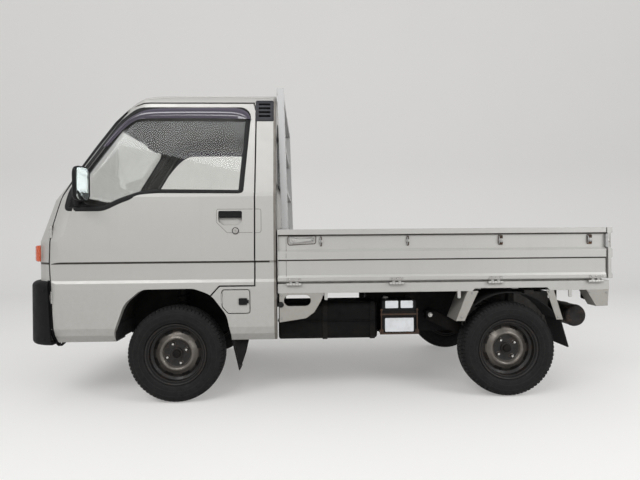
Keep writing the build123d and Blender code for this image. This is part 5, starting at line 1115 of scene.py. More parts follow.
def build_door_insides():
    """Trim board with its pocket and swage, armrest, window winder and inner opener of each door."""
    for side_name, side in SIDES:
        body = "door_" + side_name
        inner_y = DOOR_INNER_Y
        panel = Draft()
        outline = rounded_outline([(-560, 640), (-600, 800), (-590, 985), (-550, 1068), (-380, 1072),
                                   (-290, 1108), (-187, 1148), (-79, 1160), (360, 1154), (400, 1140),
                                   (408, 700), (300, 700), (150, 690), (-180, 690), (-330, 560),
                                   (-420, 430), (-560, 430)], [30] * 17, 5)
        panel.side_plate(outline, side * (inner_y - 0.5), side * (inner_y - 5.0), 0)
        pocket = rounded_outline([(-500, 470), (-520, 560), (-500, 620), (-330, 620), (-400, 500),
                                  (-420, 470)], [20] * 6, 4)
        panel.side_plate(pocket, side * (inner_y - 4.5), side * (inner_y - 26.0), 1)
        swage = rounded_outline([(-540, 1000), (-500, 1030), (-260, 1070), (-70, 1110), (370, 1104),
                                 (370, 1010), (-100, 1005), (-300, 985)], [24] * 8, 5)
        panel.side_plate(swage, side * (inner_y - 4.5), side * (inner_y - 8.5), 1)
        panel.piece("door_trim_" + side_name, ["trim", "interior"], body, "interior_plastic", bevel=2.0)
        rest = Draft()
        x0, x1, z = ARMREST
        outline = rounded_outline([(x0, z), (x0 + 18, z - 52), (x1 - 22, z - 60), (x1, z + 6),
                                   (x1 - 10, z + 14), (x0 + 6, z + 12)], [14, 16, 16, 12, 6, 6], 5)
        rest.side_plate(outline, side * (inner_y - 8.0), side * (inner_y - 46.0), 0)
        grip = rounded_outline([(x0 + 30, z - 14), (x0 + 34, z - 34), (x1 - 40, z - 38), (x1 - 36, z - 12)],
                               [8] * 4, 4)
        rest.side_plate(grip, side * (inner_y - 45.0), side * (inner_y - 49.0), 0)
        rest.piece("armrest_" + side_name, "interior", body, "interior_plastic", bevel=6.0, segments=3)
        winder = Draft()
        wx, wz = WINDER_PLACE
        hub = (wx, side * (inner_y - 5.0), wz)
        inwards = Vector((0, -side, 0))
        winder.turned(hub, inwards,
                      [(0.1, 0.0), (22.0, 0.0), (22.0, 3.0), (17.0, 9.0), (13.0, 16.0), (0.1, 18.0)], 28)
        arm_a = Vector(hub) + inwards * 15
        arm_b = arm_a + Vector((52, 0, -70))
        way = (arm_b - arm_a).normalized()
        across = way.cross(inwards)
        rings = []
        for share, width, lift in ((0.0, 10.0, 0.0), (0.4, 8.0, 6.0), (0.85, 7.0, 13.0), (1.0, 7.5, 14.0)):
            mid = arm_a.lerp(arm_b, share) + inwards * lift
            rings.append([mid + across * width, mid + across * width + inwards * 5,
                          mid - across * width + inwards * 5, mid - across * width])
        winder.bridge(rings)
        knob = arm_b + inwards * 17
        winder.turned(knob, inwards,
                      [(0.1, 0.0), (9.0, 0.0), (11.5, 8.0), (12.0, 20.0), (9.5, 27.0), (0.1, 29.0)], 22)
        winder.piece("window_winder_" + side_name, "black", body, "interior_plastic", bevel=1.0)
        opener = Draft()
        outline = rounded_outline([(240, 1036), (240, 1080), (330, 1082), (330, 1034)], [12] * 4, 5)
        opener.side_plate(outline, side * (inner_y - 8.0), side * (inner_y - 11.5), 0)
        lever = rounded_outline([(252, 1046), (252, 1070), (306, 1066), (306, 1050)], [8] * 4, 5)
        opener.side_plate(lever, side * (inner_y - 10.0), side * (inner_y - 19.0), 0)
        opener.piece("inner_opener_" + side_name, "black", body, "interior_plastic", bevel=2.0)


# Pressed edge round the handle: its runs on the door, and the one on the cab behind the shut line
HANDLE_BORDER_ON_DOOR = [[(438, 1078), (248, 1078), (240, 1071), (240, 1006), (298, 948), (438, 948)]]
HANDLE_BORDER_BEHIND = [[(453, 1078), (474, 1078), (482, 1075), (485, 1067), (485, 958), (481, 950),
                         (473, 947), (453, 947)]]


def groove_line(name, runs, skin, side, body):
    """Fine line of painted shade along the foot of a pressed edge."""
    draft = Draft()
    for run in runs:
        points = []
        for a, b in zip(run[:-1], run[1:]):
            points += divided(a, b, max(1, int(math.dist(a, b) / 12.0)))
        points.append(run[-1])
        rings = []
        for i, (x, z) in enumerate(points):
            x0, z0 = points[max(0, i - 1)]
            x1, z1 = points[min(len(points) - 1, i + 1)]
            way = Vector((x1 - x0, 0, z1 - z0)).normalized()
            across = Vector((-way.z, 0, way.x))
            base = abs(skin.side(x, z, side, side * 694.0))
            rings.append([(x + across.x * offset, side * (base + lift), z + across.z * offset)
                          for offset, lift in ((-1.5, -0.4), (-0.9, 0.35), (0.9, 0.35), (1.5, -0.4))])
        draft.bridge(rings, 0, False, False)
    draft.piece(name, "groove", body, "body_paint", smooth=70.0)


def build_door_outsides():
    for side_name, side in SIDES:
        body = "door_" + side_name
        skin = Skin("door_" + side_name, "cab_shell")
        lock = Draft()
        y = 698.5 * side
        out = Vector((0, side, 0))
        centre = Vector((344.0, y - side * 1.2, 958.0))
        lock.turned(centre, out, [(19.0, -1.5), (19.0, 0.6), (17.5, 1.4), (15.2, 1.4)], 32, 1)
        lock.turned(centre, out,
                    [(15.0, -1.5), (15.0, 0.9), (13.2, 2.1), (11.2, 2.2), (10.2, 1.2), (4.0, 1.2),
                     (3.6, 0.4), (0.1, 0.4)], 36)
        lock.box(343.1, 344.9, y - side * 0.2, y + side * 0.5, 953.0, 963.0)
        lock.piece("door_lock_" + side_name, ["bright", "seal"], body, "body_paint")
        flap = Draft()
        outline = rounded_rect(252, 379, 1030, 1067, [7, 9, 9, 7], 5, up_first=True)
        flap.side_plate(outline, side * 683.0, side * 695.0, 0)
        ridge = rounded_rect(260, 371, 1036, 1043, 3, 3, up_first=True)
        flap.side_plate(ridge, side * 694.0, side * 697.0, 0)
        made = flap.piece("pull_flap_" + side_name, "black", body, "black_plastic", bevel=2.5, segments=3)
        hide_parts("door_handle_" + side_name)
        groove_line("handle_border_" + side_name, HANDLE_BORDER_ON_DOOR, skin, side, body)
        groove_line("handle_border_behind_" + side_name, HANDLE_BORDER_BEHIND, skin, side, "root")


MIRROR_CENTRE = (-462.0, 769.0, 1214.0)
MIRROR_TURN = 30.0
MIRROR_HALF = 52.0


def build_mirrors():
    """Door mirrors: rounded shell, bezel, glass, arm with its joint and the foot's cover."""
    for side_name, side in SIDES:
        body = "door_" + side_name
        draft = Draft()
        cx, cy, cz = MIRROR_CENTRE
        front = cx - 30.5
        back = cx + 28.0
        outline = rounded_outline([(-51.5, -92), (51.5, -92), (52, 92), (-51, 92)], [34, 30, 32, 36], 8)
        rings = []
        for x, scale_y, scale_z, slant in ((front, 0.52, 0.66, 0.0), (front + 3, 0.68, 0.80, 0.0),
                                           (front + 9, 0.84, 0.905, 0.05), (front + 19, 0.945, 0.96, 0.25),
                                           (front + 36, 0.985, 0.985, 0.65), (back - 6, 1.0, 1.0, 1.0),
                                           (back, 0.99, 0.99, 1.0), (back + 1.5, 0.965, 0.975, 1.0),
                                           (back + 1.5, 0.93, 0.955, 1.0), (back - 4, 0.92, 0.945, 1.0)):
            rings.append([(x - slant * MIRROR_TURN * (a * scale_y + MIRROR_HALF) / (2 * MIRROR_HALF),
                           side * (cy + a * scale_y), cz + b * scale_z) for a, b in outline])
        draft.bridge(rings, 0)
        arm = [((-536, 688), 1116, 17), ((-520, 697), 1124, 17), ((-504, 708), 1132, 16),
               ((-488, 721), 1138, 15), ((-474, 732), 1143, 14)]
        rings = []
        for (mid_x, mid_y), mid_z, half in arm:
            rings.append([(mid_x, side * mid_y, mid_z - half),
                          (mid_x + 12, side * (mid_y - 3), mid_z - half * 0.8),
                          (mid_x + 12, side * (mid_y - 3), mid_z + half * 0.8),
                          (mid_x, side * mid_y, mid_z + half),
                          (mid_x - 8, side * (mid_y + 5), mid_z + half * 0.7),
                          (mid_x - 8, side * (mid_y + 5), mid_z - half * 0.7)])
        draft.bridge(rings, 0)
        draft.turned((-512, side * 704, 1102), (0, 0, 1),
                     [(0.1, 0.0), (13.0, 0.0), (14.5, 2.0), (14.5, 38.0), (12.0, 41.0), (0.1, 41.0)], 24, 0)
        foot = rounded_outline([(-563, 1095), (-452, 1095), (-470, 1114), (-500, 1140), (-533, 1190),
                                (-546, 1186)], [8, 10, 30, 40, 10, 6], 5)
        draft.bridge([[(x, side * (692.0 - (z - 1095) * 0.155 + lift - max(0.0, (-500 - x)) * 0.04), z)
                       for x, z in grown(foot, shrink)]
                      for lift, shrink in ((-9.0, 0.0), (2.0, 0.0), (6.0, -3.0), (8.5, -9.0))], 0)
        made = draft.piece("mirror_housing_" + side_name, "black", body, "black_plastic", smooth=38.0)
        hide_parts("door_mirror_" + side_name)
        glass = Draft()
        rings = []
        for x, shrink in ((back - 5, 0.93), (back - 0.4, 0.93), (back + 0.2, 0.90)):
            rings.append([(x - MIRROR_TURN * (a * shrink + MIRROR_HALF) / (2 * MIRROR_HALF),
                           side * (cy + a * shrink), cz + b * shrink * 1.02) for a, b in outline])
        glass.bridge(rings, 0)
        glass.piece("mirror_glass_" + side_name, "mirror", body, "black_plastic")


build_door_gap_seals()
build_front_corner_trim()
build_door_insides()
build_door_outsides()
build_mirrors()


# Nose: headlamps, slatted strip, indicators, wipers and bumper fittings

NOSE = -784.0
HEADLAMP_MIDDLE = (430, 843)


def scaled_ring(x, outline, middle, scale_y, scale_z):
    """Outline in front view scaled about its middle, at a place along the truck."""
    y0, z0 = middle
    return [(x, y0 + (y - y0) * scale_y, z0 + (z - z0) * scale_z) for y, z in outline]


def build_lamps():
    """Headlamps with rim, bowl, bulb and ribbed lens, and the slatted strip between them."""
    for side_name, side in SIDES:
        middle = (side * HEADLAMP_MIDDLE[0], HEADLAMP_MIDDLE[1])
        lamp = Draft()
        face = [(side * y, z) for y, z in rounded_rect(334, 526, 788, 898, 14, 6)]
        rim = [(side * y, z) for y, z in rounded_rect(330, 530, 784, 902, 16, 6)]
        rings = [[(x, y, z) for y, z in rim] for x in (NOSE + 2, NOSE - 15)]
        for x, scale_y, scale_z in ((NOSE - 17.5, 0.985, 0.98), (NOSE - 17.5, 0.93, 0.90),
                                    (NOSE - 12, 0.925, 0.895)):
            rings.append(scaled_ring(x, rim, middle, scale_y, scale_z))
        lamp.bridge(rings, 0, True, False)
        lamp.bridge([scaled_ring(x, face, middle, scale, scale)
                     for x, scale in ((NOSE - 12, 0.90), (NOSE - 8, 0.84), (NOSE - 3, 0.6),
                                      (NOSE - 0.5, 0.3), (NOSE - 0.3, 0.04))], 1)
        lamp.turned((NOSE - 2, *middle), (-1, 0, 0), [(0.1, 10.0), (7.0, 9.0), (9.0, 4.0), (9.0, 0.0)], 24,
                    2)
        lamp.piece("headlamp_body_" + side_name, ["bright", "mirror", "clear_lens"], "root", "lamp_glass",
                   smooth=45.0)
        glass = Draft()
        glass.bridge([scaled_ring(x, face, middle, scale, scale)
                      for x, scale in ((NOSE - 13, 0.925), (NOSE - 17.5, 0.925), (NOSE - 19.2, 0.89),
                                       (NOSE - 20.0, 0.80), (NOSE - 20.0, 0.05))], 0)
        for i in range(13):
            y = side * (352 + i * 13)
            glass.bridge([[(NOSE - 17.0, y - 3.2, z), (NOSE - 19.4, y, z), (NOSE - 17.0, y + 3.2, z)]
                          for z in (806, 880)], 0)
        made = glass.piece("headlamp_lens_" + side_name, "clear_lens", "root", "lamp_glass", smooth=30.0)
        if side < 0:
            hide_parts("headlamps")
    skin = Skin("cab_shell")
    panel = Draft()

    def nose_row(half, z, lift):
        """Row of points across the nose at a distance from its skin."""
        places = [-half + 2 * half * i / 14 for i in range(15)]
        return [(skin.front(y, 840, NOSE) + lift, y, z) for y in places]

    panel.bridge([nose_row(318, z, lift) for z, lift in (
        (868, 0.4), (866, -4.0), (836, -5.0), (812, -4.0), (810, 0.4))], 0, False, False)
    for row in range(4):
        z = 818 + row * 11.5
        panel.bridge([nose_row(312, z + up, lift) for up, lift in (
            (-1.5, -4.0), (0.0, -7.4), (4.2, -7.6), (5.6, -4.0))], 0, False, False)
    panel.piece("front_grille_strip", "black", "root", "black_plastic", smooth=40.0)


def build_indicators():
    """Corner indicators: ribbed orange lens on a painted base."""
    for side_name, side in SIDES:
        cx = NOSE + 180.0
        cy = 517.5

        def sweep(section, first, last):
            rings = []
            for k in range(17):
                angle = math.radians(first + (last - first) * k / 16)
                rings.append([(cx - r * math.cos(angle), side * (cy + r * math.sin(angle)), z)
                              for r, z in section])
            return rings

        base = Draft()
        base.bridge(sweep([(176.0, 793.0), (183.0, 793.0), (184.5, 795.0), (184.5, 887.0), (183.0, 889.0),
                           (176.0, 889.0)], 5, 45))
        base.piece("indicator_base_" + side_name, "paint", "root", "body_paint")
        lamp = Draft()
        section = [(182.0, 797.0), (198.0, 797.0), (203.0, 799.5), (204.8, 804.0)]
        for k in range(7):
            z = 808.0 + k * 11.0
            section += [(204.9, z - 3.0), (205.3, z), (204.9, z + 3.0)]
        section += [(204.8, 879.0), (203.0, 883.0), (198.0, 885.5), (182.0, 885.5)]
        lamp.bridge(sweep(section, 7, 42))
        made = lamp.piece("indicator_lens_" + side_name, "orange", "root", "orange_lens", smooth=45.0)
        if side < 0:
            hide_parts("indicators")


def build_wipers():
    """Wiper arms with their caps, hinge and blade, parked low on the screen."""
    foot = Vector((-702.0, 0.0, 1140.0))
    along = Vector((330.0, 0.0, 460.0)).normalized()
    out = Vector((-along.z, 0, along.x))
    made = Draft()
    for pivot in (60.0, -420.0):
        def at(across, up, lift):
            return foot + Vector((0, across, 0)) + along * up + out * lift
        made.turned(at(pivot, 12, 0), out,
                    [(0.1, 0.0), (15.0, 0.0), (15.0, 3.0), (11.0, 5.0), (11.0, 12.0), (8.0, 14.5),
                     (0.1, 15.0)], 24, 0)
        rings = []
        for share, width, thick in ((0.0, 9.0, 7.0), (0.12, 7.0, 7.0), (0.4, 5.0, 5.0), (1.0, 4.0, 3.5)):
            a = pivot + 395.0 * share
            up = 12.0 + 14.0 * share
            rings.append([at(a, up - width, 9 + thick), at(a, up + width, 9 + thick),
                          at(a, up + width, 9.0), at(a, up - width, 9.0)])
        made.bridge(rings, 0)
        a0, a1 = pivot + 60.0, pivot + 445.0
        made.bridge([[at(a, 38, 15), at(a, 46, 15), at(a, 46, 11), at(a, 38, 11)]
                     for a in (a0 + 40, a1 - 40)], 0)
        made.bridge([[at(a, 40, 11), at(a, 44, 11), at(a, 43, 1.5), at(a, 41, 1.5)] for a in (a0, a1)], 1)
        for a in (a0 + 40, (a0 + a1) / 2, a1 - 40):
            made.bridge([[at(a - 5, 36, 18), at(a + 5, 36, 18), at(a + 5, 36, 10), at(a - 5, 36, 10)],
                         [at(a - 4, 48, 18), at(a + 4, 48, 18), at(a + 4, 48, 10), at(a - 4, 48, 10)]], 0)
        mid = (a0 + a1) / 2
        made.bridge([[at(mid - 6, 20, 17), at(mid + 6, 20, 17), at(mid + 6, 20, 12), at(mid - 6, 20, 12)],
                     [at(mid - 6, 42, 21), at(mid + 6, 42, 21), at(mid + 6, 42, 15), at(mid - 6, 42, 15)]],
                    0)
    piece = made.piece("wiper_arms", ["black", "seal"], "root", "black_plastic", bevel=0.8)
    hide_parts("wipers")


def build_bumper_fittings():
    """Bolts at the bumper's ends and the slats in its opening."""
    skin = Skin("front_bumper")
    trim = Draft()
    for _, side in SIDES:
        for z in (372, 640):
            trim.bolt((-700 + (2 if z > 500 else 0), side * (skin_half(skin, -700, z, side)), z),
                      (0, side, 0), 5.0, 0)
    for row in range(3):
        low = 400 + row * 38
        trim.box(NOSE - 22, NOSE - 16, -302, 302, low + 4, low + 18, 1)
    trim.piece("bumper_fixings", ["black", "chassis"], "root", "black_plastic", bevel=0.6)


def skin_half(skin, x, z, side):
    """Half width of a skin at a place in side view."""
    return abs(skin.side(x, z, side, side * 690.0)) - 0.3


build_lamps()
build_indicators()
build_wipers()
build_bumper_fittings()


# Sides of the cab: filler latch and cap, vent frames and roof gutters


def build_cab_side_details():
    """Filler latch and cap, and a frame round each louvred vent."""
    latch = Draft()
    latch.side_plate(rounded_rect(358, 404, 548, 585, 5, 4, up_first=True), -688.0, -698.0, 0)
    latch.side_plate(rounded_rect(364, 392, 554, 579, 5, 4, up_first=True), -697.4, -700.4, 0)
    latch.side_plate(rounded_rect(403, 413, 558, 575, 2, 3, up_first=True), -692.0, -697.0, 0)
    latch.piece("filler_latch", "black", "filler_lid", "black_plastic", bevel=1.2)
    neck = Draft()
    neck.turned((350, -640, 560), (0, -1, 0),
                [(30.0, -20.0), (34.0, 0.0), (34.0, 12.0), (31.0, 16.0), (31.0, 24.0), (26.0, 26.0),
                 (0.1, 26.0)], 32, 0)
    for i in range(6):
        a = math.pi / 3 * i
        neck.box(350 + 29 * math.cos(a) - 3, 350 + 29 * math.cos(a) + 3, -664, -656,
                 560 + 29 * math.sin(a) - 3, 560 + 29 * math.sin(a) + 3)
    neck.piece("filler_cap", "black", "root", "black_plastic", bevel=1.0)
    for side_name, side in SIDES:
        skin = Skin("cab_shell", "cab_vents")
        frame_line = rounded_rect(456, 552, 1584, 1700, 6, 4)
        draft = Draft()
        path = spread(frame_line, 20.0)
        bases = [abs(skin.side(min(548, max(460, x)), min(1696, max(1588, z)), side, side * 600.0))
                 for x, z in path]
        draft.strip(path, ((3.5, -2.0), (3.5, 1.6), (-3.0, 2.2), (-6.0, -3.0)), beside(side, bases))
        draft.piece("vent_frame_" + side_name, "slate", "root", "black_plastic")


GUTTER = [(-150, 1716), (-40, 1727), (120, 1731), (300, 1731), (440, 1727), (556, 1720)]


def build_roof_gutters():
    """Rolled drip edge along each side of the roof."""
    for side_name, side in SIDES:
        skin = Skin("cab_shell")
        draft = Draft()
        rings = []
        for x, z in spread_line(GUTTER, 3):
            base = abs(skin.side(x, z, side, side * 596.0))
            rings.append([(x, side * (base - 2), z - 5), (x, side * (base + 2.5), z - 4),
                          (x, side * (base + 4.5), z), (x, side * (base + 3.0), z + 3),
                          (x, side * (base - 1), z + 2.5)])
        draft.bridge(rings, 0)
        draft.piece("roof_gutter_" + side_name, "paint", "root", "body_paint", smooth=70.0)


build_cab_side_details()
build_roof_gutters()


# Bed: hinge leaves, latches, clips, floor ribs, bolts, rubber stops and the guard's fixings

GATE_LOW = 673.5
SIDE_HINGES = (664.0, 1238.0, 1797.0, 2372.0)
GATE_TABS = (816.0, 1304.0, 1831.0, 2343.0)


def build_gate_fittings():
    """Hinge leaves, latches, clips and end caps of the drop sides, and the rear gate's fittings."""
    for side_name, side in SIDES:
        body = "gate_" + side_name
        out = Vector((0, side, 0))
        leaves = Draft()
        for x in SIDE_HINGES:
            outline = rounded_rect(x - 40, x + 40, 675, 692, [2, 2, 4, 4], 3)
            leaves.side_plate(outline, side * 696.0, side * 699.0, 0)
            for dx in (-26, 0, 26):
                leaves.bolt((x + dx, side * 698.9, 684.5), out, 3.4, 1)
        leaves.piece("hinge_leaves_" + side_name, ["bright", "nut"], body, "body_paint", bevel=0.6)
        lever = Draft()
        outline = rounded_outline([(641, 922), (640, 893), (652, 885), (772, 897), (780, 906), (774, 918),
                                   (700, 914)], [8, 10, 8, 8, 6, 7, 40], 5)
        lever.side_plate(outline, side * 686.5, side * 691.5, 0)
        inner = grown(outline, -5.0)
        lever.bridge([[(x, side * 691.0, z) for x, z in outline],
                      [(x, side * 695.4, z) for x, z in grown(outline, -1.0)],
                      [(x, side * 695.4, z) for x, z in grown(outline, -3.4)],
                      [(x, side * 692.0, z) for x, z in inner]], 0, True, False)
        lever.turned((664, side * 689, 904), out,
                     [(0.1, 0.0), (11.0, 0.0), (11.0, 5.5), (8.0, 8.0), (0.1, 8.4)], 26, 1)
        lever.tube([(760, side * 689, 905), (768, side * 694, 905), (777, side * 694.5, 905)], 3.4, 10, 0)
        lever.piece("latch_lever_" + side_name, ["galvanised", "bright"], body, "body_paint", bevel=1.0)
        recess = Draft()
        # The recess's walls take the groove paint, as painted shade
        cup = rounded_outline([(628, 930), (628, 872), (790, 880), (792, 930)], [16] * 4, 5)
        recess.strip(spread(cup, 30.0), ((0.0, 681.3), (-2.0, 683.2), (-5.0, 683.2), (-7.0, 681.3)),
                     lambda i, spot, y: (spot[0], side * y, spot[1]))
        recess.side_plate(grown(cup, -5.0), side * 679.0, side * 682.0, 3)
        for x, half in zip(GATE_TABS, (5.0, 6.0, 13.0, 14.0)):
            recess.side_plate(rounded_rect(x - half, x + half, 868, 922, min(4, half - 1), 3,
                                           up_first=True), side * 681.0, side * 685.5, 1)
            recess.tube([(x - half + 3, side * 684, 918), (x - half + 3, side * 690, 912),
                         (x - half + 3, side * 692, 895), (x - half + 3, side * 689, 878),
                         (x - half + 3, side * 684, 873)], 2.6, 8, 2)
            if half > 8:
                recess.turned((x + 3, side * 685, 890), out,
                              [(0.1, 0.0), (9.0, 0.0), (9.0, 4.0), (6.0, 6.0), (0.1, 6.4)], 24, 2)
        recess.piece("recess_fittings_" + side_name, ["groove", "rusty", "galvanised", "nut"], body,
                     "body_paint", bevel=0.8)
        groove_line("gate_end_seams_" + side_name, [[(622, 916), (622, 694)], [(2432, 916), (2432, 694)]],
                    Skin("gate_" + side_name), side, body)
        ends = Draft()
        for x, way in ((574.0, 1), (2459.0, -1)):
            a, b = sorted((x, x + way * 3.0))
            ends.bridge([[(q, side * (697.7 - inset), GATE_LOW + z) for inset, z in
                          ((2.0, 2), (2.0, 286), (28.5, 286), (25.5, 250), (24, 2))] for q in (a, b)], 0)
        ends.piece("gate_end_caps_" + side_name, "gate", body, "body_paint", bevel=0.8)
        corner = Draft()
        x = 2464.0
        corner.side_plate(rounded_outline([(x - 34, 925), (x - 34, 850), (x - 12, 846), (x - 10, 928)],
                                          [8, 8, 5, 5], 4), side * 682.0, side * 697.0, 0)
        corner.turned((x - 24, side * 690, 902), out, [(0.1, 0.0), (9.0, 0.0), (9.0, 6.5), (0.1, 7.0)], 24,
                      1)
        corner.tube([(x - 24, side * 694, 894), (x - 14, side * 696, 880), (x - 12, side * 695, 862)], 4.0,
                    10, 1)
        corner.piece("rear_latch_" + side_name, ["galvanised", "bright"], body, "body_paint", bevel=0.9)
    leaves = Draft()
    for y in (-520.0, 0.0, 520.0):
        x = 2468.0
        leaves.front_plate(rounded_rect(y - 40, y + 40, 675, 692, [2, 2, 4, 4], 3), x - 2.5, x + 1.0, 0)
        for dy in (-26, 0, 26):
            leaves.bolt((x + 0.9, y + dy, 684.5), (1, 0, 0), 3.0, 1)
    for side in (-1, 1):
        leaves.front_plate(rounded_rect(side * 640, side * 690, 852, 926, 6, 4),
                           2451.5, 2456.5, 0)
        leaves.turned((2456, side * 664, 892), (1, 0, 0),
                      [(0.1, 0.0), (10.0, 0.0), (10.0, 5.0), (0.1, 6.0)], 24, 1)
        leaves.tube([(2459, side * 664, 892), (2462, side * 640, 884), (2462, side * 590, 884)], 4.2, 10, 1)
    leaves.piece("tailgate_fittings", ["bright", "galvanised"], "tailgate", "body_paint", bevel=0.7)


def build_bed_details():
    """Floor ribs and sheet, pressings of the front panel, bracket bolts and rubber stops."""
    ribs = Draft()
    z = 668.0
    for i in range(17):
        y = -600.0 + 75.0 * i
        rings = []
        for x, shrink in ((610.0, 0.3), (622.0, 1.0), (2400.0, 1.0), (2412.0, 0.3)):
            rings.append([(x, y - 13 * shrink, z - 0.5), (x, y - 9 * shrink, z + 4.5 * shrink),
                          (x, y + 9 * shrink, z + 4.5 * shrink), (x, y + 13 * shrink, z - 0.5)])
        ribs.bridge(rings, 0)
    ribs.piece("bed_floor_ribs", "bed", "root", "body_paint", bevel=1.0)
    sheet = Draft()
    sheet.box(602, 2424, -656.5, 656.5, z - 0.2, z + 0.8)
    for i in range(9):
        x = 574.0 + 50.0 + i * ((2425.5 - 574.0 - 120) / 8)
        for y in (-640, -320, 0, 320, 640):
            sheet.turned((x, y, z + 0.7), (0, 0, 1), [(7.0, 0.0), (5.5, 0.7), (0.1, 0.9)], 16)
    sheet.piece("bed_floor_sheet", "bed", "root", "body_paint")
    front = Draft()
    x = 600.0
    for row in range(3):
        low = 700.0 + row * 86.0
        for y0, y1 in ((-640, -220), (-200, 200), (220, 640)):
            outline = rounded_rect(y0, y1, low, low + 60, 14, 5)
            front.bridge([[(x - 1, a, b) for a, b in outline],
                          [(x + 3.5, a, b) for a, b in grown(outline, -6.0)]], 0)
    front.piece("front_panel_pressings", "gate", "root", "body_paint", smooth=35.0)
    bolts = Draft()
    for _, side in SIDES:
        out = Vector((0, side, 0))
        for x, zz in ((594, 596), (594, 470), (824, 598), (1668, 596), (1606, 462), (2109, 600),
                      (2160, 455), (2340, 596), (2440, 592)):
            bolts.bolt((x, side * 683.8, zz), out, 5.0, 0)
    bolts.piece("bracket_bolts", "galvanised", "root", "body_paint", bevel=0.5)
    stop = Draft()
    for _, side in SIDES:
        stop.turned((590, side * 683.5, 545), (0, side, 0),
                    [(0.1, 0.0), (16.0, 0.0), (16.0, 4.0), (12.0, 12.0), (7.0, 14.0), (0.1, 14.3)], 28, 0)
    stop.piece("rubber_stops", "seal", "root", "black_plastic")


def build_guard_details():
    """Bolts, welds and end plates of the guard frame."""
    guard = Draft()
    for side in (-1, 1):
        y = side * 581.0
        for dx in (8.0, 52.0):
            guard.bolt((584 + dx, side * 550, 969.5), (0, 0, 1), 6.5, 1)
            guard.bolt((584 + dx, side * 603.0, 969.5), (0, 0, 1), 3.6, 1)
        for z in (1226.0, 1504.0, 1757.0):
            x = 594.0 - 20.0 * (z - 963.0) / 813.0 + 19
            for lift in (-1, 1):
                guard.tube([(x - 14, side * 561.4, z + lift * 15), (x, side * 561.0, z + lift * 16),
                            (x + 14, side * 561.4, z + lift * 15)], 2.6, 8, 0)
        guard.front_plate(rounded_rect(y - 17, y + 17, 1738, 1774, 4, 3), 573.0, 575.4, 0)
    guard.piece("guard_fixings", ["guard", "bright"], "root", "guard_paint", bevel=0.6)


build_gate_fittings()
build_bed_details()
build_guard_details()


# Under the bed: battery, tank, springs, brakes, engine, muffler and rear lamps


def build_battery_details():
    """Blank labels, caps, poles and hold-down of the battery."""
    draft = Draft()
    y = -646.5
    for x0, x1, z0, z1 in ((1178, 1342, 378, 456), (1180, 1254, 512, 554), (1268, 1338, 512, 554)):
        draft.side_plate(rounded_rect(x0, x1, z0, z1, 5, 4), y + 2.2, y - 0.6, 0)
    draft.piece("battery_labels", "label", "root", "battery_case", bevel=0.3)
    case = Draft()
    for i in range(8):
        x = 1176 + i * 24
        case.side_plate(rounded_rect(x, x + 8, 376, 388, 2, 2), -644.5, -647.0, 0)
    for i in range(6):
        x = 1184 + i * 28.5
        case.turned((x, -560, 551), (0, 0, 1),
                    [(0.1, 0.0), (12.0, 0.0), (12.0, 3.0), (10.0, 6.0), (0.1, 6.5)], 18, 0)
    for x, key in ((1191, 1), (1326, 2)):
        case.turned((x, -544, 552), (0, 0, 1),
                    [(0.1, 0.0), (15.0, 0.0), (15.0, 7.0), (10.0, 9.0), (8.0, 20.5), (0.1, 21.0)], 22, key)
        case.box(x - 4, x + 22, -552, -536, 556, 566, key)
    case.piece("battery_caps", ["black", "bright", "seal"], "root", "battery_case", bevel=1.0)
    hold = Draft()
    hold.side_plate(rounded_rect(1150, 1366, 474, 482, 2, 2), -652.0, -655.0, 0)
    for x in (1157, 1360):
        hold.tube([(x, -656.0, 368), (x, -656.0, 470), (x, -655.0, 510)], 3.4, 10, 0)
        hold.turned((x, -655.5, 500), (0, 0, 1),
                    [(0.1, 0.0), (7.5, 0.0), (7.5, 6.0), (5.0, 8.0), (0.1, 8.0)], 6, 0)
        hold.side_plate(rounded_rect(x - 10, x + 10, 366, 392, 3, 3), -652.0, -655.5, 0)
    hold.box(1148, 1370, -654, -650, 364, 374, 0)
    hold.piece("battery_hold_down", "rusty", "root", "chassis_paint", bevel=0.8)


def build_tank_details():
    """Seam, straps, drain plug and sender of the fuel tank."""
    draft = Draft()
    ring = rounded_rect(566.5, 1146, -354, -616, 30, 6)
    low = [(x + (856 - x) * 0.02, y + (-485 - y) * 0.035) for x, y in ring]
    draft.bridge([[(x, y, 436.0) for x, y in low], [(x, y, 436.5) for x, y in ring],
                  [(x, y, 440.5) for x, y in ring], [(x, y, 441.0) for x, y in low]], 0)
    for x in (838, 1112):
        band = ((-358, 520), (-358, 350), (-376, 331.5), (-594, 331.5), (-612.5, 350), (-612.5, 526),
                (-596, 545), (-420, 545.5))
        draft.bridge([[(x - 14, y, z) for y, z in band],
                      [(x - 14, y - (1.8 if y < -500 else 0), z) for y, z in band],
                      [(x + 14, y - (1.8 if y < -500 else 0), z) for y, z in band],
                      [(x + 14, y, z) for y, z in band]], 1, False, False)
    draft.turned((856, -485, 331), (0, 0, -1),
                 [(0.1, 0.0), (15.0, 0.0), (15.0, 3.0), (9.0, 4.0), (9.0, 9.0), (0.1, 9.5)], 6, 1)
    draft.turned((1085, -470, 543), (0, 0, 1),
                 [(0.1, 0.0), (28.0, 0.0), (28.0, 4.0), (22.0, 6.0), (0.1, 6.5)], 28, 1)
    draft.piece("tank_seam_and_straps", ["tank", "chassis"], "root", "chassis_paint", bevel=0.8)


def spring(draft, centre, radius, wire, turns, length, slot):
    """Upright coil spring."""
    path = []
    count = 18
    a = Vector((0, 0, 1))
    u = a.orthogonal().normalized()
    v = a.cross(u)
    total = int(turns * count)
    for i in range(total + 1):
        angle = 2 * math.pi * i / count
        share = i / total
        path.append(Vector(centre) + a * (length * share) + u * (radius * math.cos(angle)) + v
                    * (radius * math.sin(angle)))
    draft.tube(path, wire, 8, slot)


BACKING_PLATE = [(40.0, -2.0), (98.0, -2.0), (106.0, 4.0), (106.0, 8.0), (60.0, 8.0), (40.0, 6.0)]


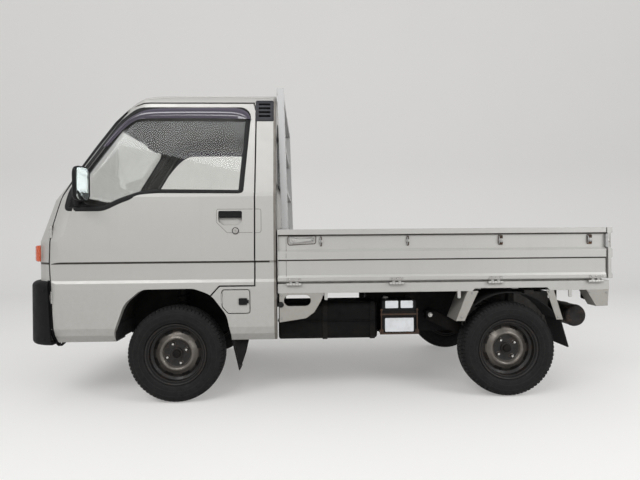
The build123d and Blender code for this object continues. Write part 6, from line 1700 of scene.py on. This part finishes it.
def build_suspension_details():
    """Springs, dampers, backing plates of the brakes and rubber boots."""
    draft = Draft()
    for _, side in SIDES:
        y = side * 468.0
        draft.turned((0, y, 404), (0, 0, 1),
                     [(20.0, 0.0), (42.0, 6.0), (44.0, 12.0), (39.0, 12.0), (21.0, 8.0)], 36, 0)
        spring(draft, (0, y, 418), 35.0, 5.0, 5.5, 190.0, 1)
        draft.turned((0, y, 616), (0, 0, 1),
                     [(22.0, 0.0), (41.0, 4.0), (44.0, 10.0), (44.0, 20.0), (26.0, 26.0)], 36, 0)
        for dx in (-34, 34):
            draft.bolt((dx, y, 640), (0, 0, 1), 5.0, 2)
        spring(draft, (1800.0, side * 463.0, 345.0), 40.0, 6.0, 5.0, 215.0, 1)
        draft.turned((1800.0, side * 463.0, 340), (0, 0, 1),
                     [(0.1, -6.0), (30.0, -4.0), (48.0, 0.0), (48.0, 6.0), (0.1, 8.0)], 32, 0)
        draft.turned((1800.0, side * 463.0, 560), (0, 0, 1),
                     [(0.1, 0.0), (47.0, 0.0), (47.0, 8.0), (32.0, 14.0), (32.0, 47.0), (0.1, 47.5)], 32, 0)
        a, b = Vector((1930.0, side * 470.0, 262.0)), Vector((1975.0, side * 440.0, 606.0))
        way = (b - a).normalized()
        draft.turned(a, way,
                     [(0.1, -6.0), (15.0, -4.0), (20.0, 2.0), (24.0, 12.0), (24.0, 190.0), (12.0, 196.0),
                      (11.0, 200.0), (11.0, 345.0), (16.0, 347.0), (0.1, 348.0)], 26, 0)
    draft.piece("springs_and_dampers", ["chassis", "tank", "chassis"], "root", "chassis_paint", smooth=40.0)
    for side_name, side in SIDES:
        brake = Draft()
        centre = Vector((0, side * 575.0, TYRE_RADIUS))
        out = Vector((0, side, 0))
        brake.turned(centre, out, BACKING_PLATE, 48, 0)
        for i in range(8):
            a = math.pi / 4 * i + 0.2
            brake.bolt((centre.x + 62 * math.cos(a), centre.y - side * 2.2, centre.z + 62 * math.sin(a)),
                       (0, -side, 0), 4.5, 1)
        brake.piece("front_backing_plate_" + side_name, ["chassis", "nut"], "knuckle_" + side_name,
                    "chassis_paint")
    rear = Draft()
    for _, side in SIDES:
        rear.turned((WHEELBASE, side * 575.0, TYRE_RADIUS), (0, side, 0), BACKING_PLATE, 48, 0)
        folds = [(432.0 - i * 16.0, -side, 36.0 - i * 3.2) for i in range(5)]
        folds += [(212.0 + i * 15.0, side, 46.0 - i * 5.0) for i in range(3)]
        for y, way, r in folds:
            rear.turned((WHEELBASE, side * y, TYRE_RADIUS), (0, way, 0),
                        [(18.0, 0.0), (r, 5.0), (r, 9.0), (18.0, 14.0)], 30, 1)
        rear.bolt((1480.0, side * 487.0, 445.0), (0, side, 0), 11.0, 2)
    rear.piece("rear_axle_fittings", ["chassis", "seal", "nut"], "root", "chassis_paint")


def build_engine_details():
    """Fins, sumps, pipes and pulleys on the engine block."""
    draft = Draft()
    for i in range(9):
        x = 2084.0 + i * 24.5
        draft.box(x, x + 7, -304, 304, 292, 420, 0)
    draft.flat_plate(rounded_rect(2085, 2290, -230, 160, 24, 5), 262.0, 271.0, 1)
    for x in (2100, 2188, 2276):
        for y in (-216, -40, 146):
            draft.bolt((x, y, 262), (0, 0, -1), 4.5, 2)
    draft.turned((2188, -35, 262), (0, 0, -1), [(0.1, 0.0), (14.0, 0.0), (12.0, 7.0), (0.1, 8.0)], 6, 2)
    for y in (-190, -90, 10, 110, 210):
        draft.tube([(2298, y, 470), (2318, y, 460), (2334, y, 436), (2340, y * 0.7, 424)], 15.0, 14, 3)
    draft.turned((2301, -225, 420), (1, 0, 0),
                 [(0.1, 0.0), (58.0, 0.0), (58.0, 6.0), (50.0, 6.0), (50.0, 14.0), (58.0, 14.0),
                  (58.0, 20.0), (16.0, 20.0), (14.0, 26.0), (0.1, 26.0)], 36, 1)
    draft.turned((2301, -120, 330), (1, 0, 0),
                 [(0.1, 0.0), (40.0, 0.0), (40.0, 20.0), (12.0, 22.0), (0.1, 22.0)], 30, 1)
    draft.flat_plate(rounded_rect(2090, 2285, -250, -40, 20, 5), 555.0, 563.0, 1)
    for i in range(6):
        draft.box(2096, 2279, -240 + i * 34, -230 + i * 34, 562, 565, 1)
    draft.piece("engine_castings", ["engine", "chassis", "nut", "exhaust"], "root", "engine_metal",
                bevel=1.6)


def build_muffler_details():
    """Seams, bands and tail pipe of the muffler."""
    draft = Draft()
    for y in (-452, -330, 40, 162):
        draft.turned((2385, y, 425), (0, 1, 0), [(66.0, -3.0), (67.6, -2.0), (67.6, 2.0), (66.0, 3.0)], 48,
                     0)
    for y in (-325, 0):
        draft.turned((2385, y, 425), (0, 1, 0), [(66.2, -12.0), (68.2, -12.0), (68.2, 12.0), (66.2, 12.0)],
                     48, 1)
        draft.bolt((2385 - 20, y, 425 + 66), (0, 0, 1), 4.5, 1)
    draft.tube([(2400, 120, 405), (2430, 120, 405), (2448, 120, 404), (2456, 120, 402)], 19.8, 20, 0)
    draft.turned((2452, 120, 405), (1, 0, 0),
                 [(16.0, 0.0), (21.0, 0.0), (21.0, 4.0), (17.5, 4.5), (17.0, -10.0)], 28, 1)
    draft.piece("muffler_seams", ["exhaust", "rusty"], "root", "exhaust_steel")


REAR_LAMP_HEIGHT = 563


def build_rear_lamps():
    """Rear lamps: a black housing with a red, an orange and a clear lens."""
    for side_name, side in SIDES:
        draft = Draft()
        x1 = 2455.0
        outline = rounded_rect(440, 600, 528, 598, 8, 5)
        outline = [(side * y, z) for y, z in outline]
        middle = (side * 520.0, REAR_LAMP_HEIGHT)
        draft.bridge([scaled_ring(x1 - ahead, outline, middle, scale_y, scale_z)
                      for ahead, scale_y, scale_z in ((24, 0.97, 0.95), (22, 1.0, 1.0), (9, 1.0, 1.0),
                                                      (7, 0.985, 0.97))], 3)
        for (a, b), slot in (((442, 494), 0), ((496, 548), 1), ((550, 598), 2)):
            part = rounded_rect(a, b, 531, 595, 6, 4)
            part = [(side * y, z) for y, z in part]
            mid = side * (a + b) / 2
            draft.bridge([[(x1 - 9, y, z) for y, z in part], [(x1 - 3, y, z) for y, z in part],
                          scaled_ring(x1 - 0.5, part, (mid, REAR_LAMP_HEIGHT), 0.93, 0.93),
                          scaled_ring(x1, part, (mid, REAR_LAMP_HEIGHT), 0.8, 0.85)], slot)
            for k in range(7):
                z = 538 + k * 8.2
                draft.bridge([[(x1 + lift, mid + (q * (b - a) * 0.38), z + up) for q in (-1, 1)]
                              for lift, up in ((-0.4, -2.4), (0.6, 0.0), (-0.4, 2.4))], slot, False, False)
        for y in (450, 590):
            draft.bolt((x1 - 8, side * y, 525), (1, 0, 0), 3.0, 3)
        draft.box(x1 - 30, x1 - 24, side * 446, side * 594, 590, 608, 3)
        made = draft.piece("rear_lamp_" + side_name, ["red", "orange", "clear_lens", "black"], "root",
                           "red_lens", smooth=35.0)
        if side < 0:
            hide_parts("rear_lamps")


build_battery_details()
build_tank_details()
build_suspension_details()
build_engine_details()
build_muffler_details()
build_rear_lamps()


# Rain visors over the door windows

VISOR_TOP = [(-413, 1438), (-375, 1488), (-332, 1540), (-292, 1580), (-247, 1613), (-208, 1634),
             (-166, 1650), (-106, 1657), (-37, 1659), (89, 1662), (200, 1663), (320, 1662), (357, 1658),
             (386, 1650), (410, 1635), (422, 1617), (428, 1592)]
VISOR_LOW = [(-377, 1442), (-334, 1494), (-287, 1543), (-245, 1575), (-199, 1593), (-134, 1595),
             (-38, 1596), (88, 1596), (227, 1595), (340, 1593), (402, 1591)]
# Share of the way from the upper to the lower edge, and how far the sheet stands out there
VISOR_SECTION = [(0.0, 0.6), (0.03, 5.0), (0.12, 10.5), (0.30, 14.5), (0.52, 16.0), (0.60, 15.4),
                 (0.64, 13.6), (0.70, 13.2), (0.97, 13.4), (1.0, 12.4), (0.97, 11.2), (0.70, 11.0),
                 (0.52, 13.0), (0.30, 11.5), (0.12, 7.0), (0.05, 1.5)]
SIDE_LEAN = 0.16


def resampled(points, count):
    """Points at even steps along an open line."""
    lengths = [0.0]
    for a, b in zip(points[:-1], points[1:]):
        lengths.append(lengths[-1] + math.dist(a, b))
    found = []
    k = 0
    for i in range(count + 1):
        want = lengths[-1] * i / count
        while k < len(points) - 2 and lengths[k + 1] < want:
            k += 1
        share = (want - lengths[k]) / (lengths[k + 1] - lengths[k])
        a, b = points[k], points[k + 1]
        found.append((a[0] + (b[0] - a[0]) * share, a[1] + (b[1] - a[1]) * share))
    return found


def eased(points, rounds=3):
    """An open line with its kinks smoothed out and its ends kept."""
    for _ in range(rounds):
        points = [points[0]] + [((a[0] + 2 * b[0] + c[0]) / 4, (a[1] + 2 * b[1] + c[1]) / 4)
                                for a, b, c in zip(points[:-2], points[1:-1], points[2:])] + [points[-1]]
    return points


def build_visors():
    """Tinted sheet that stands out over the top of each door window."""
    for side_name, side in SIDES:
        skin = Skin("door_" + side_name, "cab_shell")
        upper = eased(resampled(VISOR_TOP, 72))
        lower = eased(resampled(VISOR_LOW, 72))
        bases = skin.half_widths(upper, side, 640.0)
        for _ in range(6):
            bases = [bases[0]] + [(a + 2 * b + c) / 4
                                  for a, b, c in zip(bases[:-2], bases[1:-1], bases[2:])] + [bases[-1]]
        rings = []
        for (x0, z0), (x1, z1), base in zip(upper, lower, bases):
            rings.append([(x0 + (x1 - x0) * t, side * (base + SIDE_LEAN * (z0 - z1) * t + lift),
                           z0 + (z1 - z0) * t) for t, lift in VISOR_SECTION])
        draft = Draft()
        draft.bridge(rings, 0, True, True)
        made = draft.piece("rain_visor_" + side_name, "visor", "door_" + side_name, smooth=35.0)
        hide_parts("door_visor_" + side_name)


def build_arch_shade_boards():
    """Black boards in each front wheel arch that stand in for its shade: one inboard, which blocks the view
    through the arch, and one across the arch's front over the door's lower end; and the gusset over the mud
    flap.
    """
    for side_name, side in SIDES:
        draft = Draft()
        # Painted shade: black boards where the arch only shows shade
        outline = rounded_outline([(-338, 352), (-236, 356), (-222, 470), (-240, 520), (-338, 520)],
                                  [10, 16, 20, 20, 8], 4)
        draft.side_plate(outline, side * 377.0, side * 374.0, 0)
        nose = rounded_outline([(-345, 352), (-322, 356), (-318, 440), (-345, 480)], [5, 8, 20, 5], 4)
        draft.side_plate(nose, side * 380.0, side * 648.0, 0)
        gusset = rounded_outline([(318, 372), (363, 374), (404, 346), (386, 266), (358, 186), (344, 200),
                                  (330, 290)], [6, 10, 12, 10, 8, 8, 10], 5)
        draft.side_plate(gusset, side * 596.0, side * 600.0, 0)
        for x, z in ((342, 360), (376, 348)):
            draft.bolt((x, side * 600.0, z), (0, side, 0), 4.0, 1)
        draft.piece("arch_shade_boards_and_gusset_" + side_name, ["flap", "chassis"], "root", "black_plastic", bevel=0.8)


build_visors()
build_arch_shade_boards()


# Inside of the cab

FLOOR_TOP = 505.0
SEAT_MIDDLE = 330.0
HUB = Vector((-330.0, 335.0, 1085.0))
COLUMN = Vector((math.cos(math.radians(50)), 0.0, math.sin(math.radians(50))))


def dash_face(tree, y, z):
    """Distance behind the front axle of the dashboard's rear face."""
    hit = tree.ray_cast(Vector((behind(40), y / 1000.0, z / 1000.0)), Vector((-1, 0, 0)), 1.0)
    return (hit[0].x - FRONT_AXLE) * 1000.0 if hit[0] is not None else -460.0


def build_dash():
    """Hood, dials, vents, glovebox, radio and heater faces of the dashboard."""
    tree = node_tree("dashboard")
    draft = Draft()
    hood = rounded_outline([(-612, 1100), (-600, 1142), (-548, 1164), (-486, 1158), (-478, 1100)],
                           [10, 30, 36, 14, 8], 6)
    draft.side_plate(hood, 196.0, 474.0, 0)
    draft.front_plate(rounded_outline([(212, 1102), (458, 1102), (450, 1150), (220, 1150)], [8] * 4, 5),
                      -480.0, -474.0, 1)
    for y in (278.0, 392.0):
        draft.turned((-473.0, y, 1126.0), (1, 0, 0),
                     [(21.0, -2.0), (21.0, 3.0), (19.0, 3.0), (18.0, 0.5), (0.1, 0.5)], 32, 0)
        draft.turned((-472.0, y, 1126.0), (1, 0, 0), [(0.1, 0.0), (3.0, 0.0), (3.0, 2.5), (0.1, 2.8)], 14,
                     1)
    for y0, y1, z in ((-560, -440, 1052), (-120, -10, 1046), (20, 130, 1046), (490, 580, 1052)):
        x = dash_face(tree, (y0 + y1) / 2, z)
        rim = rounded_rect(y0, y1, z - 22, z + 22, 7, 4)
        rows = [grown(rim, v) for v in (0.0, -1.0, -4.0, -5.0)]
        draft.bridge([[(x + lift, y, zz) for y, zz in row]
                      for row, lift in zip(rows, (-2.0, 5.0, 5.0, -1.0))], 0, True, False)
        for i in range(4):
            zz = z - 15 + i * 9
            draft.box(x - 1, x + 3.5, y0 + 5, y1 - 5, zz, zz + 2.4, 1)
    x = dash_face(tree, -330, 960)
    draft.front_plate(rounded_rect(-560, -170, 908, 1008, 14, 5), x - 6, x + 3.5, 0)
    draft.front_plate(rounded_rect(-390, -340, 990, 1002, 4, 4), x + 3, x + 8, 1)
    x = dash_face(tree, 0, 960)
    draft.front_plate(rounded_rect(-118, 128, 905, 1016, 8, 5), x - 8, x + 2.5, 1)
    for row in range(2):
        z = 928 + row * 44
        draft.box(x + 2, x + 4.5, -104, 60, z, z + 34, 0)
        for i in range(5):
            draft.box(x + 4, x + 6.5, -98 + i * 26, -78 + i * 26, z + 5, z + 12, 1)
    for z in (938, 972, 1000):
        draft.turned((x + 2, 94, z), (1, 0, 0), [(0.1, 13.0), (9.0, 13.0), (10.5, 3.0), (12.5, 0.0)], 24, 1)
    for i in range(3):
        draft.box(dash_face(tree, 240, 985) - 1, dash_face(tree, 240, 985) + 5, 205 + i * 30, 227 + i * 30,
                  975, 999, 1)
    draft.piece("dash_fittings", ["interior", "black"], "root", "interior_plastic", bevel=1.6)


def build_steering_details():
    """Pad and spokes of the steering wheel, and the column's cowl with its stalks."""
    pad = Draft()
    pad.turned(HUB, COLUMN,
               [(0.1, 22.0), (30.0, 21.0), (44.0, 17.0), (50.0, 10.0), (50.0, 2.0), (40.0, -4.0)], 40, 0)
    across = Vector((0, 1, 0))
    down = COLUMN.cross(across)
    for way in (across, -across, down if down.z < 0 else -down):
        side_way = COLUMN.cross(way)
        rings = []
        for reach, half, lift in ((34, 24, 9), (80, 19, 6), (140, 17, 4), (176, 20, 3)):
            mid = HUB + way * reach + COLUMN * (lift - 8)
            rings.append([mid + side_way * half, mid + side_way * (half - 4) + COLUMN * 9,
                          mid - side_way * (half - 4) + COLUMN * 9, mid - side_way * half])
        pad.bridge(rings, 0)
    pad.piece("steering_pad", "black", "steering_wheel", "interior_plastic", smooth=45.0, bevel=1.0)
    cowl = Draft()
    cowl.turned(HUB, -COLUMN,
                [(30.0, 34.0), (42.0, 38.0), (46.0, 60.0), (45.0, 150.0), (38.0, 205.0), (28.0, 215.0)], 36,
                0)
    for sign in (-1, 1):
        start = HUB - COLUMN * 62 + across * (42 * sign)
        cowl.tube([start, start + across * (60 * sign) + COLUMN * 6,
                   start + across * (118 * sign) + COLUMN * 14,
                   start + across * (150 * sign) + COLUMN * 20], 5.0, 12, 0)
        cowl.turned(start + across * (150 * sign) + COLUMN * 20, across * sign,
                    [(5.0, -12.0), (8.0, -6.0), (8.0, 16.0), (5.0, 20.0), (0.1, 21.0)], 18, 0)
    cowl.piece("column_cowl", "interior", "root", "interior_plastic", smooth=45.0)


def build_cab_controls():
    """Gear lever, handbrake, pedals and floor mats."""
    draft = Draft()
    foot = Vector((-252.0, 40.0, 520.0))
    draft.turned((foot.x, foot.y, FLOOR_TOP + 0.5), (0, 0, 1),
                 [(70.0, 0.0), (68.0, 6.0), (50.0, 12.0), (46.0, 24.0), (34.0, 30.0), (31.0, 44.0),
                  (20.0, 50.0), (17.0, 66.0), (9.0, 70.0)], 32, 0)
    draft.tube([foot + Vector((0, 0, 30)), foot + Vector((8, 3, 120)), foot + Vector((30, 8, 210)),
                foot + Vector((40, 10, 262))], 7.0, 14, 1)
    top = foot + Vector((43, 11, 276))
    draft.turned(top, (0.15, 0.03, 1),
                 [(0.1, 30.0), (14.0, 27.0), (21.0, 16.0), (22.0, 4.0), (17.0, -8.0), (9.0, -16.0),
                  (7.0, -24.0)], 28, 0)
    draft.tube([(-30, 0, 700), (20, 0, 716), (90, 0, 752), (150, 0, 786)], 9.0, 14, 1)
    draft.tube([(92, 0, 753), (120, 0, 769), (176, 0, 800), (190, 0, 806)], 14.0, 18, 0)
    draft.box(-60, 10, -24, 24, 691, 712, 0)
    for y, width in ((470.0, 26.0), (370.0, 34.0), (270.0, 34.0)):
        draft.tube([(-610, y, 700), (-590, y, 660), (-566, y, 632)], 6.0, 12, 1)
        rings = []
        for x, z in ((-574.0, 606.0), (-556.0, 660.0)):
            rings.append([(x, y - width, z), (x + 12, y - width, z - 3), (x + 12, y + width, z - 3),
                          (x, y + width, z)])
        draft.bridge(rings, 0)
    draft.piece("cab_controls", ["black", "bright"], "root", "interior_plastic", bevel=1.5, smooth=45.0)
    mats = Draft()
    for sign in (-1, 1):
        outline = rounded_rect(-600, -345, sign * 110, sign * 590, 40, 6)
        mats.flat_plate(outline, FLOOR_TOP + 0.4, FLOOR_TOP + 5.0, 0)
        for i in range(11):
            y = sign * (150 + i * 40)
            mats.box(-580, -365, y - 4, y + 4, FLOOR_TOP + 4.6, FLOOR_TOP + 7.4, 0)
    mats.piece("floor_mats", "mat", "root", "black_plastic", bevel=1.0)


# Seats: foam forms that are puffed up as cloth under pressure, then sewn along their channels

# In metres
VOXEL = 0.0085
SWELL_CAP = 0.024
SEAM_DEPTH = 0.008
SEAM_HALF_WIDTH_MM = 7.0
CLOTH_PRESSURE = 4.0
CLOTH_FRAMES = 20
# Lowest and highest corner of the space that each part of a seat stays in
SEAT_SPACES = {"cushion": ((-69.0, -234.0, 690.8), (399.0, 234.0, 836.0)),
               "back": ((362.0, -228.0, 690.8), (529.0, 228.0, 1189.0))}


def seat_forms():
    """Start shapes of a cushion and a back rest, a little smaller than the space they fill."""
    cushion = Draft()
    rings = []
    for z, inset in ((696, 34), (706, 26), (800, 24), (812, 30), (819, 44), (822, 70)):
        rings.append([(x, y, z)
                      for x, y in rounded_rect(-70 + inset, 400 - inset, -235 + inset, 235 - inset, 44, 8)])
    cushion.bridge(rings)
    back = Draft()
    rings = []
    for z, inset, shrink in ((702, 20, 0), (730, 14, 0), (840, 14, 0), (1000, 14, 4), (1120, 16, 14),
                             (1158, 24, 26), (1172, 36, 46)):
        front = 405.0 if z < 835 else 360.0 + (z - 832.0) * 0.258
        rear = 462.0 + (z - 690.0) * 0.148
        rings.append([(x, y, z)
                      for x, y in rounded_rect(front + inset, rear - inset, -229 + 20 + shrink,
                                               229 - 20 - shrink, 22, 6)])
    back.bridge(rings)
    return (("cushion", cushion, "z", (-78.0, 78.0)), ("back", back, "x", (-78.0, 78.0)))


def swollen(made):
    """Puffs a closed form up with cloth pressure; no point moves further than the cap."""
    scene = bpy.context.scene
    remesh = made.modifiers.new("remesh", "REMESH")
    remesh.mode = "VOXEL"
    remesh.voxel_size = VOXEL
    remesh.use_smooth_shade = True
    graph = bpy.context.evaluated_depsgraph_get()
    mesh = bpy.data.meshes.new_from_object(made.evaluated_get(graph))
    made.modifiers.clear()
    made.data = mesh
    rest = [v.co.copy() for v in mesh.vertices]
    cloth = made.modifiers.new("cloth", "CLOTH")
    cloth.settings.use_pressure = True
    cloth.settings.uniform_pressure_force = CLOTH_PRESSURE
    cloth.settings.effector_weights.gravity = 0.0
    cloth.point_cache.frame_start = 1
    cloth.point_cache.frame_end = CLOTH_FRAMES
    for frame_number in range(1, CLOTH_FRAMES + 1):
        scene.frame_set(frame_number)
    graph = bpy.context.evaluated_depsgraph_get()
    puffed = made.evaluated_get(graph).to_mesh()
    moved = [v.co.copy() for v in puffed.vertices]
    made.evaluated_get(graph).to_mesh_clear()
    made.modifiers.clear()
    scene.frame_set(1)
    for vertex, start, end in zip(mesh.vertices, rest, moved):
        step = end - start
        if step.length > SWELL_CAP:
            step *= SWELL_CAP / step.length
        vertex.co = start + step
    return mesh


def sewn(mesh, axis, lines, low, high):
    """Presses sewn channels into a puffed form, and keeps it within the space of its seat."""
    mesh.update()
    for vertex in mesh.vertices:
        y = vertex.co.y * 1000.0
        normal = vertex.normal
        face = normal.z if axis == "z" else -normal.x
        if face > 0.3:
            pull = sum(math.exp(-((y - line) / SEAM_HALF_WIDTH_MM) ** 2) for line in lines)
            vertex.co -= normal * (SEAM_DEPTH * pull * min(1.0, (face - 0.3) / 0.4))
        for k in range(3):
            vertex.co[k] = min(high[k], max(low[k], vertex.co[k]))


def build_seats():
    """Two seats: the left one is puffed up and sewn, and the right one gets its copy."""
    for name, draft, axis, lines in seat_forms():
        made = draft.piece("seat_%s_left" % name, "cloth", "root", "seat_cloth", smooth=60.0)
        mesh = swollen(made)
        mesh.materials.clear()
        mesh.materials.append(MATS["cloth"])
        low, high = ([behind(p[0]), p[1] / 1000.0, p[2] / 1000.0] for p in SEAT_SPACES[name])
        sewn(mesh, axis, lines, low, high)
        for polygon in mesh.polygons:
            polygon.use_smooth = True
        other = bpy.data.objects.new("seat_%s_right" % name, mesh.copy())
        bpy.context.scene.collection.objects.link(other)
        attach(other, "root")
        for piece, shift in ((made, -SEAT_MIDDLE), (other, SEAT_MIDDLE)):
            piece.data.transform(Matrix.Translation((0.0, shift / 1000.0, 0.0)))
            smooth = piece.modifiers.new("smooth", "SUBSURF")
            smooth.levels = 1
            smooth.render_levels = 1
        if name == "cushion":
            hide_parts("seats")


build_dash()
build_steering_details()
build_cab_controls()
build_seats()


# Stage, light and camera

STAGE_SHOWN = (0.68, 0.672, 0.658)
STAGE_SPREAD = (0.24, 0.237, 0.235)
STAGE_GLOW = 0.4
SKY_LOW = (0.86, 0.855, 0.84, 1.0)
SKY_HIGH = (0.72, 0.73, 0.75, 1.0)
SKY_HIGH_FROM = 0.6
SKY_STRENGTH = 0.74
# Name, place, what it points at, size and power of each area lamp
LAMPS = (("key", (-2.6, -4.6, 4.4), (0.0, 0.0, 0.8), (4.0, 1.6), 138.0),
         ("top", (0.4, -0.4, 4.8), (0.2, 0.0, 0.5), (5.0, 3.0), 10.0),
         ("fill", (4.2, -3.6, 3.0), (0.2, 0.0, 0.8), (2.4, 2.4), 95.0),
         ("back", (0.0, 4.2, 3.6), (0.0, 0.0, 0.8), (5.0, 1.6), 20.0))


def stage_material(name, shown, spread_on, glow):
    """Pale stage surface. Camera, metal and glass see it pale, and the light that it spreads is weaker."""
    s = Shader(name)
    s.put("Roughness", 0.6)
    s.put("Specular IOR Level", 0.1)
    path = s.node("ShaderNodeLightPath")
    seen = s.math("MAXIMUM", path.outputs["Is Camera Ray"], path.outputs["Is Glossy Ray"])
    seen = s.math("MAXIMUM", seen, path.outputs["Is Transmission Ray"])
    cloud = s.spots((*shown, 1.0), tuple(c * 0.985 for c in shown), (0.8, 3.0), 0.3, 0.7)
    s.put("Emission Color", (*shown, 1.0))
    s.link(s.math("MULTIPLY", seen, glow), s.bsdf.inputs["Emission Strength"])
    return s.finish(s.mix(seen, (*spread_on, 1.0), cloud))


def build_stage():
    """Floor with a curved backdrop."""
    far = 7.0
    near = -9.0
    half = 14.0
    height = 9.0
    radius = 2.5
    profile = [(near, 0.0), (far - radius, 0.0)]
    for i in range(1, 17):
        angle = math.pi / 2 * i / 16
        profile.append((far - radius + radius * math.sin(angle), radius - radius * math.cos(angle)))
    profile.append((far, height))
    vertices = []
    faces = []
    for i, (y, z) in enumerate(profile):
        vertices += [(-half, y, z), (half, y, z)]
        if i:
            a = 2 * i
            faces.append((a - 2, a - 1, a + 1, a))
    mesh = bpy.data.meshes.new("stage_floor")
    mesh.from_pydata(vertices, [], faces)
    for polygon in mesh.polygons:
        polygon.use_smooth = True
    floor = bpy.data.objects.new("stage_floor", mesh)
    bpy.context.scene.collection.objects.link(floor)
    mesh.materials.append(stage_material("stage_pale", STAGE_SHOWN, STAGE_SPREAD, STAGE_GLOW))


def area_lamp(name, place, target, size, power):
    """White area lamp that points at a target."""
    data = bpy.data.lights.new(name, "AREA")
    data.shape = "RECTANGLE"
    data.size, data.size_y = size
    data.energy = power
    lamp = bpy.data.objects.new(name, data)
    lamp.location = place
    lamp.rotation_mode = "QUATERNION"
    lamp.rotation_quaternion = (Vector(target) - Vector(place)).to_track_quat("-Z", "Y")
    bpy.context.scene.collection.objects.link(lamp)


def build_light():
    """Pale sky that changes a little with height, and the area lamps."""
    scene = bpy.context.scene
    world = bpy.data.worlds.new("studio")
    scene.world = world
    world.use_nodes = True
    tree = world.node_tree
    background = tree.nodes["Background"]
    coords = tree.nodes.new("ShaderNodeTexCoord")
    split = tree.nodes.new("ShaderNodeSeparateXYZ")
    ramp = tree.nodes.new("ShaderNodeValToRGB")
    tree.links.new(coords.outputs["Generated"], split.inputs["Vector"])
    tree.links.new(split.outputs["Z"], ramp.inputs["Fac"])
    low, high = ramp.color_ramp.elements
    low.color = SKY_LOW
    low.position = 0.0
    high.color = SKY_HIGH
    high.position = SKY_HIGH_FROM
    tree.links.new(ramp.outputs["Color"], background.inputs["Color"])
    background.inputs["Strength"].default_value = SKY_STRENGTH
    for lamp in LAMPS:
        area_lamp(*lamp)
    scene.view_settings.view_transform = "Standard"


# Camera fitted to the photo. The focal length is in pixels of the photo, the sensor in millimetres
CAMERA_PLACE = (-0.1026, -3.3314, 0.9147)
CAMERA_YAW = -0.0332
CAMERA_PITCH = -0.0043
CAMERA_ROLL = -0.0085
CAMERA_PIXELS = 475.0
PHOTO_WIDTH = 640.0
SENSOR = 36.0


def build_camera():
    """Camera turned by its yaw, then its pitch, then its roll."""
    data = bpy.data.cameras.new("camera")
    data.sensor_width = SENSOR
    data.lens = SENSOR * CAMERA_PIXELS / PHOTO_WIDTH
    camera = bpy.data.objects.new("camera", data)
    cy, sy = math.cos(CAMERA_YAW), math.sin(CAMERA_YAW)
    forward = Vector((-sy, cy, 0))
    right = Vector((cy, sy, 0))
    up = Vector((0, 0, 1))
    cp, sp = math.cos(CAMERA_PITCH), math.sin(CAMERA_PITCH)
    forward2 = forward * cp + up * sp
    up2 = -forward * sp + up * cp
    cr, sr = math.cos(CAMERA_ROLL), math.sin(CAMERA_ROLL)
    right2 = right * cr + up2 * sr
    up3 = -right * sr + up2 * cr
    turn = Matrix((right2, up3, -forward2)).transposed()
    camera.matrix_world = Matrix.Translation(CAMERA_PLACE) @ turn.to_4x4()
    bpy.context.scene.collection.objects.link(camera)
    bpy.context.scene.camera = camera


build_stage()
build_light()
build_camera()
